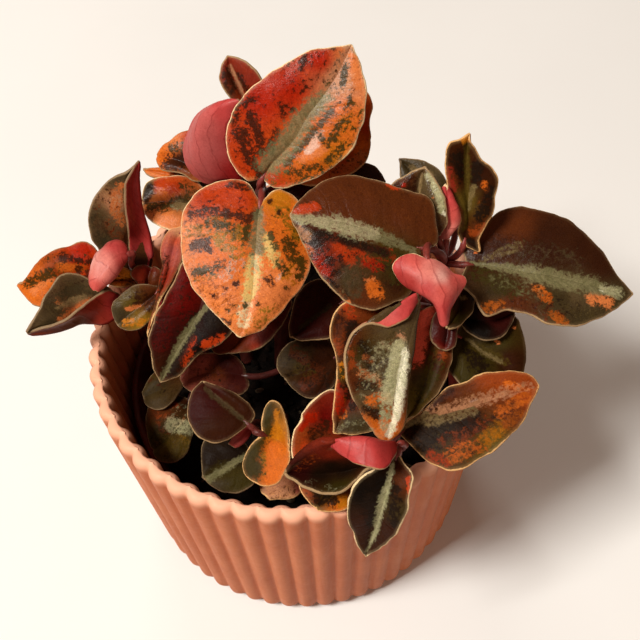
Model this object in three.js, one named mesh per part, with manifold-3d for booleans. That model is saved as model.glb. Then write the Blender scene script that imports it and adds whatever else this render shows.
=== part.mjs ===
import * as THREE from "three";
import { mergeVertices } from "three/addons/utils/BufferGeometryUtils.js";
import Module from "manifold-3d";

// A small potted foliage plant: a fluted cover pot, the thin pot the plant
// grows in, its potting mix, and the plant's stems and leaves.
// Millimetres, +Z up, origin at the middle of the cover pot's underside;
// the front of the plant looks to -Y.

// ---------------------------------------------------------------- dimensions
const POT_HEIGHT = 74.4;        // cover pot, underside to top of rim
const POT_RIM_R = 52.0;         // over the lobes at the rim
const POT_BASE_R = 48.2;        // over the lobes just above the foot
const POT_FOOT_R = 44.8;        // flat underside
const POT_FLOOR_Z = 4.0;        // inner floor level
const POT_INNER_RIM_R = 47.5;   // to the inward bulges of the wall at the rim
const POT_INNER_BASE_R = 43.8;  // same at the floor
const FLUTES = 56;              // lobes round the wall
const FLUTE_DEPTH = 1.35;       // groove depth between two lobes
const FLUTE_PHASE = -0.637;     // angle of the first groove, radians from the front
const STEPS_PER_FLUTE = 4;

const LINER_RIM_R = 44.9;       // thin growing pot
const LINER_RIM_Z = 54.0;
const LINER_BASE_R = 36.8;
const LINER_BASE_Z = 4.3;
const LINER_WALL = 1.1;
const LINER_HOLE_R = 3.5;       // drainage holes
const LINER_HOLES = 6;
const SOIL_RIM_Z = 48.9;
const SOIL_TOP_Z = 50.4;
const GAP = 0.3;                // clearance between touching pieces

const LEAF_THICKNESS = 0.9;
const LEAF_BASE_WIDTH = 1.5;    // where the blade meets its stalk
const LEAF_TIP_WIDTH = 0.7;
const STALK_R = 0.8;            // leaf stalks
const STALK_GAP = 0.6;          // stalk end to blade


// ---------------------------------------------------------------- stems
// Each stem is one or two branches: radius and centre line, from the soil up.
const STEMS = {
  stem_top: [
    { r: 1.9, line: [[-4,6,51.9], [-3,13,68], [-5,19,88], [-5.5,19.5,100], [-4.8,17,107]] },
  ],
  stem_back_left: [
    { r: 1.7, line: [[-14,8,51.9], [-16,14,66], [-18,22,79], [-18,27,86], [-18,29.5,90]] },
    { r: 1.4, line: [[-16,14,66], [-18,12.5,76], [-20.5,10.5,85], [-21,9,90]] },
  ],
  stem_left: [
    { r: 1.7, line: [[-22,2,51.9], [-27,5,64], [-33,8,74], [-35.5,8.5,79.5]] },
  ],
  stem_right: [
    { r: 2.0, line: [[18,2,51.9], [24,3,66], [31,3,82], [36,2,91], [37,1.5,95.5]] },
    { r: 1.6, line: [[24,3,66], [29,-4,77], [33,-8.5,87], [34.6,-10.2,91.4]] },
  ],
  stem_centre: [
    { r: 1.5, line: [[3,-4,51.9], [5,-3,64], [7,-1.5,75], [8,-1,81]] },
  ],
  stem_front_right: [
    { r: 1.7, line: [[12,-18,51.9], [15,-27,60], [18.5,-35,69], [20,-38.5,75.5]] },
  ],
  stem_front_left: [
    { r: 1.3, line: [[-4,-14,51.9], [-4.5,-20,58], [-5.5,-25.5,66], [-6.5,-27.5,70]] },
  ],
};

// ---------------------------------------------------------------- leaves
// Each blade is given by rails that run from its base to its tip: one margin,
// the midrib (index "rib") and the other margin, with a fold line between where
// the blade folds over. Rails are x, y, z of eleven stations. The upper side of
// the blade is on the side of (across the rails) x (towards the tip).
// "cup" bows each half of the blade; "stem", "branch", "at" say where its stalk
// leaves the stem.
const LEAVES = {
  leaf_top_tall: { colour: "#a83a1c", rib: 1, cup: 0.6, across: 5, along: 7, stem: "stem_top", branch: 0, at: 1.0,
    rails: [
      [-4.6,15.4,112.8, -7.9,14.6,113.1, -11.1,17.3,116.5, -12,20.5,120.8, -10.1,23.3,125.1, -6.8,25.5,128.8, -2.5,27,131.7, 2.2,28.2,134, 6.8,29.5,136.1, 12.1,30,136.7, 17.4,30.6,136.7],
      [-4.1,15.4,113, -1.8,16.6,115.9, 0.9,17.4,118.5, 3.4,18.5,121, 5.4,20,123.6, 7.5,21.5,126.1, 9.8,22.9,128.3, 12,24.5,130.5, 14,26.3,132.6, 15.7,28.3,134.7, 17.4,30.6,136.7],
      [-3.9,14.9,112.5, -1.2,12.6,111.8, 3.8,12.1,113.5, 8.6,12.2,115.4, 12.9,13,117.8, 16.4,14.6,120.8, 18.4,17.2,124.3, 19.7,20.2,127.8, 19.9,23.5,131.1, 19,27,134.1, 17.4,30.6,136.7],
    ] },
  leaf_heart_centre: { colour: "#c4602a", rib: 1, cup: 0.6, across: 5, along: 7, stem: "stem_top", branch: 0, at: 1.0,
    rails: [
      [-4.4,8.6,112.3, -0.9,11.2,113, 3.3,9.1,111.7, 4.5,4.9,109.3, 5.1,0.6,106.9, 5.9,-3.7,104.5, 4,-7.7,102.3, 0.8,-11,100.5, -2.5,-14.1,98.8, -6.4,-16.7,97.4, -11,-18.1,97.3],
      [-4.9,8,112, -5.5,4.9,111.1, -5.9,1.8,110, -6.1,-1.1,108.8, -6.6,-3.9,107.5, -6.9,-6.6,106, -7.2,-9.2,104.5, -7.7,-11.6,102.8, -8.6,-13.9,101, -9.7,-16.1,99.2, -11,-18.1,97.3],
      [-5.1,8.7,112.3, -8,12.7,114.6, -13.4,13.1,114.8, -18.6,11.3,113.8, -21.9,7.5,111.7, -22.9,2.6,109.1, -22.9,-2.3,106.3, -21.3,-7,103.7, -18.2,-10.9,101.4, -14.6,-14.5,99.3, -11,-18.1,97.3],
    ] },
  leaf_top_cupped: { colour: "#b04a56", rib: 1, cup: -1.2, across: 5, along: 7, stem: "stem_top", branch: 0, at: 0.741,
    rails: [
      [-10.3,24.9,102.5, -9.6,26.2,103.9, -9,27.1,105.7, -8.5,27.9,107.6, -8.2,28.5,109.6, -7.9,29.1,111.8, -7.7,29.5,114, -7.7,29.7,116.4, -7.8,29.8,118.8, -8,29.7,121.3, -8.3,29.2,124.1],
      [-10.6,24.9,102.2, -12.2,25.4,104.2, -13.6,25.9,106.3, -14.6,26.5,108.7, -15.1,27.1,111.2, -15.2,27.7,113.9, -14.9,28.2,116.6, -14,28.6,119.1, -12.4,28.9,121.2, -10.5,29.1,122.9, -8.3,29.2,124.1],
      [-10.6,24.9,102.2, -14.5,27,101.5, -18.7,27.8,99.4, -22.2,29.3,100.5, -23.9,30.9,103.8, -23.8,32.2,108, -22.3,33,112.3, -19.7,33.1,116.5, -16.2,32.6,119.8, -12.3,31.4,122.2, -8.3,29.2,124.1],
    ] },
  leaf_top_small: { colour: "#7c3b1e", rib: 1, cup: 0.6, across: 3, along: 6, stem: "stem_top", branch: 0, at: 1.0,
    rails: [
      [-6.1,30.1,114, -7.2,30.3,116, -8.3,30.9,117.8, -9.3,31.5,119.4, -10.3,32.3,121, -11.4,33.2,122.4, -12.4,34.2,123.7, -13.1,35.4,125.1, -12.8,36.7,126.6, -12,37.9,127.9, -10.9,39.3,128.8],
      [-5.3,30.4,114.9, -5.8,31.2,116.5, -6.3,32,118, -6.9,32.8,119.5, -7.4,33.6,121, -8.1,34.5,122.4, -8.8,35.4,123.7, -9.5,36.3,125, -10,37.3,126.3, -10.5,38.3,127.6, -10.9,39.3,128.8],
      [-4.8,30.4,114.9, -4,30.6,117.4, -3.3,31.1,119.7, -2.7,31.7,121.9, -2.4,32.4,123.9, -2.9,33.3,125.7, -3.9,34.4,127.2, -5.2,35.5,128.3, -6.8,36.7,129, -8.8,37.9,129.2, -10.9,39.3,128.8],
    ] },
  leaf_top_behind: { colour: "#b0482a", rib: 1, cup: 0.6, across: 5, along: 7, stem: "stem_top", branch: 0, at: 0.886,
    rails: [
      [1.4,21.4,106.9, 2.2,24.6,109.6, 3.6,27.8,112.1, 5.7,30.8,114.3, 8.7,33.2,116.3, 12.1,35.3,117.8, 16,36.8,118.9, 20.2,36.7,119, 22.4,33.7,117.1, 21.5,30.4,114.7, 21.6,27.3,112],
      [1.4,20.9,106.7, 3.2,21.6,107.8, 5.1,22.3,108.7, 7,23,109.6, 8.9,23.7,110.4, 10.9,24.4,111, 12.9,25.1,111.5, 15,25.8,111.9, 17.1,26.3,112.1, 19.3,26.6,112, 21.6,26.9,111.8],
      [1.6,20.5,106.4, 3.9,19.1,106.5, 6.3,18.1,106.6, 8.8,17.7,106.9, 11.2,17.7,107.3, 13.6,18.2,107.8, 15.8,19,108.5, 17.9,20.2,109.1, 19.8,21.7,109.8, 21,23.9,110.7, 21.5,26.5,111.6],
    ] },
  leaf_top_low: { colour: "#4a2a1a", rib: 1, cup: 0.6, across: 5, along: 7, stem: "stem_top", branch: 0, at: 0.748,
    rails: [
      [-1.3,19,102.7, 0.7,20.6,104.3, 3.4,21.5,105.4, 6.4,21.5,105.9, 9.4,21.3,106.2, 12.3,21.8,106.6, 15.2,22.8,107.1, 18,23.9,107.4, 21,23.8,107.1, 23.3,22.2,105.9, 24.8,20.2,104.3],
      [-1.3,18.3,102.4, 1.3,18,102.9, 3.9,17.7,103.3, 6.5,17.6,103.6, 9.1,17.7,103.9, 11.7,17.8,104.1, 14.3,18,104.3, 16.9,18.4,104.4, 19.5,18.8,104.4, 22.1,19.2,104.3, 24.7,19.7,104.1],
      [-1.4,17.6,102.1, 0.4,14.7,101.4, 2.9,12.7,101.1, 5.9,11.7,101, 9,11.3,101.2, 12.1,11.4,101.4, 15.1,12,101.7, 18,13.1,102.1, 20.7,14.7,102.7, 23.2,16.7,103.2, 25,19.5,104],
    ] },
  leaf_behind_1: { colour: "#4a3020", rib: 1, cup: 0.6, across: 5, along: 7, stem: "stem_top", branch: 0, at: 0.55,
    rails: [
      [2,27,86, -0.4,31,87.8, -0.7,33.7,89.1, -0.4,35.9,90.1, 0.4,37.9,90.6, 1.6,39.6,90.9, 3.2,41.2,90.8, 5.1,42.6,90.3, 7.2,43.9,89.5, 9.7,45.1,88.5, 13,46,87],
      [2,27,86, 3.3,28.7,87.4, 4.5,30.5,88.4, 5.7,32.3,89.2, 6.9,34.1,89.8, 8,36,90, 9.1,37.9,90, 10.1,39.9,89.6, 11.1,41.9,89, 12.1,43.9,88.2, 13,46,87],
      [2,27,86, 6.6,26,87.8, 9.4,26.8,89.1, 11.6,28.2,90.1, 13.2,30.1,90.6, 14.3,32.3,90.9, 15,34.7,90.8, 15.3,37.4,90.3, 15.2,40.1,89.5, 14.6,42.9,88.5, 13,46,87],
    ] },
  leaf_upper_left_1: { colour: "#8a4a26", rib: 1, cup: 0.6, across: 5, along: 7, stem: "stem_back_left", branch: 0, at: 1.0,
    rails: [
      [-18.1,29.9,98.3, -19.7,29.3,98.4, -21.3,29,98.6, -22.9,29.4,99, -24.2,30.2,99.6, -25.7,31.1,100, -27.3,31.7,100, -29.1,32.2,99.8, -30.8,33,99.7, -31.8,34.7,100, -32,36.7,100.3],
      [-18.1,30.4,98.5, -19.3,30.9,99.2, -20.5,31.4,99.9, -21.8,32,100.4, -23,32.7,100.8, -24.4,33.5,101.1, -25.7,34.2,101.3, -27.2,34.9,101.3, -28.8,35.6,101.2, -30.3,36.4,101, -32,37.1,100.6],
      [-18,30.8,98.8, -17.6,32.3,100.8, -17.4,34.1,102.6, -17.8,36,104.2, -18.9,37.8,105.4, -21,39.3,106.1, -23.5,40,106, -26,39.8,105.2, -28.1,39,104, -30.3,38.4,102.6, -32,37.4,100.7],
    ] },
  leaf_upper_left_2: { colour: "#b8703a", rib: 1, cup: 0.6, across: 3, along: 6, stem: "stem_back_left", branch: 0, at: 1.0,
    rails: [
      [-19.7,32,93.8, -21.2,30.6,93.6, -22.9,30.2,93.8, -24.6,30.7,94.3, -26.2,31.4,94.8, -27.9,32.2,95.2, -29.6,33,95.5, -31.4,33.7,95.6, -33.3,34.4,95.6, -35.1,35.5,95.6, -36.5,37.3,95.8],
      [-19.7,32.5,94, -21.3,32.9,94.6, -22.9,33.3,95, -24.5,33.7,95.4, -26.1,34,95.7, -27.8,34.4,95.9, -29.5,34.9,96, -31.2,35.4,96, -33,36,96.1, -34.7,36.8,96, -36.5,37.6,95.9],
      [-19.7,32.9,94.2, -20.8,33.9,95.3, -22.1,34.7,96.1, -23.6,35.5,96.8, -25.3,36,97.2, -27.1,36.4,97.4, -28.9,36.7,97.3, -30.7,36.8,97.1, -32.6,37,96.8, -34.5,37.3,96.5, -36.4,37.8,96],
    ] },
  leaf_upper_left_3: { colour: "#8a4c30", rib: 1, cup: 0.6, across: 5, along: 7, stem: "stem_back_left", branch: 0, at: 1.0,
    rails: [
      [-20,25.2,94, -20.2,22.4,93.8, -20.9,20,93.4, -22.3,18.1,93.2, -24.4,17.6,93.3, -26.5,17.8,93.5, -28.7,18,93.6, -30.9,18.8,93.8, -32.8,20.2,94, -34.6,22.1,94.2, -35.8,24.6,94.4],
      [-19.8,25.7,94.1, -21.4,25.6,94.5, -22.9,25.5,94.9, -24.5,25.5,95.2, -26.1,25.5,95.4, -27.8,25.6,95.6, -29.4,25.7,95.6, -31,25.8,95.6, -32.7,25.9,95.5, -34.4,26,95.3, -36.1,26.1,95],
      [-19.8,26.2,94.3, -20,28.2,95.7, -21.2,30.1,96.9, -23.2,31.3,97.8, -25.5,31.9,98.3, -27.9,31.9,98.5, -30.4,31.8,98.5, -32.8,31.4,98.3, -34.9,30.4,97.7, -35.9,28.4,96.5, -36.1,26.4,95.1],
    ] },
  leaf_behind_2: { colour: "#4a3020", rib: 1, cup: 0.6, across: 5, along: 7, stem: "stem_back_left", branch: 0, at: 0.6,
    rails: [
      [-11,30,83, -15.4,30.1,84.6, -17.7,31.5,85.7, -19.3,33.2,86.4, -20.3,35.3,86.8, -20.7,37.6,86.8, -20.6,39.8,86.5, -20,42.1,85.8, -19,44.3,84.9, -17.4,46.3,83.6, -15,48,82],
      [-11,30,83, -11.8,31.8,84.2, -12.4,33.6,85, -13,35.4,85.6, -13.6,37.2,86, -14,39,86, -14.4,40.8,85.8, -14.6,42.6,85.2, -14.8,44.4,84.4, -15,46.2,83.4, -15,48,82],
      [-11,30,83, -7.9,33.1,84.6, -7,35.3,85.7, -6.6,37.2,86.4, -6.8,38.9,86.8, -7.3,40.5,86.8, -8.2,42.1,86.5, -9.3,43.5,85.8, -10.8,45,84.9, -12.5,46.5,83.6, -15,48,82],
    ] },
  leaf_midleft_narrow: { colour: "#c0704a", rib: 1, cup: 0.6, across: 5, along: 7, stem: "stem_back_left", branch: 1, at: 1.0,
    rails: [
      [-24.2,11,99.2, -24.2,8.4,98.2, -24.6,6,97.1, -25.5,3.9,95.9, -26.7,1.9,94.7, -28.1,0.1,93.4, -29.6,-1.5,92, -30.9,-3.2,90.5, -32,-4.9,88.8, -33.1,-6.5,86.9, -34.2,-8.1,84.9],
      [-24.3,12.2,100, -26,10.2,99.1, -26.9,7.9,97.8, -27.5,5.7,96.5, -28.2,3.5,95, -29,1.4,93.5, -30,-0.7,91.9, -30.9,-2.6,90.3, -32,-4.5,88.6, -33.1,-6.3,86.8, -34.2,-8.1,84.9],
      [-24.5,13,100.6, -27.4,12.4,100.2, -29.2,10.4,98.9, -29.9,8.1,97.4, -29.4,5.6,95.7, -30.2,3.2,94, -30.9,0.9,92.3, -31.6,-1.4,90.5, -32.5,-3.6,88.6, -33.5,-5.8,86.8, -34.2,-8.1,84.9],
    ] },
  leaf_midleft_long: { colour: "#5a1c18", rib: 1, cup: 0.6, across: 5, along: 7, stem: "stem_back_left", branch: 1, at: 1.0,
    rails: [
      [-18.3,6,97.3, -14.6,3.7,96.5, -12.6,0.4,94.6, -11.7,-3,92.2, -12.1,-6.5,89.7, -13.7,-9.5,87.2, -16.9,-11.6,85.3, -21,-12.5,84, -24.4,-14.3,82, -27.6,-16.3,79.7, -31.9,-16.8,78.3],
      [-19,5.6,97, -19.5,2.9,95.4, -19.9,0.1,93.7, -20.5,-2.5,91.9, -21.4,-4.9,90.1, -23,-7.1,88.3, -24.8,-9.1,86.5, -26.7,-11,84.7, -28.5,-12.9,82.7, -30.2,-14.9,80.5, -31.9,-16.8,78.2],
      [-19.5,6.4,97.6, -22.6,6.1,98.8, -24.8,3.4,97.5, -26.5,0.6,95.8, -28.6,-2,94, -30.5,-4.5,92, -32.1,-7,89.7, -33.5,-9.5,87.1, -33.3,-12.1,84.3, -33,-14.6,81.4, -31.9,-16.8,78.3],
    ] },
  leaf_left_upright: { colour: "#6c4030", rib: 1, cup: 0.8, across: 5, along: 7, stem: "stem_left", branch: 0, at: 1.0,
    folded: true,
    via: [[-38.6,9.1,83.6]], turned: true,
    rails: [
      [-39,11.1,84.6, -42.3,10.9,87.3, -44.9,11.8,90.3, -46.5,13.3,93.7, -47.3,14.6,97.8, -47.2,16.5,101.4, -45.8,18.8,104.2, -43.4,20.8,106.7, -40.3,22.2,108.7, -36.5,22.6,110.5, -33.4,24.2,112],
      [-38.5,10.4,84.6, -35.4,11,86.1, -34,13.1,87.9, -34.1,15.5,90, -34.3,17.5,92.5, -34.8,19.2,95.3, -35.2,20.4,98.5, -35.1,21.4,102, -34.9,22.4,105.3, -34.4,23.4,108.6, -33.4,24.2,112],
      [-39,10.7,84.6, -39.4,12.3,87.5, -39.1,13.7,90.5, -38.9,14.9,93.6, -38.7,15.9,97.1, -38.3,16.8,100.4, -37.9,17.8,103.6, -37.3,19,106.5, -36.6,20.7,108.8, -35.2,22.4,110.6, -33.4,24.2,112],
    ] },
  leaf_left_outer: { colour: "#b05a2c", rib: 1, cup: 0.6, across: 5, along: 7, stem: "stem_left", branch: 0, at: 0.8,
    via: [[-43.6,9.9,86.4], [-41.2,9.9,82.6]],
    rails: [
      [-45,9.2,88.7, -46.3,6.7,88.1, -48,4.7,87.6, -50.2,3.3,87.2, -52.7,2.3,86.9, -55.3,1.7,86.5, -58,1.5,86.2, -60.9,1.8,86, -63.4,3.4,86.2, -65.6,5.6,86.6, -67.4,8.2,87.1],
      [-45,9.9,89, -47.1,9.9,89.7, -49.2,9.6,90, -51.3,9.1,90.1, -53.4,8.6,90, -55.6,8.2,89.7, -57.8,7.9,89.4, -60.1,7.8,89, -62.4,7.8,88.4, -64.9,8.1,87.9, -67.4,8.5,87.2],
      [-45,10.6,89.4, -45.9,12.5,91.3, -47.4,14.4,92.9, -49.8,15.4,93.8, -52.6,15,93.8, -55.5,14.5,93.5, -58.2,13.7,92.9, -60.7,12.5,91.8, -62.8,10.9,90.4, -64.7,9.3,88.8, -67.4,8.5,87.2],
    ] },
  leaf_left_folded: { colour: "#5a4036", rib: 1, cup: 0.8, across: 5, along: 7, stem: "stem_left", branch: 0, at: 1.0,
    folded: true,
    via: [[-38.6,5.2,82.2]],
    rails: [
      [-40,3.2,85.2, -41.5,2.8,88.7, -43.6,2.2,91, -46,0.7,91.3, -48,-1.1,91, -49.9,-3,90.6, -52,-4.6,90, -54.5,-5.5,89.2, -57.3,-5.8,88.4, -60.2,-5.9,87.7, -63,-6.2,87],
      [-39.8,2.8,85.2, -42,1.5,84.1, -43.7,-0.4,83.4, -46,-1.7,83.4, -48.8,-1.4,83.5, -51.5,-1.3,83.6, -53.8,-2.6,83.9, -56.1,-3.9,84.5, -58.5,-4.8,85.1, -60.9,-5.3,85.5, -63.4,-5.5,86],
      [-40.1,3.5,85.2, -42.3,3.4,88.6, -44.5,4,91.3, -47.3,4.2,93.3, -50.1,4.8,94.8, -53.1,4.4,95.6, -55.5,2.3,94.7, -57.9,0.6,92.7, -59.2,-2,91, -61,-4.3,89.3, -62.8,-6.6,87.5],
    ] },
  leaf_left_rolled: { colour: "#cc7078", rib: 1, cup: -1.5, across: 3, along: 6, stem: "stem_left", branch: 0, at: 1.0,
    via: [[-37.8,8.6,93.5], [-37.6,9.2,88.5], [-36.6,9.1,83.5]],
    rails: [
      [-37.6,7.9,98.8, -38.7,10.4,98.7, -40.6,11.4,98.6, -42.6,11.2,98.1, -44,10.1,97.3, -45.6,9.1,96.7, -46.3,7.3,96, -46.6,5.4,95.3, -47,3.4,94.8, -46.8,1.3,94.3, -45.1,-0.7,94.7],
      [-37.4,7,98.4, -38.5,6.5,98.9, -39.6,5.9,99.2, -40.5,5,99.2, -41.3,4,99, -42,3.1,98.6, -42.7,2.3,98.1, -43.4,1.5,97.5, -44.1,0.7,96.7, -44.6,0,95.8, -45.1,-0.7,94.7],
      [-37.4,6.2,97.9, -38.3,6.2,96.5, -39.1,5.8,95.7, -40,5.4,95, -40.9,4.9,94.6, -41.7,4.2,94.2, -42.4,3.4,93.9, -43.1,2.5,93.7, -43.7,1.6,93.7, -44.4,0.6,93.9, -45.1,-0.7,94.7],
    ] },
  leaf_left_round: { colour: "#5c4424", rib: 1, cup: 0.6, across: 3, along: 6, stem: "stem_left", branch: 0, at: 1.0,
    rails: [
      [-31.3,2.4,88.3, -31.5,0.8,87.8, -31.8,-0.6,87.3, -32.4,-1.9,86.7, -33.2,-3,86, -34.2,-4,85.4, -35.3,-4.8,84.8, -36.8,-5.2,84.3, -38.4,-5.1,84, -40,-4.7,83.8, -41.5,-3.9,83.8],
      [-31.5,3,88.7, -32.5,2.1,88.5, -33.5,1.4,88.2, -34.6,0.6,87.9, -35.6,0,87.6, -36.7,-0.6,87.2, -37.8,-1.2,86.7, -38.9,-1.7,86.2, -40,-2.3,85.6, -41.1,-2.8,84.9, -42.2,-3.3,84.2],
      [-31.7,4,89.4, -33.3,3.9,90.3, -34.9,3.8,90.8, -36.6,3.5,91, -38.2,2.9,90.8, -39.6,2.1,90.3, -41,1.3,89.6, -42.4,0.5,88.8, -43,-0.6,87.5, -42.8,-1.7,86.2, -42.4,-2.6,84.6],
    ] },
  leaf_left_inner_1: { colour: "#a06a24", rib: 1, cup: 0.6, across: 3, along: 6, stem: "stem_left", branch: 0, at: 1.0,
    rails: [
      [-36.5,6,88, -37.2,5.3,88.5, -37.9,4.8,88.9, -38.7,4.4,89.1, -39.5,4.1,89.3, -40.3,3.9,89.4, -41.2,4,89.5, -42.1,4.2,89.5, -42.9,4.6,89.5, -43.7,5.3,89.5, -44.3,6.4,89.4],
      [-36.7,6.7,88.4, -37.5,6.4,88.7, -38.3,6.3,89, -39.1,6.1,89.3, -39.9,6.1,89.4, -40.7,6,89.6, -41.5,6,89.7, -42.4,6,89.7, -43.3,6.1,89.7, -44.1,6.2,89.6, -45,6.4,89.5],
      [-36.9,7.3,88.8, -37.4,7.5,90, -38.1,7.8,90.9, -38.8,8.1,91.6, -39.7,8.3,92.1, -40.7,8.4,92.5, -41.8,8.3,92.5, -42.9,8,92.2, -43.8,7.6,91.6, -44.5,7.1,90.8, -45.3,6.8,89.8],
    ] },
  leaf_left_inner_2: { colour: "#5a2c1c", rib: 1, cup: 0.6, across: 3, along: 6, stem: "stem_left", branch: 0, at: 1.0,
    rails: [
      [-35,4.7,87.5, -35.7,4.6,88.6, -36.4,4.7,89.5, -37,4.9,90.3, -37.6,5.3,91.1, -38.1,5.8,91.9, -38,6.5,92.5, -37.3,7.3,92.8, -36.5,7.9,92.8, -35.6,8.3,92.3, -34.8,8.7,91.5],
      [-34.3,4.9,87.6, -34.3,5.2,88.2, -34.3,5.4,88.7, -34.3,5.7,89.2, -34.2,6,89.6, -34.1,6.4,90, -34,6.8,90.3, -33.8,7.2,90.6, -33.6,7.7,90.8, -33.4,8.1,91, -33.1,8.6,91.1],
      [-33.6,4.8,87.3, -32.7,4.7,87.9, -31.9,4.7,88.3, -31.2,4.9,88.8, -30.8,5.3,89.4, -30.5,5.9,89.9, -30.5,6.5,90.5, -30.7,7.1,90.9, -31.1,7.7,91.2, -31.8,8.2,91.3, -32.7,8.7,91],
    ] },
  leaf_in_pot_1: { colour: "#7c7448", rib: 1, cup: 0.6, across: 5, along: 7, stem: "stem_left", branch: 0, at: 0.115,
    rails: [
      [-27.3,-11.6,58.9, -26.6,-14.3,58.8, -26.1,-17,58.6, -26.3,-19.6,58.5, -27,-22,58.3, -27.7,-24.4,58, -28.9,-26.4,57.8, -30.9,-27.6,57.5, -33.2,-27.8,57.4, -35.5,-26.7,57.3, -36.9,-24.5,57.4],
      [-27.9,-10.4,59, -28.4,-12.3,59.1, -29,-14,59.2, -29.6,-15.6,59.1, -30.4,-17.2,59.1, -31.3,-18.6,59, -32.3,-19.8,58.8, -33.4,-21,58.5, -34.5,-22.1,58.2, -35.7,-23,57.9, -37,-23.9,57.5],
      [-28.9,-9.8,59.1, -31.1,-9,59.3, -33.4,-8.6,59.5, -35.6,-8.8,59.6, -37.5,-9.9,59.5, -38.6,-11.9,59.3, -39,-14.3,59, -39,-16.7,58.7, -38.8,-19,58.3, -38.2,-21.3,57.9, -37.2,-23.4,57.5],
    ] },
  leaf_in_pot_2: { colour: "#4c3a26", rib: 1, cup: 0.6, across: 3, along: 6, stem: "stem_left", branch: 0, at: 0.192,
    rails: [
      [-28.6,-6.6,61.8, -29.3,-8.1,61.9, -29.9,-9.6,61.9, -30.6,-11,61.9, -31.4,-12.2,61.8, -32.4,-13.3,61.7, -33.6,-14,61.5, -35,-14.3,61.4, -36.5,-14.1,61.2, -37.9,-13.3,61.1, -39.2,-12.1,60.9],
      [-28.7,-5.2,62, -29.7,-5.9,62.2, -30.8,-6.6,62.3, -31.9,-7.2,62.4, -33,-7.8,62.4, -34,-8.3,62.4, -35.1,-8.9,62.3, -36.3,-9.3,62.1, -37.4,-9.7,61.8, -38.6,-10.1,61.5, -39.7,-10.4,61.2],
      [-28.7,-3.8,62.2, -30.1,-3.3,62.6, -31.5,-2.9,62.9, -33,-2.7,63, -34.5,-2.9,63.1, -35.9,-3.3,63.1, -37.1,-4.1,62.9, -38.1,-5.2,62.6, -38.9,-6.4,62.3, -39.5,-7.7,61.9, -40.1,-9,61.4],
    ] },
  leaf_right_broad: { colour: "#5a2c16", rib: 1, cup: 0.6, across: 5, along: 7, stem: "stem_right", branch: 0, at: 1.0,
    rails: [
      [29.7,-6.8,110, 29.4,-11.2,107.9, 27,-15.2,106.4, 22.8,-17.6,106, 18.1,-18.8,106.2, 13.7,-18.1,107.4, 10.3,-15.6,109.4, 7.5,-12.5,111.5, 5.3,-8.9,113.6, 3.6,-5,115.8, 1.8,-1.1,117.9],
      [30.2,-6,110.4, 27.2,-6,111.4, 24.3,-5.7,112.5, 21.5,-5,113.7, 18.8,-4.3,114.7, 16.1,-3.6,115.6, 13.3,-3,116.4, 10.4,-2.6,116.9, 7.6,-2,117.4, 4.7,-1.5,117.7, 1.8,-1.1,117.9],
      [30.6,-6.6,110, 33.6,-4.6,110.6, 33.6,-0.2,113.1, 32.7,3.6,115.3, 28,5,116.7, 23.4,6.3,118.1, 18.6,7.3,119.4, 13.7,7.5,120.3, 8.9,5.7,120.2, 4.8,2.8,119.3, 1.8,-1.1,117.9],
    ] },
  leaf_right_outer: { colour: "#5c3a20", rib: 1, cup: 0.6, across: 5, along: 7, stem: "stem_right", branch: 0, at: 1.0,
    rails: [
      [41.3,-2.3,99.7, 41.1,1.8,101.7, 44.7,3.7,102.8, 49,7.9,104.4, 54.6,9.2,105, 60.2,8,104.6, 65.3,5.5,103.7, 69.4,1.7,102.3, 72.9,-2.4,100.5, 75.3,-7.1,98.4, 78.7,-11.1,96.1],
      [41.7,-2.8,99.6, 45.5,-3.5,100, 49.1,-4.6,100.1, 52.7,-5.8,100.1, 56.3,-6.8,100, 60,-7.6,99.7, 63.6,-8.6,99.2, 67.2,-9.6,98.6, 70.9,-10.4,97.8, 74.7,-10.8,97, 78.7,-11.1,96.1],
      [41.3,-3,99.5, 39.4,-7.6,99.3, 41.9,-12.3,98.7, 44,-16.5,98, 48.9,-15.4,98.4, 53.6,-16.7,98, 58,-19.1,97.1, 63.2,-19.5,96.5, 68.5,-17.6,96.3, 73.8,-14.9,96.1, 78.7,-11.1,96.1],
    ] },
  leaf_right_upright: { colour: "#523020", rib: 1, cup: 0.6, across: 5, along: 7, stem: "stem_right", branch: 0, at: 1.0,
    rails: [
      [40.3,0.7,103, 39.3,1.9,105.8, 39.8,3.3,108.6, 39.1,4.8,111.3, 37.7,6.2,113.6, 36.8,7.8,115.9, 36.4,9.4,118.4, 36.4,11.1,120.8, 37.2,12.5,123.1, 39.8,13.2,123.7, 42,14.3,124.4],
      [40.9,0.7,103.2, 41.5,2,105.5, 41.8,3.3,107.7, 41.7,4.7,109.9, 41.6,6.1,112, 41.4,7.5,114.1, 41.2,8.9,116.2, 41.2,10.2,118.2, 41.3,11.6,120.3, 41.5,12.9,122.3, 41.8,14.3,124.2],
      [41.4,0.1,102.6, 44.3,-1.6,102.6, 44.2,0,105.2, 45.3,1.4,107.7, 47.2,2.9,110.3, 47.6,4.8,113.2, 48.2,6.7,116.2, 46.8,8.7,118.6, 44.3,10.5,120.3, 42.6,12.5,122.6, 42,14.3,124.4],
    ] },
  leaf_right_back_1: { colour: "#5c4c44", rib: 1, cup: 0.6, across: 5, along: 7, stem: "stem_right", branch: 0, at: 1.0,
    rails: [
      [39.8,10.3,98.7, 37.6,10.4,99.4, 35.5,10.9,100.2, 33.6,11.7,101.2, 32.1,12.8,102.3, 30.7,14.1,103.5, 29.5,15.5,104.7, 28.5,17.1,105.9, 28.1,18.9,107.1, 27.9,20.8,108.3, 27.9,22.8,109.4],
      [39.9,10.7,99, 38.9,11.8,100.4, 37.9,13,101.7, 36.9,14.2,103, 35.7,15.4,104.1, 34.4,16.5,105.1, 33.1,17.7,106.1, 31.8,18.9,107, 30.5,20.2,107.8, 29.2,21.5,108.6, 27.9,22.8,109.4],
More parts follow.
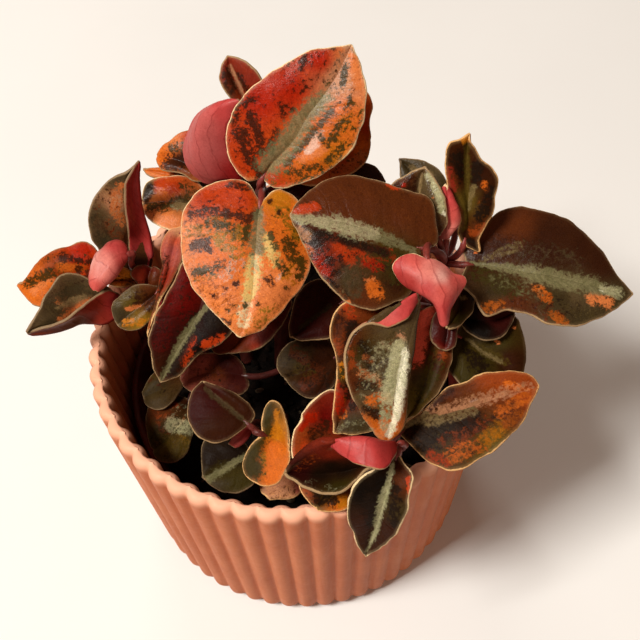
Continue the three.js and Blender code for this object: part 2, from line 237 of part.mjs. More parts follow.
      [40.3,10.8,99.2, 40.8,12.2,101.1, 40.7,13.7,102.9, 39.9,15.2,104.6, 39,16.7,106.1, 38,18.2,107.5, 36.6,19.7,108.7, 34.7,20.8,109.5, 32.5,21.6,109.8, 30.2,22.2,109.6, 27.9,22.8,109.4],
    ] },
  leaf_right_back_2: { colour: "#6c5444", rib: 1, cup: 0.6, across: 5, along: 7, stem: "stem_right", branch: 0, at: 1.0,
    rails: [
      [33.8,0.4,106.3, 31.3,0.9,107, 28.9,1.7,107.8, 26.9,2.9,109.2, 25.3,4.3,110.8, 24.1,5.8,112.6, 23.9,7.3,114.7, 25.3,8.4,116.6, 27.6,8.8,117.7, 29.8,9.4,118.8, 32.2,9.8,119.3],
      [34.5,0.2,106.5, 33.8,1.1,107.9, 33.1,2,109.3, 32.4,2.9,110.6, 31.7,3.9,111.9, 31,4.9,113.1, 30.6,6,114.3, 30.5,7.1,115.6, 30.8,8.1,117, 31.4,9,118.2, 32.2,9.8,119.3],
      [35.1,0.2,106.8, 36,0.4,108.7, 36.5,0.8,110.5, 36.6,1.6,112.3, 36.5,2.5,113.8, 36.1,3.5,115.2, 35.4,4.6,116.3, 34.7,5.7,117.2, 33.9,7,118.1, 33.1,8.4,118.8, 32.2,9.8,119.3],
    ] },
  leaf_right_back_3: { colour: "#c06068", rib: 1, cup: -0.8, across: 3, along: 6, stem: "stem_right", branch: 0, at: 1.0,
    rails: [
      [37.1,0.5,104.9, 37.6,1.1,106.2, 38.4,1.4,107.5, 39.4,1.6,108.7, 39.8,2.1,110.1, 39.6,2.8,111.4, 39.1,3.6,112.6, 38.2,4.3,113.4, 37.4,5.1,114.3, 36.8,5.9,115.5, 36.4,6.5,116.8],
      [36.7,0.6,104.8, 36.8,1.1,106.1, 37,1.6,107.5, 37.1,2.1,108.8, 37.1,2.6,110.1, 37.1,3.1,111.4, 37.1,3.7,112.5, 36.9,4.4,113.7, 36.8,5.1,114.8, 36.6,5.8,115.8, 36.4,6.5,116.8],
      [36.1,0.8,104.6, 35.5,1.8,105.5, 35,2.7,106.5, 34.6,3.5,107.6, 34.3,4.3,108.8, 34.1,5,110.1, 34.1,5.6,111.4, 34.4,6.1,112.8, 34.9,6.5,114.2, 35.7,6.6,115.6, 36.4,6.6,117],
    ] },
  leaf_right_rolled: { colour: "#dc7078", rib: 1, cup: -1.2, across: 5, along: 7, stem: "stem_right", branch: 0, at: 1.0,
    rails: [
      [29.9,-11,113.1, 27.5,-9.9,113.2, 25,-10.2,112.9, 23.3,-11.7,111.7, 24.1,-13.5,110.2, 26,-14.9,108.9, 28.5,-15.5,108.3, 30.9,-16.3,107.6, 32,-18.2,106.3, 32.7,-20.4,105, 33.4,-22.8,104],
      [30.5,-11.2,112.9, 30.5,-13,112.7, 31,-14.5,112.4, 31.5,-15.8,112, 32,-17.1,111.3, 32.4,-18.3,110.5, 32.7,-19.4,109.6, 32.9,-20.4,108.4, 33.1,-21.3,107.1, 33.2,-22.1,105.7, 33.4,-22.8,104],
      [30.9,-11.2,112.9, 33,-11.5,111.9, 34.7,-12.3,111.1, 36.2,-13.4,110.1, 38.2,-13.9,109.6, 38.6,-14.9,108.8, 37.4,-16.4,107.8, 36.1,-17.8,106.9, 35,-19.3,105.9, 34.3,-21,104.8, 33.4,-22.8,104],
    ] },
  leaf_hanging_1: { colour: "#8a7858", rib: 1, cup: 0.6, across: 7, along: 7, stem: "stem_right", branch: 1, at: 1.0,
    share: 1,
    rails: [
      [29.1,-15,104.6, 27.7,-17.4,102.6, 26.2,-19.9,100.8, 26,-22.6,98.8, 26,-25.5,96.9, 25.6,-28.2,94.9, 25.3,-31,92.8, 25,-33.8,90.8, 24.5,-36.5,88.8, 22.9,-38.9,86.9, 20,-40.3,85.9],
      [28.9,-14.8,104.8, 27.9,-17.7,103.4, 26.9,-20.5,101.9, 25.9,-23.2,100.4, 24.8,-25.8,98.7, 23.9,-28.3,96.9, 23,-30.8,94.9, 22.3,-33.3,92.8, 21.6,-35.7,90.6, 20.9,-38,88.3, 20,-40.3,85.9],
      [28.5,-15.6,106.9, 24.7,-17.1,106, 21,-18.6,104.8, 17.5,-20.3,103.3, 14.6,-22.5,101.3, 13.2,-25.5,98.8, 13.2,-28.9,96.3, 14,-32.1,93.8, 15.6,-35.1,91.2, 17.5,-37.9,88.7, 20,-40.5,86.2],
      [28.6,-15.5,104.2, 26.1,-19.4,103.6, 22.1,-21,102.6, 18.1,-20,103.4, 14.3,-21.9,102.2, 12.1,-25,99.9, 12,-28.6,97.2, 12.8,-32,94.3, 14.8,-35.1,91.6, 17,-38,88.7, 20,-40.3,85.9],
    ] },
  leaf_hanging_2: { colour: "#8a501e", rib: 1, cup: 0.6, across: 5, along: 7, stem: "stem_right", branch: 1, at: 1.0,
    via: [[29.6,-11.2,96.6], [33.2,-9.8,93]],
    rails: [
      [27.4,-13.9,101.1, 26.7,-17.6,99.6, 26,-21.1,97.8, 25.2,-24.5,95.9, 24.4,-27.7,93.9, 23.5,-30.9,91.7, 22.1,-33.9,89.5, 20,-36.4,87.4, 16.5,-37.6,86, 12.6,-37.4,85.4, 8.7,-36.6,84.9],
      [27,-13.7,101.3, 24.2,-15.6,100.4, 21.4,-17.5,99.5, 18.9,-19.5,98.3, 16.8,-21.8,96.8, 15.5,-24.4,95, 14.5,-27.1,93, 13.5,-29.7,91, 12.2,-32.1,89, 10.5,-34.4,86.9, 8.7,-36.6,84.9],
      [26.8,-13.1,101.7, 22.3,-12.9,102.8, 17.8,-13.3,103.2, 13.4,-13.8,103.2, 10,-16.2,101.7, 9,-19.8,99.3, 10,-23.3,96.7, 10.1,-26.6,94, 9.4,-30,91.2, 8.6,-33.4,88.1, 8.7,-36.6,84.9],
    ] },
  leaf_hanging_3: { colour: "#6a3a1e", rib: 1, cup: 0.6, across: 5, along: 7, stem: "stem_right", branch: 1, at: 1.0,
    via: [[35.6,-9.6,93.4]],
    rails: [
      [36.4,-11.8,94.9, 37.3,-14.7,94.1, 37.6,-17.6,93, 36.7,-20.3,91.9, 36.3,-23,90.7, 35.1,-25.5,89.5, 33.8,-27.8,88.2, 32,-29.9,87, 29.8,-31.5,85.8, 27.5,-33,84.6, 24.9,-33.8,83.5],
      [35.5,-11.4,95.1, 34.5,-13.9,94.2, 33.6,-16.4,93.2, 32.7,-18.9,92.1, 31.9,-21.3,91, 31.1,-23.6,89.8, 30.3,-25.9,88.6, 29.1,-28,87.4, 27.8,-30.1,86.1, 26.4,-32,84.8, 24.9,-33.8,83.5],
      [34.7,-10.7,95.5, 31.5,-11.5,95.8, 28.6,-12.9,95.6, 27.1,-15.5,94.6, 26.6,-18.3,93.3, 26.6,-21.1,91.9, 26.5,-23.8,90.4, 26.2,-26.4,88.8, 25.7,-28.9,87.1, 25.3,-31.4,85.4, 24.9,-33.8,83.5],
    ] },
  leaf_right_low_round: { colour: "#54402c", rib: 1, cup: 0.6, across: 5, along: 7, stem: "stem_right", branch: 1, at: 0.664,
    rails: [
      [38.3,-15,89.7, 39.8,-12.5,91.5, 42.7,-11,92.5, 46,-10.3,93, 49.3,-10.7,92.8, 52,-12.6,91.9, 53.4,-15.3,90.4, 53.9,-18.2,88.8, 53.7,-21.1,87, 53,-23.9,85.2, 51.8,-26.5,83.2],
      [38.3,-15.4,89.5, 39.9,-16.3,89.4, 41.4,-17.5,89.1, 42.8,-18.6,88.8, 44.2,-19.7,88.3, 45.6,-20.8,87.7, 47,-21.9,87.1, 48.3,-23,86.3, 49.5,-24.2,85.4, 50.7,-25.4,84.3, 51.8,-26.5,83.2],
      [38,-15.8,89.3, 36.4,-18.3,88.9, 35.6,-20.8,88.1, 35.8,-23.4,87.2, 37.1,-25.4,86.3, 39,-27.1,85.5, 41.2,-28.2,84.7, 43.7,-28.8,84, 46.4,-28.8,83.5, 49.1,-28,83.3, 51.8,-26.7,83.1],
    ] },
  leaf_right_low_cup: { colour: "#40181a", rib: 1, cup: 0.6, across: 3, along: 6, stem: "stem_right", branch: 1, at: 0.935,
    rails: [
      [39,-12.6,93.4, 39.8,-11.6,94.4, 40.8,-10.5,95.2, 42.1,-9.6,95.8, 43.6,-9,96.3, 45.2,-8.8,96.5, 46.9,-9,96.4, 48.4,-9.7,96.1, 49.7,-10.5,95.5, 50.8,-11.6,94.8, 51.7,-12.6,93.8],
      [38.9,-13.3,93.1, 40.1,-13.6,93.3, 41.4,-13.8,93.4, 42.6,-14.1,93.5, 43.9,-14.3,93.6, 45.2,-14.5,93.6, 46.5,-14.5,93.6, 47.8,-14.3,93.6, 49.1,-13.9,93.7, 50.4,-13.4,93.7, 51.7,-12.8,93.7],
      [39,-13.9,92.9, 39.7,-15.8,92.8, 40.8,-17.2,92.6, 42.2,-18.3,92.5, 43.7,-19,92.4, 45.4,-19.3,92.4, 47.1,-18.9,92.5, 48.7,-18,92.8, 49.9,-16.6,93.1, 50.9,-15,93.4, 51.7,-13.1,93.6],
    ] },
  leaf_right_inner_1: { colour: "#50382a", rib: 1, cup: 0.6, across: 3, along: 6, stem: "stem_right", branch: 1, at: 1.0,
    rails: [
      [40.3,-6.8,97.4, 41.2,-8.1,97.4, 42,-9.4,97.3, 42.3,-11,97.2, 42,-12.8,97.2, 41.4,-14.5,97.3, 40.3,-15.9,97.4, 39.2,-17.2,97.5, 38,-18.3,97.5, 36.7,-18.9,97.5, 35.3,-19.1,97.4],
      [39.6,-6.7,97.6, 39.5,-8.1,97.7, 39.4,-9.5,97.7, 39.2,-10.9,97.7, 38.9,-12.2,97.7, 38.5,-13.5,97.7, 38,-14.7,97.7, 37.3,-15.9,97.7, 36.6,-16.9,97.6, 35.8,-17.9,97.6, 35.1,-18.8,97.5],
      [39.1,-6.5,97.8, 38.2,-7.9,98.3, 37.3,-9.3,98.7, 36.5,-10.7,99, 35.9,-12,99.1, 35.5,-13.4,99.1, 35.1,-14.6,99, 34.7,-15.8,98.9, 34.6,-16.9,98.6, 34.6,-18,98.2, 34.8,-18.9,97.6],
    ] },
  leaf_right_inner_2: { colour: "#3c201c", rib: 1, cup: 0.6, across: 3, along: 6, stem: "stem_right", branch: 1, at: 1.0,
    rails: [
      [36.3,-11.5,96.7, 36.8,-12.8,96.6, 37.3,-14,96.4, 37.6,-15.3,96.1, 37.7,-16.6,95.8, 37.7,-17.8,95.3, 37.5,-19,94.9, 37.3,-20.2,94.4, 36.8,-21.2,93.8, 35.8,-21.8,93.5, 34.6,-21.8,93.1],
      [36.1,-11.3,96.8, 35.9,-12.5,96.6, 35.8,-13.6,96.4, 35.7,-14.7,96.1, 35.6,-15.8,95.7, 35.5,-16.9,95.4, 35.4,-18,95, 35.2,-19,94.6, 34.9,-19.9,94.1, 34.6,-20.9,93.7, 34.2,-21.8,93.2],
      [35.9,-11.3,96.9, 34.7,-12.4,97.1, 33.7,-13.5,97.2, 32.7,-14.5,97.2, 32,-15.7,97, 31.7,-16.9,96.6, 31.4,-18.1,96.1, 31.4,-19.2,95.6, 31.7,-20.2,94.9, 32.5,-20.9,94.2, 33.5,-21.3,93.4],
    ] },
  leaf_rim_right: { colour: "#8a5a30", rib: 1, cup: 0.6, across: 5, along: 7, stem: "stem_front_right", branch: 0, at: 1.0,
    rails: [
      [23.7,-34.3,79.8, 26.1,-32.3,82, 29.3,-31.2,83.8, 32.1,-29.3,85.6, 35,-27.5,87.3, 38.6,-27.3,88.3, 42,-26.2,89.4, 45.7,-25.9,90.1, 49.4,-26,90.3, 53,-27,90, 55.2,-29.4,88.6],
      [23.7,-34.7,79.6, 26.6,-33.8,81.1, 29.7,-33.2,82.3, 32.9,-32.9,83.4, 36.1,-32.6,84.4, 39.3,-32.2,85.3, 42.4,-31.7,86.1, 45.6,-31.1,86.9, 48.7,-30.5,87.6, 51.9,-30,88.1, 55.2,-29.4,88.6],
      [23.9,-34.9,79.5, 26.5,-38.4,79.5, 29.3,-41.7,79.3, 32.8,-44.1,79.4, 36.9,-44.5,80.4, 40.6,-43.1,81.9, 44.3,-41.5,83.3, 47.7,-39.4,84.7, 50.7,-36.6,86.1, 53,-33.1,87.5, 55.2,-29.4,88.6],
    ] },
  leaf_over_rim: { colour: "#4c3820", rib: 1, cup: 0.6, across: 5, along: 7, stem: "stem_front_right", branch: 0, at: 1.0,
    via: [[22.6,-41.4,82.5], [21.2,-39.8,78.2]],
    rails: [
      [22.8,-43.4,86.3, 24,-45.6,86, 25.3,-47.6,85.2, 24.7,-50,84.1, 24.1,-51.9,82.3, 23.9,-53.6,79.7, 22.7,-54.8,76.4, 21.3,-55.6,72.5, 19.4,-56,68.5, 17.1,-56.2,65, 14.7,-56.3,61.7],
      [22.2,-43.1,86.3, 21.5,-45,85.3, 20.7,-46.7,83.9, 20,-48.3,82.1, 19.2,-49.7,80, 18.5,-50.9,77.4, 17.8,-52,74.6, 17,-53,71.4, 16.2,-54,68.1, 15.5,-55.1,64.9, 14.7,-56.3,61.7],
      [21.5,-43.3,86.4, 19,-44.6,86.1, 16.6,-46,85.5, 14.3,-47,84.5, 12.3,-48.3,82.7, 11.1,-49.8,80.1, 10.7,-51.3,76.8, 11.1,-52.6,72.9, 12.1,-53.8,68.8, 13,-55.3,65.2, 14.7,-56.3,61.7],
    ] },
  leaf_front_cupped: { colour: "#3c1c14", rib: 1, cup: 0.6, across: 7, along: 7, stem: "stem_front_right", branch: 0, at: 1.0,
    via: [[24.2,-40.2,84.5], [22.2,-38.9,79]],
    rails: [
      [22.3,-41.5,86.5, 20.3,-43.5,85.7, 17.7,-44.7,84.9, 14.9,-45.4,84.1, 13,-47.3,83.1, 10.8,-49.2,82.6, 8,-50.1,82.6, 5.1,-49.6,82.6, 2.4,-48.4,82.6, 0,-46.6,83, -2.4,-45,83.5],
      [22.5,-41.3,86.5, 20.6,-41.8,84.1, 18.4,-42.3,82.2, 15.9,-42.5,80.9, 13.3,-42.5,80, 10.7,-42.9,79.5, 8,-43.4,79.7, 5.4,-43.8,80.2, 2.7,-44,80.9, 0.1,-44.3,82, -2.4,-44.7,83.5],
      [21.9,-42.1,89.5, 19.1,-43.1,92.4, 16.6,-43,94.2, 14.1,-42.5,94.4, 11.5,-42.3,94, 8.9,-42.4,93.4, 6.4,-42.3,91.9, 3.9,-42.2,89.5, 1.6,-42.7,87.4, -0.5,-43.6,85.5, -2.4,-44.7,83.5],
      [22.2,-41.8,88.5, 20.8,-46.3,90.9, 18.6,-49.5,92.3, 15.7,-49,92.5, 12.9,-47.6,92.1, 10.5,-45.4,91.5, 8.2,-42.4,90.2, 5.3,-40.9,88.3, 2.5,-41.8,86.6, -0.1,-43.1,85.1, -2.4,-44.7,83.5],
    ] },
  leaf_front_orange: { colour: "#9c3c1c", rib: 1, cup: 0.6, across: 5, along: 7, stem: "stem_front_right", branch: 0, at: 1.0,
    rails: [
      [12.7,-39.1,80.7, 10.8,-40.2,80.1, 8.9,-41.1,79.5, 6.8,-41.8,79.1, 4.6,-42.1,78.9, 2.4,-42,78.9, 0.4,-41.3,79.5, -0.5,-39.7,80.6, -0.7,-37.9,81.9, -0.4,-36,83.1, 0.3,-34.2,84.2],
      [13,-38.4,81.2, 11.8,-37.7,81.2, 10.7,-37,81.3, 9.5,-36.2,81.5, 8.5,-35.5,81.9, 7.4,-34.8,82.3, 6.3,-34.2,82.8, 5.2,-33.7,83.3, 4,-33.3,83.9, 2.7,-33,84.5, 1.5,-32.8,85.1],
      [13,-37.7,81.6, 13.1,-36,83.5, 13.1,-34.1,85, 12.8,-32.3,86.4, 12.2,-30.5,87.7, 11.1,-28.8,88.9, 9.2,-27.7,89.6, 7,-28.2,89.2, 5.1,-29.3,88.4, 3.4,-30.5,87.3, 1.8,-31.7,85.8],
    ] },
  leaf_front_low: { colour: "#8a5420", rib: 1, cup: 0.6, across: 3, along: 6, stem: "stem_front_right", branch: 0, at: 0.905,
    rails: [
      [12.8,-44.3,76.1, 13.1,-45.7,76.1, 13.1,-47,76, 12.6,-48.3,75.9, 11.9,-49.5,75.8, 10.9,-50.4,75.8, 9.6,-50.9,75.8, 8.3,-51,75.8, 7,-51,75.9, 5.7,-50.8,75.8, 4.4,-50.6,75.8],
      [12.6,-43.4,76.3, 11.6,-43.9,76.4, 10.6,-44.4,76.5, 9.6,-45,76.6, 8.7,-45.6,76.6, 7.8,-46.3,76.5, 7,-47.1,76.5, 6.2,-47.8,76.4, 5.5,-48.6,76.2, 4.7,-49.4,76.1, 4,-50.1,75.9],
      [12.5,-42.5,76.4, 10.7,-41.7,76.9, 8.9,-41.2,77.3, 7,-41.1,77.6, 5,-41.4,77.8, 3.2,-42.1,77.8, 1.5,-43.1,77.8, 0.5,-44.7,77.5, 1,-46.5,77.1, 2,-48,76.6, 3.2,-49.5,76.1],
    ] },
  leaf_small_cupped: { colour: "#b8742c", rib: 1, cup: 0.6, across: 5, along: 7, stem: "stem_front_left", branch: 0, at: 1.0,
    rails: [
      [-7.5,-32.3,79.1, -7.6,-30.4,80.1, -7.2,-28.6,81, -6.5,-26.8,81.9, -4.9,-25.8,82.7, -3.1,-26.8,82.6, -2.2,-28.6,81.9, -1.7,-30.5,81.1, -1.3,-32.4,80.3, -1.2,-34.3,79.4, -1.2,-36.1,78.4],
      [-7.5,-32.5,79, -6.8,-32.6,78.6, -6.2,-32.8,78.3, -5.5,-33,78.1, -4.9,-33.3,77.9, -4.2,-33.6,77.8, -3.6,-34,77.8, -3,-34.5,77.8, -2.4,-35.1,77.9, -1.8,-35.7,78.1, -1.2,-36.3,78.3],
      [-7.8,-32.8,78.8, -10,-34.2,77.8, -11.5,-36.1,76.6, -12.4,-38.3,75.3, -11.7,-40.6,74.2, -9.4,-42.2,73.9, -6.8,-43.3,73.9, -4.2,-42.8,74.6, -2.6,-41,75.8, -1.3,-39,77.1, -1.2,-36.5,78.2],
    ] },
  leaf_small_dark: { colour: "#4c2414", rib: 1, cup: 0.6, across: 5, along: 7, stem: "stem_front_left", branch: 0, at: 1.0,
    rails: [
      [-10.9,-30.6,79.8, -13,-32.2,79.5, -15.3,-33.6,79.1, -17.9,-34.2,79, -20.5,-33.6,79.4, -22.6,-32,80.2, -24,-29.9,81.1, -24.4,-27.4,82.1, -23.9,-24.9,83.1, -22.8,-22.5,83.9, -20.9,-20.6,84.3],
      [-10.6,-30.2,80, -11.6,-29.5,80.7, -12.6,-28.7,81.4, -13.7,-27.8,81.9, -14.8,-27,82.4, -15.8,-26.1,82.9, -16.9,-25.2,83.3, -17.9,-24.1,83.6, -18.9,-23,83.9, -19.9,-21.9,84.1, -20.9,-20.6,84.3],
      [-10.2,-30.3,80, -9.1,-29.2,81.1, -9,-27.9,82.1, -9.9,-26.7,82.9, -11.2,-25.7,83.5, -12.6,-24.6,84.1, -14.1,-23.7,84.4, -15.7,-23,84.6, -17.4,-22.2,84.6, -19.1,-21.4,84.5, -20.9,-20.6,84.3],
    ] },
  leaf_small_green: { colour: "#4e4a34", rib: 1, cup: 0.6, across: 5, along: 7, stem: "stem_front_left", branch: 0, at: 0.555,
    rails: [
      [-11,-32.7,65.7, -10.4,-34.6,65.5, -10.1,-36.5,65.2, -10.8,-38.3,64.8, -12.4,-39.2,64.6, -14.1,-39.9,64.5, -16,-40,64.4, -17.9,-39.6,64.4, -19.7,-38.7,64.5, -21.3,-37.5,64.6, -22.6,-36,64.7],
      [-11,-31.5,66, -12.3,-31.8,66, -13.5,-32.1,66, -14.7,-32.5,66, -15.9,-33,65.9, -17.1,-33.5,65.7, -18.2,-34,65.6, -19.4,-34.5,65.4, -20.6,-35,65.2, -21.7,-35.5,64.9, -22.9,-36,64.7],
      [-11.2,-30.3,66.3, -12.3,-28.4,67, -13.9,-26.7,67.6, -16,-25.7,68, -18.3,-25.4,68.1, -20.6,-25.8,68, -22.4,-27.1,67.6, -23.2,-29.2,67, -23.3,-31.4,66.3, -23.2,-33.6,65.6, -23.1,-35.7,64.7],
    ] },
  leaf_small_rolled: { colour: "#c06870", rib: 1, cup: -0.6, across: 3, along: 6, stem: "stem_front_left", branch: 0, at: 1.0,
    rails: [
      [-10.5,-28.2,76.2, -11.3,-27.8,76.2, -12,-27.7,76, -12.6,-28.1,75.7, -13,-28.7,75.3, -13.5,-29.2,75, -13.9,-29.7,74.7, -14.4,-30.2,74.4, -14.9,-30.7,74.2, -15.4,-31.2,73.9, -15.9,-31.8,73.8],
      [-10.3,-28.6,76, -10.7,-29,75.9, -11.2,-29.5,75.7, -11.6,-29.9,75.6, -12,-30.4,75.4, -12.5,-30.8,75.1, -12.9,-31.1,74.9, -13.4,-31.5,74.6, -13.9,-31.8,74.3, -14.4,-32,74, -15,-32.3,73.6],
      [-10.1,-29,75.8, -10.4,-29.3,75.3, -10.7,-29.8,74.9, -11.1,-30.2,74.5, -11.4,-30.6,74.2, -11.8,-31,73.9, -12.2,-31.4,73.7, -12.7,-31.8,73.5, -13.2,-32.1,73.4, -13.7,-32.4,73.3, -14.3,-32.7,73.4],
    ] },
  leaf_in_pot_3: { colour: "#7c4c34", rib: 1, cup: 0.6, across: 3, along: 6, stem: "stem_front_left", branch: 0, at: 0.301,
    rails: [
      [-0.1,-35.3,59.9, 0.4,-36.5,59.9, 0.6,-37.7,59.8, 0.1,-38.7,59.8, -0.7,-39.5,59.7, -1.8,-40,59.7, -2.9,-40.2,59.6, -4.1,-40.2,59.6, -5.2,-40.1,59.5, -6.4,-40,59.4, -7.5,-39.9,59.3],
      [-0.5,-34.5,60, -1.4,-34.9,60.1, -2.2,-35.3,60.1, -3.1,-35.7,60.1, -3.8,-36.1,60.1, -4.6,-36.6,60, -5.4,-37.1,60, -6.1,-37.6,59.9, -6.9,-38,59.7, -7.7,-38.4,59.6, -8.5,-38.8,59.4],
      [-0.7,-33.5,60.1, -2,-33.1,60.3, -3.2,-32.8,60.4, -4.5,-32.6,60.5, -5.8,-32.7,60.5, -7,-33.1,60.4, -8.1,-33.7,60.3, -9,-34.7,60.2, -9.6,-35.8,60, -9.6,-37.1,59.7, -9.2,-38.3,59.5],
    ] },
  leaf_centre_1: { colour: "#38201c", rib: 1, cup: 0.6, across: 5, along: 7, stem: "stem_centre", branch: 0, at: 1.0,
    rails: [
      [13.4,-3.3,87.8, 13.2,-5.4,87.4, 12.8,-7.4,86.9, 12,-9.1,86.5, 10.8,-10.6,86, 9.2,-11.6,85.8, 7.3,-11.9,85.7, 5.4,-11.9,85.7, 3.5,-11.9,85.6, 1.7,-11.5,85.5, -0.2,-10.7,85.5],
      [13.1,-2.9,88, 11.6,-3.6,88.2, 10.2,-4.3,88.3, 8.8,-5.2,88.2, 7.5,-6.1,88, 6.2,-7,87.7, 5,-7.8,87.4, 3.7,-8.6,87, 2.4,-9.4,86.6, 1.1,-10.1,86.1, -0.2,-10.7,85.5],
      [13.2,-2.4,88.2, 11.8,-0.8,89.6, 10.1,0.7,90.8, 7.9,1.6,91.7, 5.4,0.9,91.8, 3.3,-0.5,91.3, 1.7,-2.4,90.6, 0.8,-4.5,89.5, 0.2,-6.7,88.3, -0.4,-8.8,87, -0.2,-10.7,85.5],
    ] },
  leaf_centre_2: { colour: "#4c2a1c", rib: 1, cup: 0.6, across: 5, along: 7, stem: "stem_centre", branch: 0, at: 1.0,
    rails: [
      [-3.2,4.2,85.8, -1,2.3,85.6, 0.6,0,85, -0.3,-2.6,84.2, -1.8,-4.8,83.4, -3.4,-6.8,82.5, -5.2,-8.6,81.5, -7.5,-9.9,80.8, -10.1,-10.5,80.1, -12.8,-10.5,79.7, -15.6,-10.1,79.2],
      [-4.2,4.7,86, -5,2.8,85.5, -5.8,0.9,85, -6.7,-0.9,84.4, -7.7,-2.5,83.8, -8.9,-4,83.2, -10.2,-5.3,82.5, -11.5,-6.6,81.8, -12.9,-7.8,81, -14.2,-9,80.1, -15.6,-10.1,79.2],
      [-5.2,5,86.1, -7.7,4.1,86.2, -10.2,2.9,86, -12.3,1.3,85.5, -14,-0.7,84.8, -15.6,-2.7,83.9, -17.1,-4.6,83, -18.5,-6.7,81.9, -19.5,-8.8,80.6, -18.2,-10.3,79.6, -15.6,-10.1,79.2],
    ] },
  leaf_centre_3: { colour: "#3c2020", rib: 1, cup: 0.6, across: 5, along: 7, stem: "stem_centre", branch: 0, at: 0.428,
    rails: [
      [-11.5,-13.2,71.7, -11.2,-15.3,71.5, -12.6,-16.8,71.3, -14.4,-17.5,71.3, -16.3,-17.7,71.3, -18.3,-17.6,71.4, -20.3,-17.3,71.4, -22.3,-16.9,71.3, -24.2,-16.3,71.2, -26,-15.2,71.2, -27.7,-13.6,71.2],
      [-11.7,-12.2,72, -13.3,-12.1,72.4, -14.9,-11.9,72.6, -16.6,-11.7,72.9, -18.2,-11.6,73, -19.9,-11.5,73, -21.6,-11.5,73, -23.2,-11.7,72.7, -24.8,-12.1,72.4, -26.4,-12.6,71.9, -27.9,-13.1,71.4],
      [-11.9,-11.2,72.3, -12.7,-9.4,73.4, -14,-7.8,74.3, -16.1,-6.9,74.8, -18.3,-6.6,75, -20.6,-6.5,75, -22.9,-6.6,74.9, -25,-7.3,74.5, -26.7,-8.5,73.8, -27.8,-10.2,72.8, -28.4,-12.1,71.7],
    ] },
  leaf_centre_4: { colour: "#3c3020", rib: 1, cup: 0.6, across: 5, along: 7, stem: "stem_centre", branch: 0, at: 0.606,
    rails: [
      [11,-11.8,75.5, 10.9,-14.1,75.2, 10.5,-16.3,74.9, 9.4,-18.2,74.5, 7.8,-19.5,74.1, 6,-20.4,73.8, 3.9,-20.7,73.6, 2,-20.1,73.7, 0.3,-18.6,73.9, -1.1,-16.9,74.1, -2.4,-15,74.2],
      [11.1,-10.4,76, 9.8,-11.1,76.1, 8.5,-11.8,76.1, 7.1,-12.4,76, 5.8,-13,75.9, 4.5,-13.6,75.8, 3.2,-14,75.5, 1.8,-14.4,75.3, 0.4,-14.6,75, -1,-14.7,74.6, -2.4,-14.8,74.2],
      [11.2,-9.4,76.3, 9.9,-7.7,77.4, 8.2,-6.3,78.2, 5.9,-5.6,78.6, 3.6,-5.7,78.7, 1.3,-6.2,78.5, -0.8,-7.2,78.1, -2.6,-8.6,77.4, -3.8,-10.4,76.5, -4,-12.5,75.5, -2.9,-14.3,74.4],
    ] },
};

// ---------------------------------------------------------------- helpers
const V = (a) => new THREE.Vector3(a[0], a[1], a[2]);

// Same surface with shared corners merged and needle triangles dropped.
function weld(geometry) {
  const g = geometry.clone();
  g.deleteAttribute("normal");
  g.deleteAttribute("uv");
  const m = mergeVertices(g, 1e-4);
  const index = [];
  for (let i = 0; i < m.index.count; i += 3) {
    const [a, b, c] = [m.index.getX(i), m.index.getX(i + 1), m.index.getX(i + 2)];
    if (a !== b && b !== c && c !== a) index.push(a, b, c);
  }
  m.setIndex(index);
  return m;
}

const wasm = await Module();
wasm.setup();

function toSolid(geometry) {
  const g = weld(geometry);
  return new wasm.Manifold(new wasm.Mesh({
    numProp: 3,
    vertProperties: new Float32Array(g.attributes.position.array),
    triVerts: new Uint32Array(g.index.array),
  }));
}

function toGeometry(solid) {
  const mesh = solid.getMesh();
  const g = new THREE.BufferGeometry();
  const step = mesh.numProp;
  const n = mesh.vertProperties.length / step;
  const pos = new Float32Array(n * 3);
  for (let i = 0; i < n; i++)
    for (let k = 0; k < 3; k++) pos[i * 3 + k] = mesh.vertProperties[i * step + k];
  g.setAttribute("position", new THREE.BufferAttribute(pos, 3));
  g.setIndex(new THREE.BufferAttribute(new Uint32Array(mesh.triVerts), 1));
  g.computeVertexNormals();
  return g;
}

// A solid of revolution about Z from a profile of [radius, z] points.
function turned(profile, segments) {
  const g = new THREE.LatheGeometry(profile.map(([r, z]) => new THREE.Vector2(r, z)), segments);
  g.rotateX(Math.PI / 2);
  return g;
}

// A round bar along a curve.
function bar(curve, radius, sides, steps) {
  const shape = new THREE.Shape();
  for (let i = 0; i < sides; i++) {
    const a = (i / sides) * Math.PI * 2;
    if (i === 0) shape.moveTo(radius * Math.cos(a), radius * Math.sin(a));
    else shape.lineTo(radius * Math.cos(a), radius * Math.sin(a));
  }
  shape.closePath();
  return new THREE.ExtrudeGeometry(shape, { steps, extrudePath: curve, bevelEnabled: false });
}

const group = new THREE.Group();

function addPart(name, geometry, colour, roughness, metalness = 0) {
  const mesh = new THREE.Mesh(geometry, new THREE.MeshStandardMaterial({ color: colour, roughness, metalness }));
  mesh.name = name;
  group.add(mesh);
  return mesh;
}

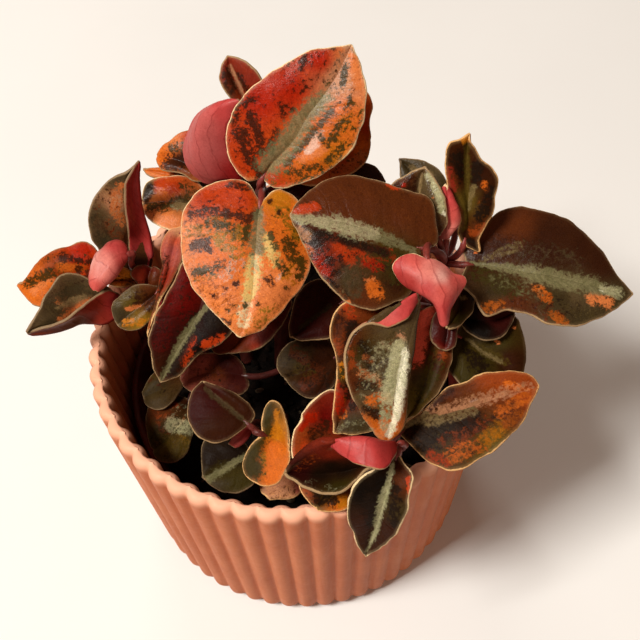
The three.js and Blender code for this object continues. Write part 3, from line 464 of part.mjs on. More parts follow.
// ---------------------------------------------------------------- cover pot
// The profile runs from the middle of the underside over the foot, up the wall,
// over the rounded rim, down inside and to the middle of the floor. The last
// number says how much of the fluting each point takes: outside as grooves,
// inside as bulges that face them.
const potProfile = [
  [0, 0, 0], [POT_FOOT_R, 0, 0.35], [POT_BASE_R - 0.8, 1.6, 0.8], [POT_BASE_R, 4.6, 1],
  [POT_RIM_R - 0.1, POT_HEIGHT - 2.2, 1], [POT_RIM_R - 0.8, POT_HEIGHT - 0.5, 1], [POT_RIM_R - 2.1, POT_HEIGHT, 0.9],
  [POT_INNER_RIM_R + 0.9, POT_HEIGHT - 0.4, -0.9], [POT_INNER_RIM_R, POT_HEIGHT - 1.8, -1],
  [POT_INNER_BASE_R, POT_FLOOR_Z + 3, -1], [POT_INNER_BASE_R - 2.4, POT_FLOOR_Z, -0.3], [0, POT_FLOOR_Z, 0],
];
const potGeometry = turned(potProfile, FLUTES * STEPS_PER_FLUTE);
{
  const p = potGeometry.attributes.position;
  const rows = potProfile.length;
  for (let i = 0; i < p.count; i++) {
    const share = potProfile[i % rows][2];
    const column = Math.floor(i / rows);
    const r = potProfile[i % rows][0];
    const angle = FLUTE_PHASE + (column / (FLUTES * STEPS_PER_FLUTE)) * Math.PI * 2;
    // 0 on a groove line, 0.5 on the crest of a lobe, sampled unevenly
    const phase = [0, 0.22, 0.5, 0.78][column % STEPS_PER_FLUTE];
    const shift = (phase - (column % STEPS_PER_FLUTE) / STEPS_PER_FLUTE) * ((Math.PI * 2) / FLUTES);
    const off = Math.abs(phase - 0.5) * 2; // 1 on the groove, 0 on the crest
    let radius = r;
    if (share > 0) radius = r - share * FLUTE_DEPTH * Math.pow(off, 2.2);
    if (share < 0) radius = r - share * FLUTE_DEPTH * Math.pow(1 - off, 2.2);
    const a = angle + (r > 0 ? shift : 0);
    p.setX(i, radius * Math.sin(a));
    p.setY(i, -radius * Math.cos(a));
  }
}
addPart("cover_pot", toGeometry(toSolid(orient(potGeometry))), "#d8906a", 0.5);

// Turns a closed surface's faces outwards.
function orient(geometry) {
  const g = weld(geometry);
  const p = g.attributes.position;
  const ix = g.index;
  let volume = 0;
  const a = new THREE.Vector3(), b = new THREE.Vector3(), c = new THREE.Vector3();
  for (let i = 0; i < ix.count; i += 3) {
    a.fromBufferAttribute(p, ix.getX(i));
    b.fromBufferAttribute(p, ix.getX(i + 1));
    c.fromBufferAttribute(p, ix.getX(i + 2));
    volume += a.dot(b.cross(c));
  }
  if (volume < 0) {
    const flipped = [];
    for (let i = 0; i < ix.count; i += 3) flipped.push(ix.getX(i), ix.getX(i + 2), ix.getX(i + 1));
    g.setIndex(flipped);
  }
  return g;
}

// ---------------------------------------------------------------- growing pot
const linerIn = (z) => LINER_BASE_R + (43.4 - LINER_BASE_R) * ((z - LINER_BASE_Z) / (LINER_RIM_Z - 4 - LINER_BASE_Z));
const linerProfile = [
  [0, LINER_BASE_Z], [LINER_BASE_R - 0.6, LINER_BASE_Z], [linerIn(LINER_BASE_Z + 1), LINER_BASE_Z + 1],
  [linerIn(LINER_RIM_Z - 4), LINER_RIM_Z - 4], [LINER_RIM_R - 0.1, LINER_RIM_Z - 3.6], [LINER_RIM_R, LINER_RIM_Z - 0.5],
  [LINER_RIM_R - 0.6, LINER_RIM_Z], [LINER_RIM_R - 1.3, LINER_RIM_Z], [linerIn(LINER_RIM_Z - 4) - LINER_WALL + 0.3, LINER_RIM_Z - 3],
  [linerIn(LINER_RIM_Z - 5) - LINER_WALL, LINER_RIM_Z - 5], [linerIn(LINER_BASE_Z + 1.4) - LINER_WALL, LINER_BASE_Z + 1.4], [0, LINER_BASE_Z + 1.4],
];
let liner = toSolid(orient(turned(linerProfile, 48)));
for (let i = 0; i < LINER_HOLES; i++) {
  const a = ((i + 0.5) / LINER_HOLES) * Math.PI * 2;
  const hole = new THREE.CylinderGeometry(LINER_HOLE_R, LINER_HOLE_R, 6, 12);
  hole.rotateX(Math.PI / 2);
  hole.translate(24 * Math.cos(a), 24 * Math.sin(a), LINER_BASE_Z + 0.5);
  liner = liner.subtract(toSolid(orient(hole)));
}
addPart("growing_pot", toGeometry(liner), "#5c1f18", 0.5);

// ---------------------------------------------------------------- potting mix
const soilR = (z) => linerIn(z) - LINER_WALL - GAP - 0.15;
const soilProfile = [
  [0, LINER_BASE_Z + 1.4 + GAP], [soilR(LINER_BASE_Z + 2), LINER_BASE_Z + 1.4 + GAP],
  [soilR(SOIL_RIM_Z - 5), SOIL_RIM_Z - 5], [soilR(SOIL_RIM_Z - 1) , SOIL_RIM_Z - 1], [soilR(SOIL_RIM_Z - 1) - 1.4, SOIL_RIM_Z],
  [26, SOIL_TOP_Z - 0.3], [0, SOIL_TOP_Z],
];
addPart("potting_mix", toGeometry(toSolid(orient(turned(soilProfile, 40)))), "#2c1b14", 0.95);

// ---------------------------------------------------------------- leaf blades
const railCurve = (flat) => {
  const points = [];
  for (let i = 0; i < flat.length; i += 3) points.push(new THREE.Vector3(flat[i], flat[i + 1], flat[i + 2]));
  return new THREE.CatmullRomCurve3(points, false, "catmullrom", 0.5);
};

// Points of the blade's middle surface: rows along the blade, columns across it.
function bladeGrid(leaf) {
  const curves = leaf.rails.map(railCurve);
  const rib = curves[leaf.rib];
  const rows = [];
  for (let j = 0; j < leaf.along; j++) {
    const t = j / (leaf.along - 1);
    const cross = new THREE.CatmullRomCurve3(curves.map((c) => c.getPoint(t)), false, "catmullrom", 0.5);
    const row = [];
    for (let i = 0; i < leaf.across; i++) row.push(cross.getPoint(i / (leaf.across - 1)));
    rows.push(row);
  }
  // the blade narrows to its stalk and to its tip, but never to a bare point
  for (const [j, near, width] of [[0, 1, LEAF_BASE_WIDTH], [leaf.along - 1, leaf.along - 2, LEAF_TIP_WIDTH]]) {
    const across = rows[near][leaf.across - 1].clone().sub(rows[near][0]).normalize();
    const centre = rib.getPoint(j === 0 ? 0 : 1);
    for (let i = 0; i < leaf.across; i++)
      rows[j][i] = centre.clone().addScaledVector(across, width * (i / (leaf.across - 1) - 0.5));
  }
  return rows;
}

// Unit normals of the grid, on the blade's upper side.
function gridNormals(rows) {
  const n = rows.length, m = rows[0].length;
  return rows.map((row, j) => row.map((_, i) => {
    const across = rows[j][Math.min(m - 1, i + 1)].clone().sub(rows[j][Math.max(0, i - 1)]);
    const along = rows[Math.min(n - 1, j + 1)][i].clone().sub(rows[Math.max(0, j - 1)][i]);
    return across.cross(along).normalize();
  }));
}

// The closed solid of a blade: its middle surface moved up and down, with a rim
// all round. "share" is how much of the thickness lies on the upper side: half,
// or none where the blade is folded shut on its upper side.
function bladeSolid(leaf) {
  const rows = bladeGrid(leaf);
  const n = rows.length, m = rows[0].length;
  let normals = gridNormals(rows);
  for (let j = 1; j < n - 1; j++) for (let i = 1; i < m - 1; i++) {
    const u = i / (m - 1), bow = Math.sin(u * Math.PI * 2) ** 2;
    rows[j][i].addScaledVector(normals[j][i], leaf.cup * bow * Math.sin((j / (n - 1)) * Math.PI));
  }
  normals = gridNormals(rows);
  return stripSolid(rows, normals, 0, m - 1, leaf.share ?? 0.5);
}

// A blade that is folded nearly shut along its midrib: the rails lie on its
// underside, and the upper side is set in from each half, mitred along the fold.
function foldedSolid(leaf) {
  const curves = leaf.rails.map(railCurve);
  const n = leaf.along;
  const rows = [];
  for (let j = 0; j < n; j++) {
    const t = 0.015 + (0.95 * j) / (n - 1);
    const [a, keel, b] = curves.map((c) => c.getPoint(t));
    rows.push([a, a.clone().lerp(keel, 0.5), keel, keel.clone().lerp(b, 0.5), b]);
  }
  const along = rows.map((_, j) => rows[Math.min(n - 1, j + 1)][2].clone().sub(rows[Math.max(0, j - 1)][2]).normalize());
  const pos = [];
  for (const row of rows) for (const q of row) pos.push(q.x, q.y, q.z);
  rows.forEach(([a, , keel, , b], j) => {
    const ha = a.clone().sub(keel), hb = b.clone().sub(keel);
    const na = ha.clone().cross(along[j]).normalize(), nb = hb.clone().cross(along[j]).normalize();
    if (na.dot(hb) < 0) na.negate();
    if (nb.dot(ha) < 0) nb.negate();
    const opening = Math.min(Math.abs(na.dot(hb)), Math.abs(nb.dot(ha)));
    const t = Math.min(LEAF_THICKNESS, 0.38 * opening);
    const mid = na.clone().add(nb).normalize();
    const depth = Math.min(t / Math.max(mid.dot(na), 0.05), 0.7 * Math.min(ha.length(), hb.length()));
    const inner = [
      a.clone().addScaledVector(na, t), null, keel.clone().addScaledVector(mid, depth), null,
      b.clone().addScaledVector(nb, t)];
    inner[1] = inner[0].clone().lerp(inner[2], 0.5);
    inner[3] = inner[4].clone().lerp(inner[2], 0.5);
    for (const q of inner) pos.push(q.x, q.y, q.z);
  });
  return sheetsSolid(pos, n, 5);
}

// The closed solid over columns from..to of a grid.
function stripSolid(rows, normals, from, to, share) {
  const n = rows.length, m = to - from + 1;
  const pos = [];
  for (const side of [share, share - 1]) for (let j = 0; j < n; j++) for (let i = from; i <= to; i++) {
    const q = rows[j][i].clone().addScaledVector(normals[j][i], side * LEAF_THICKNESS);
    pos.push(q.x, q.y, q.z);
  }
  return sheetsSolid(pos, n, m);
}

// Two sheets of n x m points, one after the other, joined by a rim.
function sheetsSolid(pos, n, m) {
  const id = (s, j, i) => s * n * m + j * m + i;
  const index = [];
  const quad = (a, b, c, d) => index.push(a, b, c, a, c, d);
  for (let j = 0; j < n - 1; j++) for (let i = 0; i < m - 1; i++) {
    quad(id(0, j, i), id(0, j, i + 1), id(0, j + 1, i + 1), id(0, j + 1, i));
    quad(id(1, j, i), id(1, j + 1, i), id(1, j + 1, i + 1), id(1, j, i + 1));
  }
  for (let j = 0; j < n - 1; j++) {
    quad(id(0, j, 0), id(0, j + 1, 0), id(1, j + 1, 0), id(1, j, 0));
    quad(id(0, j, m - 1), id(1, j, m - 1), id(1, j + 1, m - 1), id(0, j + 1, m - 1));
  }
  for (let i = 0; i < m - 1; i++) {
    quad(id(0, 0, i), id(1, 0, i), id(1, 0, i + 1), id(0, 0, i + 1));
    quad(id(0, n - 1, i), id(0, n - 1, i + 1), id(1, n - 1, i + 1), id(1, n - 1, i));
  }
  const g = new THREE.BufferGeometry();
  g.setAttribute("position", new THREE.BufferAttribute(new Float32Array(pos), 3));
  g.setIndex(index);
  return toSolid(orient(g));
}

for (const [name, leaf] of Object.entries(LEAVES))
  addPart(name, toGeometry(leaf.folded ? foldedSolid(leaf) : bladeSolid(leaf)), leaf.colour, 0.35);

// ---------------------------------------------------------------- stems and stalks
for (const [name, branches] of Object.entries(STEMS)) {
  const lines = branches.map((b) => new THREE.CatmullRomCurve3(b.line.map(V), false, "catmullrom", 0.5));
  let solid = null;
  branches.forEach((b, i) => {
    const piece = toSolid(orient(bar(lines[i], b.r, 8, 7)));
    solid = solid ? solid.add(piece) : piece;
  });
  for (const leaf of Object.values(LEAVES)) {
    if (leaf.stem !== name) continue;
    const rib = railCurve(leaf.rails[leaf.rib]);
    const base = rib.getPoint(0);
    const out = leaf.turned ? V(leaf.via[0]).sub(base).normalize() : rib.getTangent(0.02).negate();
    const start = base.clone().addScaledVector(out, STALK_GAP);
    const root = lines[leaf.branch].getPoint(leaf.at);
    const reach = start.distanceTo(root);
    const path = leaf.via
      ? new THREE.CatmullRomCurve3([start, start.clone().addScaledVector(out, 0.6), ...leaf.via.map(V), root], false, "catmullrom", 0.5)
      : new THREE.QuadraticBezierCurve3(start, start.clone().addScaledVector(out, 0.3 * reach), root);
    solid = solid.add(toSolid(orient(bar(path, STALK_R, 6, 4))));
  }
  addPart(name, toGeometry(solid), "#9c4444", 0.45);
}

export default group;
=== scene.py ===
import math

import bpy
import numpy as np
from mathutils import Matrix, Vector


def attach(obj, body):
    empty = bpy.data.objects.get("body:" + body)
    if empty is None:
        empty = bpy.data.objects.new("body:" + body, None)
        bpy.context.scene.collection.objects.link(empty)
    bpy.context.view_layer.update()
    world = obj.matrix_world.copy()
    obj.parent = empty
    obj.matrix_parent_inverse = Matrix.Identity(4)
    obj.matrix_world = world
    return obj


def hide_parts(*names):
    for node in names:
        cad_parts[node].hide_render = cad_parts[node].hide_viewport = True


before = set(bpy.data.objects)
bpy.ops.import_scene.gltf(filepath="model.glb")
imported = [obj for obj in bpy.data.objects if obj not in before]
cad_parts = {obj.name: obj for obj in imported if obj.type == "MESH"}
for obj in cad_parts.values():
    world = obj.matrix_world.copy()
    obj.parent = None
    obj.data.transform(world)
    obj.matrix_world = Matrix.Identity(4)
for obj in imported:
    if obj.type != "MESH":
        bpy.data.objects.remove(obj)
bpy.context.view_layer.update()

# A small potted foliage plant. Lengths in the tables are millimetres in the
# part's own frame; MM turns them into metres.
MM = 0.001
RNG = np.random.default_rng(11)

# ------------------------------------------------------------------ tables
# Tones are sRGB, 0 to 255.
TONES = {
    "R": (170, 32, 5),
    "OR": (180, 56, 14),
    "O": (212, 104, 30),
    "S": (224, 126, 68),
    "G": (190, 112, 18),
    "Y": (134, 98, 20),
    "OL": (56, 46, 14),
    "DB": (50, 21, 7),
    "BR": (84, 38, 14),
    "MA": (52, 14, 12),
    "GR": (82, 66, 44),
    "BK": (30, 18, 10),
    "SV": (132, 125, 90),
    # silver grey of the bands; on some blades also laid as painted highlight
    "SG": (182, 177, 140),
    # pale pink, laid on blades as painted highlight
    "PW": (238, 190, 170),
    # cream; on some blades laid as painted highlight
    "PL": (240, 220, 176),
    "TP": (200, 140, 105),
    "TG": (128, 108, 70),
    "PK": (190, 66, 64),
    "PD": (150, 28, 26),
    "DR": (96, 10, 6),
    "RD": (134, 40, 24),
    "PP": (206, 84, 84),
    "GB": (60, 48, 28),
    "MG": (140, 116, 80),
    "BO": (142, 60, 20),
    "OM": (88, 70, 24),
    "CR": (245, 222, 175),
    "PB": (164, 76, 70),
    "SL": (178, 168, 134),
    "RB": (176, 60, 42),
    "PI": (204, 84, 76),
    "PJ": (222, 126, 114),
    # near white, laid on blades as painted highlight
    "WH": (252, 248, 222),
    "PR": (160, 46, 42),
    # pale pink, laid on rolled blades as painted highlight
    "PA": (226, 162, 150),
    "YL": (230, 200, 124),
    "DK": (16, 9, 5),
    # a red brightened beyond the leaf's own as painted light, for a patch that lies in shade
    "RX": (240, 92, 70),
    "BD": (96, 42, 18),
    "YG": (150, 116, 34),
    "DO": (170, 84, 22),
    # a lighter pink, partly the underside's own colour and partly painted sheen
    "PX": (194, 92, 88),
}

STEMS = {
    "stem_top": [
        {"r": 1.9, "line": [[-4, 6, 51.9], [-3, 13, 68], [-5, 19, 88], [-5.5, 19.5, 100], [-4.8, 17, 107]]},
    ],
    "stem_back_left": [
        {"r": 1.7, "line": [[-14, 8, 51.9], [-16, 14, 66], [-18, 22, 79], [-18, 27, 86], [-18, 29.5, 90]]},
        {"r": 1.4, "line": [[-16, 14, 66], [-18, 12.5, 76], [-20.5, 10.5, 85], [-21, 9, 90]]},
    ],
    "stem_left": [
        {"r": 1.7, "line": [[-22, 2, 51.9], [-27, 5, 64], [-33, 8, 74], [-35.5, 8.5, 79.5]]},
    ],
    "stem_right": [
        {"r": 2.0, "line": [[18, 2, 51.9], [24, 3, 66], [31, 3, 82], [36, 2, 91], [37, 1.5, 95.5]]},
        {"r": 1.6, "line": [[24, 3, 66], [29, -4, 77], [33, -8.5, 87], [34.6, -10.2, 91.4]]},
    ],
    "stem_centre": [
        {"r": 1.5, "line": [[3, -4, 51.9], [5, -3, 64], [7, -1.5, 75], [8, -1, 81]]},
    ],
    "stem_front_right": [
        {"r": 1.7, "line": [[12, -18, 51.9], [15, -27, 60], [18.5, -35, 69], [20, -38.5, 75.5]]},
    ],
    "stem_front_left": [
        {"r": 1.3, "line": [[-4, -14, 51.9], [-4.5, -20, 58], [-5.5, -25.5, 66], [-6.5, -27.5, 70]]},
    ],
}

# One entry per blade. "rails" are lines from the stalk to the tip, margin to
# margin, "rib" the number of the rail that is the midrib. "base" and "under"
# place tones on the two sides. A mark is: layer, tone, radius, strength, and
# the points of the line that it follows on the blade.
LEAVES = {
    "leaf_top_tall": {
        "slot": "leaf_red_orange",
        "rib": 1,
        "cup": 0.6,
        "folded": False,
        "puff": 0,
        "open": [],
        "crosswise": False,
        "rim": [244, 214, 165],
        "mottle": 0.8,
        "gleam": 0.75,
        "slant": 0.85,
        "stem": "stem_top",
        "branch": 0,
        "at": 1.0,
        "via": [],
        "turned": False,
        "rails": [
            [-4.6, 15.4, 112.8, -7.9, 14.6, 113.1, -11.1, 17.3, 116.5, -12.0, 20.5, 120.8, -10.1, 23.3, 125.1, -6.8, 25.5, 128.8, -2.5, 27.0, 131.7, 2.2, 28.2, 134.0, 6.8, 29.5, 136.1, 12.1, 30.0, 136.7, 17.4, 30.6, 136.7],
            [-4.1, 15.4, 113.0, -1.8, 16.6, 115.9, 0.9, 17.4, 118.5, 3.4, 18.5, 121.0, 5.4, 20.0, 123.6, 7.5, 21.5, 126.1, 9.8, 22.9, 128.3, 12.0, 24.5, 130.5, 14.0, 26.3, 132.6, 15.7, 28.3, 134.7, 17.4, 30.6, 136.7],
            [-3.9, 14.9, 112.5, -1.2, 12.6, 111.8, 3.8, 12.1, 113.5, 8.6, 12.2, 115.4, 12.9, 13.0, 117.8, 16.4, 14.6, 120.8, 18.4, 17.2, 124.3, 19.7, 20.2, 127.8, 19.9, 23.5, 131.1, 19.0, 27.0, 134.1, 17.4, 30.6, 136.7],
        ],
        "base": [
            ["R", 3.4, 25.1, 130.0],
            ["R", -3.0, 24.4, 127.9],
            ["OR", -8.8, 21.1, 122.3],
            ["OR", -8.1, 16.7, 116.1],
            ["O", 13.9, 19.3, 125.3],
            ["O", 7.1, 15.0, 118.1],
            ["G", 12.3, 13.1, 117.8],
            ["TP", 14.0, 25.4, 131.7],
            ["S", 17.3, 28.0, 134.6],
            ["OR", -2.5, 13.4, 111.9],
            ["R", 10.2, 28.3, 134.8],
            ["O", 10.7, 12.5, 116.5],
        ],
        "under": [
            ["PK", 5.6, 23.4, 128.1],
        ],
        "marks": [
            [1, "TP", 2.31, 2.31, 0.5, 10.2, 22.2, 127.5, 13.5, 24.9, 131.1, 16.9, 29.5, 135.7],
            # painted highlight
            [1, "PW", 1.79, 1.79, 1, 7.1, 16.1, 119.3, 9.2, 18.1, 122.4],
            [1, "S", 1.28, 1.28, 1, 5.8, 15.5, 118.1, 10.6, 15.8, 120.3],
            [1, "Y", 3.33, 3.33, -0.02, 1.4, 13.3, 113.8, 9.5, 13.1, 116.7, 15.8, 16.0, 122.2, 17.9, 19.0, 126.1],
            [1, "G", 2.05, 2.05, 0.2, 11.5, 15.5, 120.2, 16.0, 19.2, 125.8],
            [1, "S", 1.28, 1.28, 0.9, 17.2, 28.5, 135.0, 18.5, 23.6, 130.9],
            [1, "O", 1.79, 1.79, 0.5, 10.0, 20.3, 125.3, 15.2, 20.8, 127.3],
            [1, "S", 1.54, 1.54, 0.7, -7.9, 14.6, 113.1, -6.5, 14.7, 112.8],
            # painted highlight
            [1, "PW", 0.77, 0.77, 0.8, 10.2, 22.9, 128.4, 12.4, 22.6, 128.5],
            [2, "DB", 1.79, 1.79, 0.55, -5.5, 22.6, 125.0, -4.4, 20.3, 121.9, -3.9, 18.0, 118.6],
            [2, "DB", 1.79, 1.79, 0.45, -7.9, 20.6, 121.7, -6.6, 17.3, 117.0],
            [2, "DB", 1.28, 1.28, 0.3, -9.3, 22.9, 124.7, -9.2, 20.3, 121.1],
            [2, "DB", 1.28, 1.28, 0.55, -5.5, 16.4, 115.8, -4.4, 15.4, 112.9],
            [2, "DB", 1.28, 1.28, 0.4, -2.1, 18.0, 118.9, -0.2, 20.1, 122.4],
            [2, "DB", 9.23, 9.23, -0.34, -3.0, 24.4, 127.9, 10.7, 28.1, 134.5],
            [2, "DB", 0.82, 0.82, 0.7, 7.0, 28.9, 135.3, 6.2, 27.4, 133.4],
            [2, "DB", 0.62, 0.62, 0.6, 3.3, 28.1, 134.0],
            [2, "DB", 0.56, 0.56, 0.5, -1.3, 25.7, 130.1],
            [2, "DB", 0.72, 0.72, 0.5, 2.1, 23.2, 127.2, 3.7, 22.4, 126.4],
            [2, "DB", 0.67, 0.67, 0.5, 10.3, 28.7, 135.2],
            [2, "DB", 0.77, 0.77, 0.4, 13.3, 29.8, 136.4],
            [2, "OL", 1.03, 1.03, 0.7, 15.7, 27.0, 133.5, 15.0, 24.5, 131.0],
            [2, "OL", 0.87, 0.87, 0.6, 16.4, 22.0, 128.8, 16.0, 20.3, 126.9],
            [2, "OL", 1.28, 1.28, 0.6, 13.6, 18.5, 124.3, 12.1, 16.9, 122.1],
            [2, "OL", 1.79, 1.79, 0.15, 3.4, 13.5, 114.9, 10.3, 13.0, 116.9],
            [2, "OL", 2.05, 2.05, 0.05, 14.5, 15.9, 121.7, 17.1, 19.0, 125.9],
            [2, "OL", 1.08, 1.08, 0.6, 1.7, 15.6, 116.5, 5.2, 17.1, 119.7, 9.0, 19.2, 123.7, 12.4, 20.8, 126.6],
            [2, "OL", 1.03, 1.03, 0.5, 9.0, 18.7, 123.1, 10.9, 16.3, 120.9],
            [2, "DB", 5.64, 5.64, -0.22, -7.1, 19.8, 120.7, -4.3, 15.5, 113.3],
            [2, "OL", 3.08, 3.08, -0.05, 13.2, 23.0, 129.1, 16.4, 17.3, 123.8],
            [2, "DB", 3.08, 3.08, -0.12, 5.6, 26.5, 132.1, 12.3, 28.2, 134.6],
            [2, "DB", 0.67, 0.67, 0.5, 5.5, 24.4, 129.4, 6.8, 25.0, 130.4],
            [2, "DB", 0.67, 0.67, 0.5, 9.7, 26.1, 132.1],
            [2, "DB", 1.03, 1.03, 0.6, 1.1, 23.4, 127.3, 1.7, 21.9, 125.4],
            [2, "DB", 0.77, 0.77, 0.6, 4.0, 25.9, 131.2],
            [2, "DB", 1.28, 1.28, 0.35, -8.1, 24.3, 126.9, -5.1, 24.5, 127.7],
            [2, "OL", 1.28, 1.28, 0.35, 4.6, 13.7, 115.7, 8.5, 13.7, 117.1],
            [2, "OL", 1.28, 1.28, 0.3, 11.4, 14.1, 118.6, 13.9, 15.1, 120.6],
            [3, "SV", 3.85, 2.82, 0.75, -2.2, 16.7, 115.9, 1.3, 17.9, 119.4, 4.3, 19.9, 123.2, 8.1, 22.1, 127.0, 10.2, 22.9, 128.4],
            [3, "SG", 1.03, 1.03, 0.3, -0.9, 16.8, 116.7, 5.0, 20.0, 123.4],
            [3, "TG", 1.79, 1.79, 0.25, 7.6, 20.9, 125.4, 11.8, 22.5, 128.3],
        ],
    },
    "leaf_heart_centre": {
        "slot": "leaf_red_orange",
        "rib": 1,
        "cup": 0.6,
        "folded": False,
        "puff": 0,
        "open": [],
        "crosswise": False,
        "rim": [244, 214, 165],
        "mottle": 1,
        "gleam": 0.6,
        "slant": 0.85,
        "stem": "stem_top",
        "branch": 0,
        "at": 1.0,
        "via": [],
        "turned": False,
        "rails": [
            [-4.4, 8.6, 112.3, -0.9, 11.2, 113.0, 3.3, 9.1, 111.7, 4.5, 4.9, 109.3, 5.1, 0.6, 106.9, 5.9, -3.7, 104.5, 4.0, -7.7, 102.3, 0.8, -11.0, 100.5, -2.5, -14.1, 98.8, -6.4, -16.7, 97.4, -11.0, -18.1, 97.3],
            [-4.9, 8.0, 112.0, -5.5, 4.9, 111.1, -5.9, 1.8, 110.0, -6.1, -1.1, 108.8, -6.6, -3.9, 107.5, -6.9, -6.6, 106.0, -7.2, -9.2, 104.5, -7.7, -11.6, 102.8, -8.6, -13.9, 101.0, -9.7, -16.1, 99.2, -11.0, -18.1, 97.3],
            [-5.1, 8.7, 112.3, -8.0, 12.7, 114.6, -13.4, 13.1, 114.8, -18.6, 11.3, 113.8, -21.9, 7.5, 111.7, -22.9, 2.6, 109.1, -22.9, -2.3, 106.3, -21.3, -7.0, 103.7, -18.2, -10.9, 101.4, -14.6, -14.5, 99.3, -11.0, -18.1, 97.3],
        ],
        "base": [
            ["OR", -12.7, 10.3, 113.6],
            ["OR", -17.0, 9.3, 113.0],
            ["S", -21.8, 1.6, 108.7],
            ["O", -17.9, -5.0, 105.6],
            ["S", -12.5, -13.4, 100.8],
            ["O", 1.6, 5.8, 110.6],
            ["G", -1.4, 9.5, 112.4],
            ["S", 0.8, -8.2, 103.1],
            ["S", -10.3, -16.9, 98.4],
            ["O", 0.5, -1.7, 107.1],
            ["O", -14.1, -4.0, 106.9],
            ["S", -18.0, -8.9, 103.0],
            ["OR", -8.5, 8.4, 112.9],
            ["S", -3.7, -11.6, 102.0],
            ["O", -15.4, -0.2, 108.7],
        ],
        "under": [
            ["PK", -10.0, -3.9, 107.4],
        ],
        "marks": [
            [1, "G", 2.05, 2.05, 0.5, -3.1, 9.2, 112.4, 0.7, 8.1, 111.7],
            [1, "Y", 2.31, 2.31, 0.35, -15.0, 4.4, 110.9, -9.6, 1.0, 109.8],
            [1, "Y", 2.05, 2.05, 0.25, -20.5, 3.0, 109.6, -17.5, 2.1, 109.6],
            [1, "YL", 1.79, 1.79, 0.55, -3.7, -0.2, 108.9, -2.1, -4.5, 106.4],
            [1, "YL", 2.05, 2.05, 0.5, -6.4, -4.5, 107.2, -8.2, -11.0, 103.2],
            [1, "PL", 1.79, 1.79, 0.3, -8.1, -10.3, 103.7, -9.6, -15.4, 99.8],
            [1, "Y", 2.05, 2.05, 0.35, -0.1, 6.3, 111.1, 2.6, 1.5, 108.1],
            [1, "G", 2.31, 2.31, 0.3, 2.5, -4.0, 105.3, 0.2, -7.6, 103.8],
            [1, "S", 2.31, 2.31, 0.5, -5.4, -11.7, 102.5, -0.5, -9.0, 103.1],
            [1, "S", 2.05, 2.05, 0.5, -21.4, -0.8, 107.4, -20.9, -4.8, 105.2],
            # the two pale pink marks below are painted sheen
            [1, "PW", 1.54, 1.54, 0.12, -13.0, -6.9, 105.3, -10.1, -4.3, 107.2],
            [1, "PW", 1.54, 1.54, 0.25, -2.3, -10.1, 102.9, -0.2, -7.0, 104.5],
            [1, "Y", 1.79, 1.79, 0.2, -19.3, -5.5, 105.0, -16.3, -5.8, 105.4],
            [1, "Y", 2.05, 2.05, 0.15, -3.8, -12.6, 101.0, -5.8, -15.2, 99.0],
            [1, "G", 2.56, 2.56, -0.0, -14.0, -14.7, 99.3, -10.6, -16.8, 98.5],
            [1, "YG", 2.05, 2.05, 0.25, -14.0, 0.5, 109.2, -10.4, -2.7, 108.0],
            [1, "YG", 1.79, 1.79, 0.25, 1.6, -5.4, 104.8, -0.7, -9.4, 102.8],
            [1, "YG", 1.54, 1.54, 0.2, -5.4, -11.0, 103.0, -4.7, -14.1, 99.8],
            [1, "DO", 2.31, 2.31, 0.15, -17.7, -7.7, 103.9, -14.4, -11.0, 102.3],
            [1, "DO", 2.05, 2.05, 0.2, -21.6, 3.7, 109.8, -18.8, 2.4, 109.5],
            [2, "DB", 1.41, 1.41, 0.5, -20.1, 6.6, 111.5, -15.3, 6.4, 111.8, -9.6, 4.9, 111.4],
            [2, "OL", 1.28, 1.28, 0.35, -16.2, 3.9, 110.6, -11.3, 2.7, 110.5],
            [2, "DB", 1.79, 1.79, 1, -19.6, 0.2, 108.3, -17.3, -0.1, 108.5],
            [2, "DB", 1.03, 1.03, 0.7, -16.2, -1.5, 107.9],
            [2, "DB", 1.28, 1.28, 0.8, -8.2, 3.6, 110.9, -5.6, 5.9, 111.4],
            [2, "DB", 1.03, 1.03, 0.4, -11.1, 11.7, 114.2, -7.7, 11.2, 114.0],
            [2, "OL", 1.13, 1.13, 0.7, -7.9, 2.6, 110.4, -8.4, -0.0, 109.3],
            [2, "OL", 1.03, 1.03, 0.5, -2.7, 0.8, 109.2, -1.8, -2.1, 107.6],
            [2, "OL", 2.05, 2.05, 0.6, 0.8, -0.9, 107.4, 1.6, -3.3, 106.0],
            [2, "OL", 1.54, 1.54, 0.45, 3.4, -3.7, 105.2, 2.8, -6.4, 103.7],
            [2, "OL", 1.13, 1.13, 0.6, -19.9, -5.2, 105.1, -17.4, -5.3, 105.5],
            [2, "DB", 0.92, 0.92, 0.8, -13.2, -9.4, 103.7],
            [2, "DB", 0.87, 0.87, 0.7, -10.9, -8.7, 104.6],
            [2, "OL", 0.87, 0.87, 0.7, -11.5, -12.3, 101.9],
            [2, "DB", 1.08, 1.08, 1, -3.7, -8.1, 104.7, -3.1, -8.8, 104.1],
            [2, "OL", 0.82, 0.82, 0.7, -0.5, -9.0, 103.1],
            [2, "DB", 0.87, 0.87, 0.7, -0.7, 5.6, 110.9],
            [2, "DB", 0.77, 0.77, 0.5, -2.7, 8.2, 112.0],
            [2, "OL", 0.77, 0.77, 0.5, -6.4, -12.4, 102.1],
            [2, "OL", 0.77, 0.77, 0.5, -13.0, -12.9, 101.1],
            [2, "OL", 0.77, 0.77, 0.4, -9.3, -12.6, 102.0],
            [2, "OL", 7.69, 7.69, -0.34, -15.7, -8.5, 103.8, -1.4, -9.6, 103.0],
            [2, "OL", 4.1, 4.1, -0.2, 0.2, 1.9, 109.0, 3.4, -3.7, 105.2],
            [2, "DB", 3.08, 3.08, -0.2, -18.4, 6.9, 111.8, -9.3, 5.2, 111.6],
            [2, "OL", 3.08, 3.08, -0.15, -11.8, -4.3, 107.0, -8.4, -0.0, 109.3],
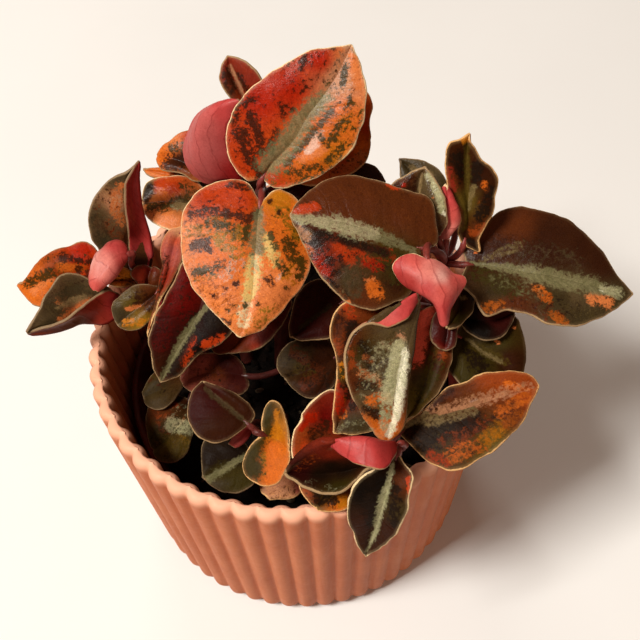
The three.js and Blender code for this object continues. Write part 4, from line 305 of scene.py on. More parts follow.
            [2, "OL", 5.13, 5.13, -0.34, -19.7, -1.7, 107.2, -18.1, -10.5, 101.8],
            [2, "OL", 1.54, 1.54, 0.3, -15.8, -5.1, 106.0, -14.1, -4.9, 106.3],
            [2, "OL", 1.28, 1.28, 0.35, -1.7, -4.4, 106.4, -0.4, -6.2, 105.0],
            [2, "DB", 0.77, 0.77, 0.7, -15.9, -10.1, 102.6],
            [2, "DB", 0.67, 0.67, 0.7, -14.2, -14.3, 99.6, -12.7, -15.1, 99.4],
            [3, "SV", 1.54, 2.31, 0.8, -5.2, 6.2, 111.5, -5.5, 1.7, 109.9, -6.0, -2.1, 108.3],
            [3, "SG", 1.28, 1.28, 0.3, -6.0, -2.1, 108.3, -6.6, -6.1, 106.3],
        ],
    },
    "leaf_top_cupped": {
        "slot": "leaf_pink",
        "rib": 1,
        "cup": -1.2,
        "folded": False,
        "puff": 0,
        "open": [],
        "crosswise": True,
        "rim": [140, 116, 86],
        "mottle": 0.3,
        "gleam": 0.3,
        "slant": 0.25,
        "stem": "stem_top",
        "branch": 0,
        "at": 0.741,
        "via": [],
        "turned": False,
        "rails": [
            [-10.3, 24.9, 102.5, -9.6, 26.2, 103.9, -9.0, 27.1, 105.7, -8.5, 27.9, 107.6, -8.2, 28.5, 109.6, -7.9, 29.1, 111.8, -7.7, 29.5, 114.0, -7.7, 29.7, 116.4, -7.8, 29.8, 118.8, -8.0, 29.7, 121.3, -8.3, 29.2, 124.1],
            [-10.6, 24.9, 102.2, -12.2, 25.4, 104.2, -13.6, 25.9, 106.3, -14.6, 26.5, 108.7, -15.1, 27.1, 111.2, -15.2, 27.7, 113.9, -14.9, 28.2, 116.6, -14.0, 28.6, 119.1, -12.4, 28.9, 121.2, -10.5, 29.1, 122.9, -8.3, 29.2, 124.1],
            [-10.6, 24.9, 102.2, -14.5, 27.0, 101.5, -18.7, 27.8, 99.4, -22.2, 29.3, 100.5, -23.9, 30.9, 103.8, -23.8, 32.2, 108.0, -22.3, 33.0, 112.3, -19.7, 33.1, 116.5, -16.2, 32.6, 119.8, -12.3, 31.4, 122.2, -8.3, 29.2, 124.1],
        ],
        "base": [
            ["RD", -14.0, 27.6, 113.8],
        ],
        "under": [
            # the lighter pink on this side is partly the blade's own colour and partly painted sheen
            ["PX", -19.2, 29.7, 112.3],
            ["PX", -21.4, 29.6, 105.8],
            ["PX", -17.2, 31.4, 118.3],
            ["PD", -10.8, 26.1, 105.1],
            ["PD", -9.1, 29.2, 115.2],
            ["PK", -11.4, 28.9, 121.5],
        ],
        "marks": [
        ],
    },
    "leaf_top_small": {
        "slot": "leaf_brown",
        "rib": 1,
        "cup": 0.6,
        "folded": False,
        "puff": 0,
        "open": [],
        "crosswise": False,
        "rim": [168, 138, 100],
        "mottle": 0.5,
        "gleam": 0.5,
        "slant": 0.85,
        "stem": "stem_top",
        "branch": 0,
        "at": 1.0,
        "via": [],
        "turned": False,
        "rails": [
            [-6.1, 30.1, 114.0, -7.2, 30.3, 116.0, -8.3, 30.9, 117.8, -9.3, 31.5, 119.4, -10.3, 32.3, 121.0, -11.4, 33.2, 122.4, -12.4, 34.2, 123.7, -13.1, 35.4, 125.1, -12.8, 36.7, 126.6, -12.0, 37.9, 127.9, -10.9, 39.3, 128.8],
            [-5.3, 30.4, 114.9, -5.8, 31.2, 116.5, -6.3, 32.0, 118.0, -6.9, 32.8, 119.5, -7.4, 33.6, 121.0, -8.1, 34.5, 122.4, -8.8, 35.4, 123.7, -9.5, 36.3, 125.0, -10.0, 37.3, 126.3, -10.5, 38.3, 127.6, -10.9, 39.3, 128.8],
            [-4.8, 30.4, 114.9, -4.0, 30.6, 117.4, -3.3, 31.1, 119.7, -2.7, 31.7, 121.9, -2.4, 32.4, 123.9, -2.9, 33.3, 125.7, -3.9, 34.4, 127.2, -5.2, 35.5, 128.3, -6.8, 36.7, 129.0, -8.8, 37.9, 129.2, -10.9, 39.3, 128.8],
        ],
        "base": [
            ["RD", -11.1, 36.1, 124.9],
            ["BR", -11.7, 34.0, 123.2],
            ["RD", -5.5, 34.5, 125.3],
            ["OR", -4.8, 32.9, 122.0],
        ],
        "under": [
            ["PD", -8.5, 34.5, 122.4],
        ],
        "marks": [
            [2, "DB", 1.28, 1.28, 0.5, -11.4, 36.9, 126.0, -10.4, 34.4, 122.9],
            [2, "DB", 1.28, 1.28, 0.4, -8.1, 36.1, 125.8, -6.2, 33.8, 122.5],
            [3, "TP", 1.03, 1.03, 1, -10.2, 37.7, 126.9, -8.7, 35.3, 123.7, -7.6, 33.4, 120.6],
        ],
    },
    "leaf_top_behind": {
        "slot": "leaf_red_orange",
        "rib": 1,
        "cup": 0.6,
        "folded": False,
        "puff": 0,
        "open": [],
        "crosswise": False,
        "rim": [226, 178, 120],
        "mottle": 0.6,
        "gleam": 0.3,
        "slant": 0.85,
        "stem": "stem_top",
        "branch": 0,
        "at": 0.886,
        "via": [],
        "turned": False,
        "rails": [
            [1.4, 21.4, 106.9, 2.2, 24.6, 109.6, 3.6, 27.8, 112.1, 5.7, 30.8, 114.3, 8.7, 33.2, 116.3, 12.1, 35.3, 117.8, 16.0, 36.8, 118.9, 20.2, 36.7, 119.0, 22.4, 33.7, 117.1, 21.5, 30.4, 114.7, 21.6, 27.3, 112.0],
            [1.4, 20.9, 106.7, 3.2, 21.6, 107.8, 5.1, 22.3, 108.7, 7.0, 23.0, 109.6, 8.9, 23.7, 110.4, 10.9, 24.4, 111.0, 12.9, 25.1, 111.5, 15.0, 25.8, 111.9, 17.1, 26.3, 112.1, 19.3, 26.6, 112.0, 21.6, 26.9, 111.8],
            [1.6, 20.5, 106.4, 3.9, 19.1, 106.5, 6.3, 18.1, 106.6, 8.8, 17.7, 106.9, 11.2, 17.7, 107.3, 13.6, 18.2, 107.8, 15.8, 19.0, 108.5, 17.9, 20.2, 109.1, 19.8, 21.7, 109.8, 21.0, 23.9, 110.7, 21.5, 26.5, 111.6],
        ],
        "base": [
            ["OR", 14.0, 24.8, 111.3],
            ["O", 19.0, 26.7, 112.1],
            ["S", 10.2, 19.4, 108.1],
            ["OR", 20.5, 29.0, 113.7],
        ],
        "under": [
            ["PD", 14.0, 24.8, 111.3],
        ],
        "marks": [
            [1, "S", 1.54, 1.54, 0.6, 15.0, 20.1, 109.0, 19.1, 23.1, 110.4],
            [2, "OL", 2.05, 2.05, -0.1, 11.5, 21.6, 109.5, 18.5, 22.1, 110.0],
        ],
    },
    "leaf_top_low": {
        "slot": "leaf_dark",
        "rib": 1,
        "cup": 0.6,
        "folded": False,
        "puff": 0,
        "open": [],
        "crosswise": False,
        "rim": [140, 116, 86],
        "mottle": 0.3,
        "gleam": 0.5,
        "slant": 0.85,
        "stem": "stem_top",
        "branch": 0,
        "at": 0.748,
        "via": [],
        "turned": False,
        "rails": [
            [-1.3, 19.0, 102.7, 0.7, 20.6, 104.3, 3.4, 21.5, 105.4, 6.4, 21.5, 105.9, 9.4, 21.3, 106.2, 12.3, 21.8, 106.6, 15.2, 22.8, 107.1, 18.0, 23.9, 107.4, 21.0, 23.8, 107.1, 23.3, 22.2, 105.9, 24.8, 20.2, 104.3],
            [-1.3, 18.3, 102.4, 1.3, 18.0, 102.9, 3.9, 17.7, 103.3, 6.5, 17.6, 103.6, 9.1, 17.7, 103.9, 11.7, 17.8, 104.1, 14.3, 18.0, 104.3, 16.9, 18.4, 104.4, 19.5, 18.8, 104.4, 22.1, 19.2, 104.3, 24.7, 19.7, 104.1],
            [-1.4, 17.6, 102.1, 0.4, 14.7, 101.4, 2.9, 12.7, 101.1, 5.9, 11.7, 101.0, 9.0, 11.3, 101.2, 12.1, 11.4, 101.4, 15.1, 12.0, 101.7, 18.0, 13.1, 102.1, 20.7, 14.7, 102.7, 23.2, 16.7, 103.2, 25.0, 19.5, 104.0],
        ],
        "base": [
            ["MA", 11.5, 20.4, 105.7],
            ["DB", 18.4, 21.4, 105.9],
            ["MA", 3.9, 17.0, 103.0],
        ],
        "under": [
            ["PD", 11.2, 18.5, 104.4],
        ],
        "marks": [
        ],
    },
    "leaf_upper_left_1": {
        "slot": "leaf_red_orange",
        "rib": 1,
        "cup": 0.6,
        "folded": False,
        "puff": 0,
        "open": [],
        "crosswise": False,
        "rim": [168, 138, 100],
        "mottle": 0.6,
        "gleam": 0.5,
        "slant": 0.85,
        "stem": "stem_back_left",
        "branch": 0,
        "at": 1.0,
        "via": [],
        "turned": False,
        "rails": [
            [-18.1, 29.9, 98.3, -19.7, 29.3, 98.4, -21.3, 29.0, 98.6, -22.9, 29.4, 99.0, -24.2, 30.2, 99.6, -25.7, 31.1, 100.0, -27.3, 31.7, 100.0, -29.1, 32.2, 99.8, -30.8, 33.0, 99.7, -31.8, 34.7, 100.0, -32.0, 36.7, 100.3],
            [-18.1, 30.4, 98.5, -19.3, 30.9, 99.2, -20.5, 31.4, 99.9, -21.8, 32.0, 100.4, -23.0, 32.7, 100.8, -24.4, 33.5, 101.1, -25.7, 34.2, 101.3, -27.2, 34.9, 101.3, -28.8, 35.6, 101.2, -30.3, 36.4, 101.0, -32.0, 37.1, 100.6],
            [-18.0, 30.8, 98.8, -17.6, 32.3, 100.8, -17.4, 34.1, 102.6, -17.8, 36.0, 104.2, -18.9, 37.8, 105.4, -21.0, 39.3, 106.1, -23.5, 40.0, 106.0, -26.0, 39.8, 105.2, -28.1, 39.0, 104.0, -30.3, 38.4, 102.6, -32.0, 37.4, 100.7],
        ],
        "base": [
            ["O", -29.7, 37.5, 102.1],
            ["S", -27.6, 38.4, 103.7],
            ["BR", -25.3, 34.3, 101.4],
            ["O", -31.1, 35.7, 100.5],
            ["OR", -22.5, 38.4, 105.1],
        ],
        "under": [
            ["PK", -25.8, 34.3, 101.4],
        ],
        "marks": [
            [2, "DB", 2.56, 2.56, 0.8, -28.5, 34.1, 100.6, -22.8, 34.0, 101.7, -19.5, 33.5, 101.9],
            [2, "OL", 1.28, 1.28, 0.3, -27.3, 37.2, 102.9, -23.0, 36.8, 103.7],
        ],
    },
    "leaf_upper_left_2": {
        "slot": "leaf_olive",
        "rib": 1,
        "cup": 0.6,
        "folded": False,
        "puff": 0,
        "open": [],
        "crosswise": False,
        "rim": [168, 138, 100],
        "mottle": 0.5,
        "gleam": 0.5,
        "slant": 0.85,
        "stem": "stem_back_left",
        "branch": 0,
        "at": 1.0,
        "via": [],
        "turned": False,
        "rails": [
            [-19.7, 32.0, 93.8, -21.2, 30.6, 93.6, -22.9, 30.2, 93.8, -24.6, 30.7, 94.3, -26.2, 31.4, 94.8, -27.9, 32.2, 95.2, -29.6, 33.0, 95.5, -31.4, 33.7, 95.6, -33.3, 34.4, 95.6, -35.1, 35.5, 95.6, -36.5, 37.3, 95.8],
            [-19.7, 32.5, 94.0, -21.3, 32.9, 94.6, -22.9, 33.3, 95.0, -24.5, 33.7, 95.4, -26.1, 34.0, 95.7, -27.8, 34.4, 95.9, -29.5, 34.9, 96.0, -31.2, 35.4, 96.0, -33.0, 36.0, 96.1, -34.7, 36.8, 96.0, -36.5, 37.6, 95.9],
            [-19.7, 32.9, 94.2, -20.8, 33.9, 95.3, -22.1, 34.7, 96.1, -23.6, 35.5, 96.8, -25.3, 36.0, 97.2, -27.1, 36.4, 97.4, -28.9, 36.7, 97.3, -30.7, 36.8, 97.1, -32.6, 37.0, 96.8, -34.5, 37.3, 96.5, -36.4, 37.8, 96.0],
        ],
        "base": [
            ["O", -34.5, 36.3, 95.9],
            ["O", -29.3, 35.9, 96.7],
            ["OM", -24.3, 33.9, 95.5],
            ["GR", -20.5, 33.1, 94.6],
        ],
        "under": [
            ["PK", -26.8, 34.6, 96.0],
        ],
        "marks": [
            [1, "S", 1.03, 1.03, 0.7, -34.7, 35.8, 95.7, -28.8, 35.0, 96.1],
            [2, "OL", 2.05, 2.05, 0.4, -26.7, 33.9, 95.7, -20.5, 33.1, 94.6],
        ],
    },
    "leaf_upper_left_3": {
        "slot": "leaf_red_orange",
        "rib": 1,
        "cup": 0.6,
        "folded": False,
        "puff": 0,
        "open": [],
        "crosswise": False,
        "rim": [244, 214, 165],
        "mottle": 0.7,
        "gleam": 0.9,
        "slant": 0.85,
        "stem": "stem_back_left",
        "branch": 0,
        "at": 1.0,
        "via": [],
        "turned": False,
        "rails": [
            [-20.0, 25.2, 94.0, -20.2, 22.4, 93.8, -20.9, 20.0, 93.4, -22.3, 18.1, 93.2, -24.4, 17.6, 93.3, -26.5, 17.8, 93.5, -28.7, 18.0, 93.6, -30.9, 18.8, 93.8, -32.8, 20.2, 94.0, -34.6, 22.1, 94.2, -35.8, 24.6, 94.4],
            [-19.8, 25.7, 94.1, -21.4, 25.6, 94.5, -22.9, 25.5, 94.9, -24.5, 25.5, 95.2, -26.1, 25.5, 95.4, -27.8, 25.6, 95.6, -29.4, 25.7, 95.6, -31.0, 25.8, 95.6, -32.7, 25.9, 95.5, -34.4, 26.0, 95.3, -36.1, 26.1, 95.0],
            [-19.8, 26.2, 94.3, -20.0, 28.2, 95.7, -21.2, 30.1, 96.9, -23.2, 31.3, 97.8, -25.5, 31.9, 98.3, -27.9, 31.9, 98.5, -30.4, 31.8, 98.5, -32.8, 31.4, 98.3, -34.9, 30.4, 97.7, -35.9, 28.4, 96.5, -36.1, 26.4, 95.1],
        ],
        "base": [
            ["O", -30.0, 28.8, 97.0],
            ["GR", -33.9, 29.4, 97.2],
            ["S", -29.9, 20.4, 94.2],
            ["OR", -28.7, 29.6, 97.4],
            ["S", -23.8, 19.6, 93.7],
            ["GR", -26.4, 24.9, 95.2],
            ["S", -33.9, 23.0, 94.5],
        ],
        "under": [
            ["PK", -26.5, 26.1, 95.7],
        ],
        "marks": [
            [1, "OR", 2.05, 2.05, 0.8, -31.4, 29.7, 97.4, -26.9, 28.6, 96.8],
            [1, "S", 1.79, 1.79, 0.8, -33.5, 22.3, 94.4, -27.5, 19.2, 93.9, -23.3, 19.1, 93.5],
            [2, "BK", 1.54, 1.54, 0.9, -35.0, 26.9, 95.6, -33.9, 29.4, 97.2],
            [2, "OL", 2.05, 2.05, 0.4, -33.5, 24.5, 95.0, -29.0, 24.6, 95.2, -23.9, 26.2, 95.4],
            [2, "OL", 1.28, 1.28, 0.3, -25.4, 29.5, 97.1, -21.5, 26.9, 95.2],
            [3, "SG", 1.28, 1.28, 0.25, -27.5, 24.0, 95.1, -23.4, 22.6, 94.3],
            [3, "MG", 1.79, 1.79, 0.6, -26.8, 24.7, 95.2, -21.8, 22.1, 93.9],
        ],
    },
    "leaf_left_upright": {
        "slot": "leaf_silver",
        "rib": 1,
        "cup": 0.8,
        "folded": True,
        "puff": 0,
        "open": [],
        "crosswise": False,
        "rim": [140, 116, 86],
        "mottle": 0.8,
        "gleam": 0.4,
        "slant": 0.85,
        "stem": "stem_left",
        "branch": 0,
        "at": 1.0,
        "via": [[-38.6, 9.1, 83.6]],
        "turned": True,
        "rails": [
            [-39.0, 11.1, 84.6, -42.3, 10.9, 87.3, -44.9, 11.8, 90.3, -46.5, 13.3, 93.7, -47.3, 14.6, 97.8, -47.2, 16.5, 101.4, -45.8, 18.8, 104.2, -43.4, 20.8, 106.7, -40.3, 22.2, 108.7, -36.5, 22.6, 110.5, -33.4, 24.2, 112.0],
            [-38.5, 10.4, 84.6, -35.4, 11.0, 86.1, -34.0, 13.1, 87.9, -34.1, 15.5, 90.0, -34.3, 17.5, 92.5, -34.8, 19.2, 95.3, -35.2, 20.4, 98.5, -35.1, 21.4, 102.0, -34.9, 22.4, 105.3, -34.4, 23.4, 108.6, -33.4, 24.2, 112.0],
            [-39.0, 10.7, 84.6, -39.4, 12.3, 87.5, -39.1, 13.7, 90.5, -38.9, 14.9, 93.6, -38.7, 15.9, 97.1, -38.3, 16.8, 100.4, -37.9, 17.8, 103.6, -37.3, 19.0, 106.5, -36.6, 20.7, 108.8, -35.2, 22.4, 110.6, -33.4, 24.2, 112.0],
        ],
        "base": [
            ["GR", -44.8, 17.5, 100.9],
            ["GR", -39.2, 22.2, 107.8],
            ["TP", -40.2, 20.5, 102.9],
            ["GR", -44.7, 14.6, 95.3],
            ["GR", -36.9, 18.0, 99.9],
            ["BR", -39.4, 15.7, 93.3],
        ],
        "under": [
            ["PR", -35.8, 17.1, 95.1],
            ["PR", -35.4, 21.1, 105.2],
            ["PK", -35.5, 12.9, 88.2],
            ["PR", -35.6, 21.7, 108.2],
        ],
        "marks": [
            [1, "S", 1.79, 1.79, 0.35, -38.9, 21.9, 106.0, -41.2, 19.7, 101.9, -40.4, 18.0, 97.6],
            [1, "BO", 1.54, 1.54, 0.2, -45.0, 16.6, 99.5, -42.3, 16.1, 96.3],
            [1, "TP", 1.28, 1.28, 0.3, -42.0, 20.0, 103.5, -41.5, 19.2, 101.0],
            [1, "S", 2.05, 2.05, -0.08, -43.4, 18.6, 101.6, -40.2, 16.6, 95.3],
            [2, "GB", 1.79, 1.79, 0.3, -45.4, 16.8, 100.3, -44.2, 14.7, 95.1],
            [2, "GB", 1.28, 1.28, 0.3, -37.5, 21.8, 104.5, -37.5, 17.2, 99.2],
            [2, "DB", 3.08, 3.08, -0.12, -42.6, 20.8, 106.1, -40.6, 16.2, 95.1],
            [3, "MG", 1.03, 1.03, 0.4, -38.0, 21.8, 104.8, -38.2, 16.6, 98.9],
        ],
    },
    "leaf_left_outer": {
        "slot": "leaf_red_orange",
        "rib": 1,
        "cup": 0.6,
        "folded": False,
        "puff": 0,
        "open": [],
        "crosswise": False,
        "rim": [168, 138, 100],
        "mottle": 0.9,
        "gleam": 0.3,
        "slant": 0.85,
        "stem": "stem_left",
        "branch": 0,
        "at": 0.8,
        "via": [[-43.6, 9.9, 86.4], [-41.2, 9.9, 82.6]],
        "turned": False,
        "rails": [
            [-45.0, 9.2, 88.7, -46.3, 6.7, 88.1, -48.0, 4.7, 87.6, -50.2, 3.3, 87.2, -52.7, 2.3, 86.9, -55.3, 1.7, 86.5, -58.0, 1.5, 86.2, -60.9, 1.8, 86.0, -63.4, 3.4, 86.2, -65.6, 5.6, 86.6, -67.4, 8.2, 87.1],
            [-45.0, 9.9, 89.0, -47.1, 9.9, 89.7, -49.2, 9.6, 90.0, -51.3, 9.1, 90.1, -53.4, 8.6, 90.0, -55.6, 8.2, 89.7, -57.8, 7.9, 89.4, -60.1, 7.8, 89.0, -62.4, 7.8, 88.4, -64.9, 8.1, 87.9, -67.4, 8.5, 87.2],
            [-45.0, 10.6, 89.4, -45.9, 12.5, 91.3, -47.4, 14.4, 92.9, -49.8, 15.4, 93.8, -52.6, 15.0, 93.8, -55.5, 14.5, 93.5, -58.2, 13.7, 92.9, -60.7, 12.5, 91.8, -62.8, 10.9, 90.4, -64.7, 9.3, 88.8, -67.4, 8.5, 87.2],
        ],
        "base": [
            ["R", -50.1, 13.5, 92.6],
            ["BO", -56.1, 9.7, 90.6],
            ["O", -59.7, 6.9, 88.6],
            ["O", -63.8, 6.0, 87.2],
            ["OR", -47.5, 10.8, 90.4],
            ["OR", -48.9, 5.1, 87.9],
        ],
        "under": [
            ["PK", -56.1, 7.6, 89.3],
        ],
        "marks": [
            [1, "S", 1.79, 1.79, 0.7, -61.6, 6.0, 87.8, -58.7, 7.7, 89.2],
            [1, "O", 1.54, 1.54, 0.6, -55.4, 10.5, 91.0, -50.1, 10.0, 90.4],
            [2, "DB", 1.28, 1.28, 0.6, -55.4, 12.2, 92.1, -48.2, 11.4, 90.9],
            [2, "OL", 1.54, 1.54, 0.5, -64.2, 7.9, 88.0, -58.1, 9.4, 90.2],
            [2, "DB", 1.54, 1.54, 0.4, -51.1, 9.7, 90.4, -47.2, 8.4, 89.0],
            [2, "OL", 3.59, 3.59, -0.12, -58.4, 9.0, 89.9, -51.1, 9.7, 90.4],
        ],
    },
    "leaf_left_folded": {
        "slot": "leaf_silver",
        "rib": 1,
        "cup": 0.8,
        "folded": True,
        "puff": 0,
        "open": [],
        "crosswise": False,
        "rim": [140, 116, 86],
        "mottle": 0.6,
        "gleam": 0.4,
        "slant": 0.85,
        "stem": "stem_left",
        "branch": 0,
        "at": 1.0,
        "via": [[-38.6, 5.2, 82.2]],
        "turned": False,
        "rails": [
            [-40.0, 3.2, 85.2, -41.5, 2.8, 88.7, -43.6, 2.2, 91.0, -46.0, 0.7, 91.3, -48.0, -1.1, 91.0, -49.9, -3.0, 90.6, -52.0, -4.6, 90.0, -54.5, -5.5, 89.2, -57.3, -5.8, 88.4, -60.2, -5.9, 87.7, -63.0, -6.2, 87.0],
            [-39.8, 2.8, 85.2, -42.0, 1.5, 84.1, -43.7, -0.4, 83.4, -46.0, -1.7, 83.4, -48.8, -1.4, 83.5, -51.5, -1.3, 83.6, -53.8, -2.6, 83.9, -56.1, -3.9, 84.5, -58.5, -4.8, 85.1, -60.9, -5.3, 85.5, -63.4, -5.5, 86.0],
            [-40.1, 3.5, 85.2, -42.3, 3.4, 88.6, -44.5, 4.0, 91.3, -47.3, 4.2, 93.3, -50.1, 4.8, 94.8, -53.1, 4.4, 95.6, -55.5, 2.3, 94.7, -57.9, 0.6, 92.7, -59.2, -2.0, 91.0, -61.0, -4.3, 89.3, -62.8, -6.6, 87.5],
        ],
        "base": [
            ["GB", -51.2, 3.0, 91.6],
            ["GR", -46.9, 3.5, 92.0],
            ["GB", -56.1, -0.5, 89.5],
            ["TP", -50.2, -3.0, 90.1],
            ["GR", -57.6, -2.8, 87.0],
        ],
        "under": [
            ["RD", -46.7, -0.7, 88.3],
            ["PR", -43.6, 2.2, 87.4],
            ["BR", -52.6, -1.2, 84.2],
        ],
        "marks": [
            [1, "S", 1.54, 1.54, 0.5, -55.6, -1.8, 86.5, -51.5, 0.7, 86.9, -47.0, -0.3, 90.6],
            [1, "S", 1.28, 1.28, 0.2, -55.2, 0.6, 90.8, -54.1, -0.4, 87.3],
            [2, "GB", 2.05, 2.05, 0.5, -54.2, 1.4, 91.1, -49.1, 2.8, 91.0],
            [2, "DB", 2.56, 2.56, -0.1, -54.8, 0.6, 90.4, -47.9, 2.8, 91.0],
            [3, "MG", 1.28, 1.28, 0.5, -55.4, -0.2, 89.3, -49.3, 2.2, 89.7],
        ],
    },
    "leaf_left_rolled": {
        "slot": "leaf_pink",
        "rib": 1,
        "cup": -1.5,
        "folded": False,
        "puff": 0.1,
        "open": [[-39.8, 9.1, 99.0]],
        "crosswise": False,
        "rim": [226, 178, 120],
        "mottle": 0.3,
        "gleam": 0.5,
        "slant": 0.3,
        "stem": "stem_left",
        "branch": 0,
        "at": 1.0,
        "via": [[-37.8, 8.6, 93.5], [-37.6, 9.2, 88.5], [-36.6, 9.1, 83.5]],
        "turned": False,
        "rails": [
            [-37.6, 7.9, 98.8, -38.7, 10.4, 98.7, -40.6, 11.4, 98.6, -42.6, 11.2, 98.1, -44.0, 10.1, 97.3, -45.6, 9.1, 96.7, -46.3, 7.3, 96.0, -46.6, 5.4, 95.3, -47.0, 3.4, 94.8, -46.8, 1.3, 94.3, -45.1, -0.7, 94.7],
            [-37.4, 7.0, 98.4, -38.5, 6.5, 98.9, -39.6, 5.9, 99.2, -40.5, 5.0, 99.2, -41.3, 4.0, 99.0, -42.0, 3.1, 98.6, -42.7, 2.3, 98.1, -43.4, 1.5, 97.5, -44.1, 0.7, 96.7, -44.6, 0.0, 95.8, -45.1, -0.7, 94.7],
            [-37.4, 6.2, 97.9, -38.3, 6.2, 96.5, -39.1, 5.8, 95.7, -40.0, 5.4, 95.0, -40.9, 4.9, 94.6, -41.7, 4.2, 94.2, -42.4, 3.4, 93.9, -43.1, 2.5, 93.7, -43.7, 1.6, 93.7, -44.4, 0.6, 93.9, -45.1, -0.7, 94.7],
        ],
        "base": [
            ["RD", -41.3, 3.6, 98.8],
        ],
        "under": [
            ["PK", -40.4, 7.7, 99.2],
            ["PJ", -41.8, 4.4, 99.0],
            ["PJ", -43.2, 2.3, 97.9],
            ["PI", -44.9, 0.0, 95.6],
            ["PR", -38.3, 7.9, 98.9],
            ["PR", -39.7, 5.1, 97.9],
            ["PK", -42.1, 3.3, 95.4],
            # painted highlight on the roll
            ["PA", -44.3, 5.2, 97.5],
        ],
        "marks": [
        ],
    },
    "leaf_left_round": {
        "slot": "leaf_olive",
        "rib": 1,
        "cup": 0.6,
        "folded": False,
        "puff": 0,
        "open": [],
        "crosswise": False,
        "rim": [140, 116, 86],
        "mottle": 0.6,
        "gleam": 0.5,
        "slant": 0.85,
        "stem": "stem_left",
        "branch": 0,
        "at": 1.0,
        "via": [],
        "turned": False,
        "rails": [
            [-31.3, 2.4, 88.3, -31.5, 0.8, 87.8, -31.8, -0.6, 87.3, -32.4, -1.9, 86.7, -33.2, -3.0, 86.0, -34.2, -4.0, 85.4, -35.3, -4.8, 84.8, -36.8, -5.2, 84.3, -38.4, -5.1, 84.0, -40.0, -4.7, 83.8, -41.5, -3.9, 83.8],
            [-31.5, 3.0, 88.7, -32.5, 2.1, 88.5, -33.5, 1.4, 88.2, -34.6, 0.6, 87.9, -35.6, 0.0, 87.6, -36.7, -0.6, 87.2, -37.8, -1.2, 86.7, -38.9, -1.7, 86.2, -40.0, -2.3, 85.6, -41.1, -2.8, 84.9, -42.2, -3.3, 84.2],
            [-31.7, 4.0, 89.4, -33.3, 3.9, 90.3, -34.9, 3.8, 90.8, -36.6, 3.5, 91.0, -38.2, 2.9, 90.8, -39.6, 2.1, 90.3, -41.0, 1.3, 89.6, -42.4, 0.5, 88.8, -43.0, -0.6, 87.5, -42.8, -1.7, 86.2, -42.4, -2.6, 84.6],
        ],
        "base": [
            ["OM", -38.5, 0.7, 88.6],
            ["BR", -33.7, 0.9, 88.0],
            ["GB", -41.0, -1.2, 86.7],
            ["Y", -35.1, -4.3, 85.1],
            ["BR", -32.5, 3.0, 89.1],
        ],
        "under": [
            ["PD", -36.1, -0.1, 87.6],
        ],
        "marks": [
            [1, "S", 0.87, 0.87, 0.7, -39.1, -0.6, 87.3, -36.2, -0.2, 87.5],
            [1, "G", 1.03, 1.03, 0.3, -40.0, -3.1, 84.9, -34.4, -3.8, 85.5],
            [2, "DB", 2.05, 2.05, 0.2, -36.0, 1.2, 88.6, -32.4, -0.2, 87.4],
        ],
    },
    "leaf_left_inner_1": {
        "slot": "leaf_red_orange",
        "rib": 1,
        "cup": 0.6,
        "folded": False,
        "puff": 0,
        "open": [],
        "crosswise": False,
        "rim": [226, 178, 120],
        "mottle": 0.8,
        "gleam": 0.5,
        "slant": 0.85,
        "stem": "stem_left",
        "branch": 0,
        "at": 1.0,
        "via": [],
        "turned": False,
        "rails": [
            [-36.5, 6.0, 88.0, -37.2, 5.3, 88.5, -37.9, 4.8, 88.9, -38.7, 4.4, 89.1, -39.5, 4.1, 89.3, -40.3, 3.9, 89.4, -41.2, 4.0, 89.5, -42.1, 4.2, 89.5, -42.9, 4.6, 89.5, -43.7, 5.3, 89.5, -44.3, 6.4, 89.4],
            [-36.7, 6.7, 88.4, -37.5, 6.4, 88.7, -38.3, 6.3, 89.0, -39.1, 6.1, 89.3, -39.9, 6.1, 89.4, -40.7, 6.0, 89.6, -41.5, 6.0, 89.7, -42.4, 6.0, 89.7, -43.3, 6.1, 89.7, -44.1, 6.2, 89.6, -45.0, 6.4, 89.5],
            [-36.9, 7.3, 88.8, -37.4, 7.5, 90.0, -38.1, 7.8, 90.9, -38.8, 8.1, 91.6, -39.7, 8.3, 92.1, -40.7, 8.4, 92.5, -41.8, 8.3, 92.5, -42.9, 8.0, 92.2, -43.8, 7.6, 91.6, -44.5, 7.1, 90.8, -45.3, 6.8, 89.8],
        ],
        "base": [
            ["G", -39.8, 6.3, 89.5],
            ["O", -41.5, 5.8, 89.6],
            ["BR", -43.5, 5.0, 89.5],
        ],
        "under": [
            ["PD", -41.0, 6.2, 89.8],
        ],
        "marks": [
            [1, "G", 1.03, 1.03, 0.8, -42.0, 6.2, 89.8, -39.2, 5.9, 89.2],
            [2, "DB", 1.28, 1.28, 0.0, -42.8, 6.9, 90.6, -38.6, 5.4, 89.0],
        ],
    },
    "leaf_left_inner_2": {
        "slot": "leaf_brown",
        "rib": 1,
        "cup": 0.6,
        "folded": False,
        "puff": 0,
        "open": [],
        "crosswise": False,
        "rim": [140, 116, 86],
        "mottle": 0.4,
        "gleam": 0.5,
        "slant": 0.85,
        "stem": "stem_left",
        "branch": 0,
        "at": 1.0,
        "via": [],
        "turned": False,
        "rails": [
            [-35.0, 4.7, 87.5, -35.7, 4.6, 88.6, -36.4, 4.7, 89.5, -37.0, 4.9, 90.3, -37.6, 5.3, 91.1, -38.1, 5.8, 91.9, -38.0, 6.5, 92.5, -37.3, 7.3, 92.8, -36.5, 7.9, 92.8, -35.6, 8.3, 92.3, -34.8, 8.7, 91.5],
            [-34.3, 4.9, 87.6, -34.3, 5.2, 88.2, -34.3, 5.4, 88.7, -34.3, 5.7, 89.2, -34.2, 6.0, 89.6, -34.1, 6.4, 90.0, -34.0, 6.8, 90.3, -33.8, 7.2, 90.6, -33.6, 7.7, 90.8, -33.4, 8.1, 91.0, -33.1, 8.6, 91.1],
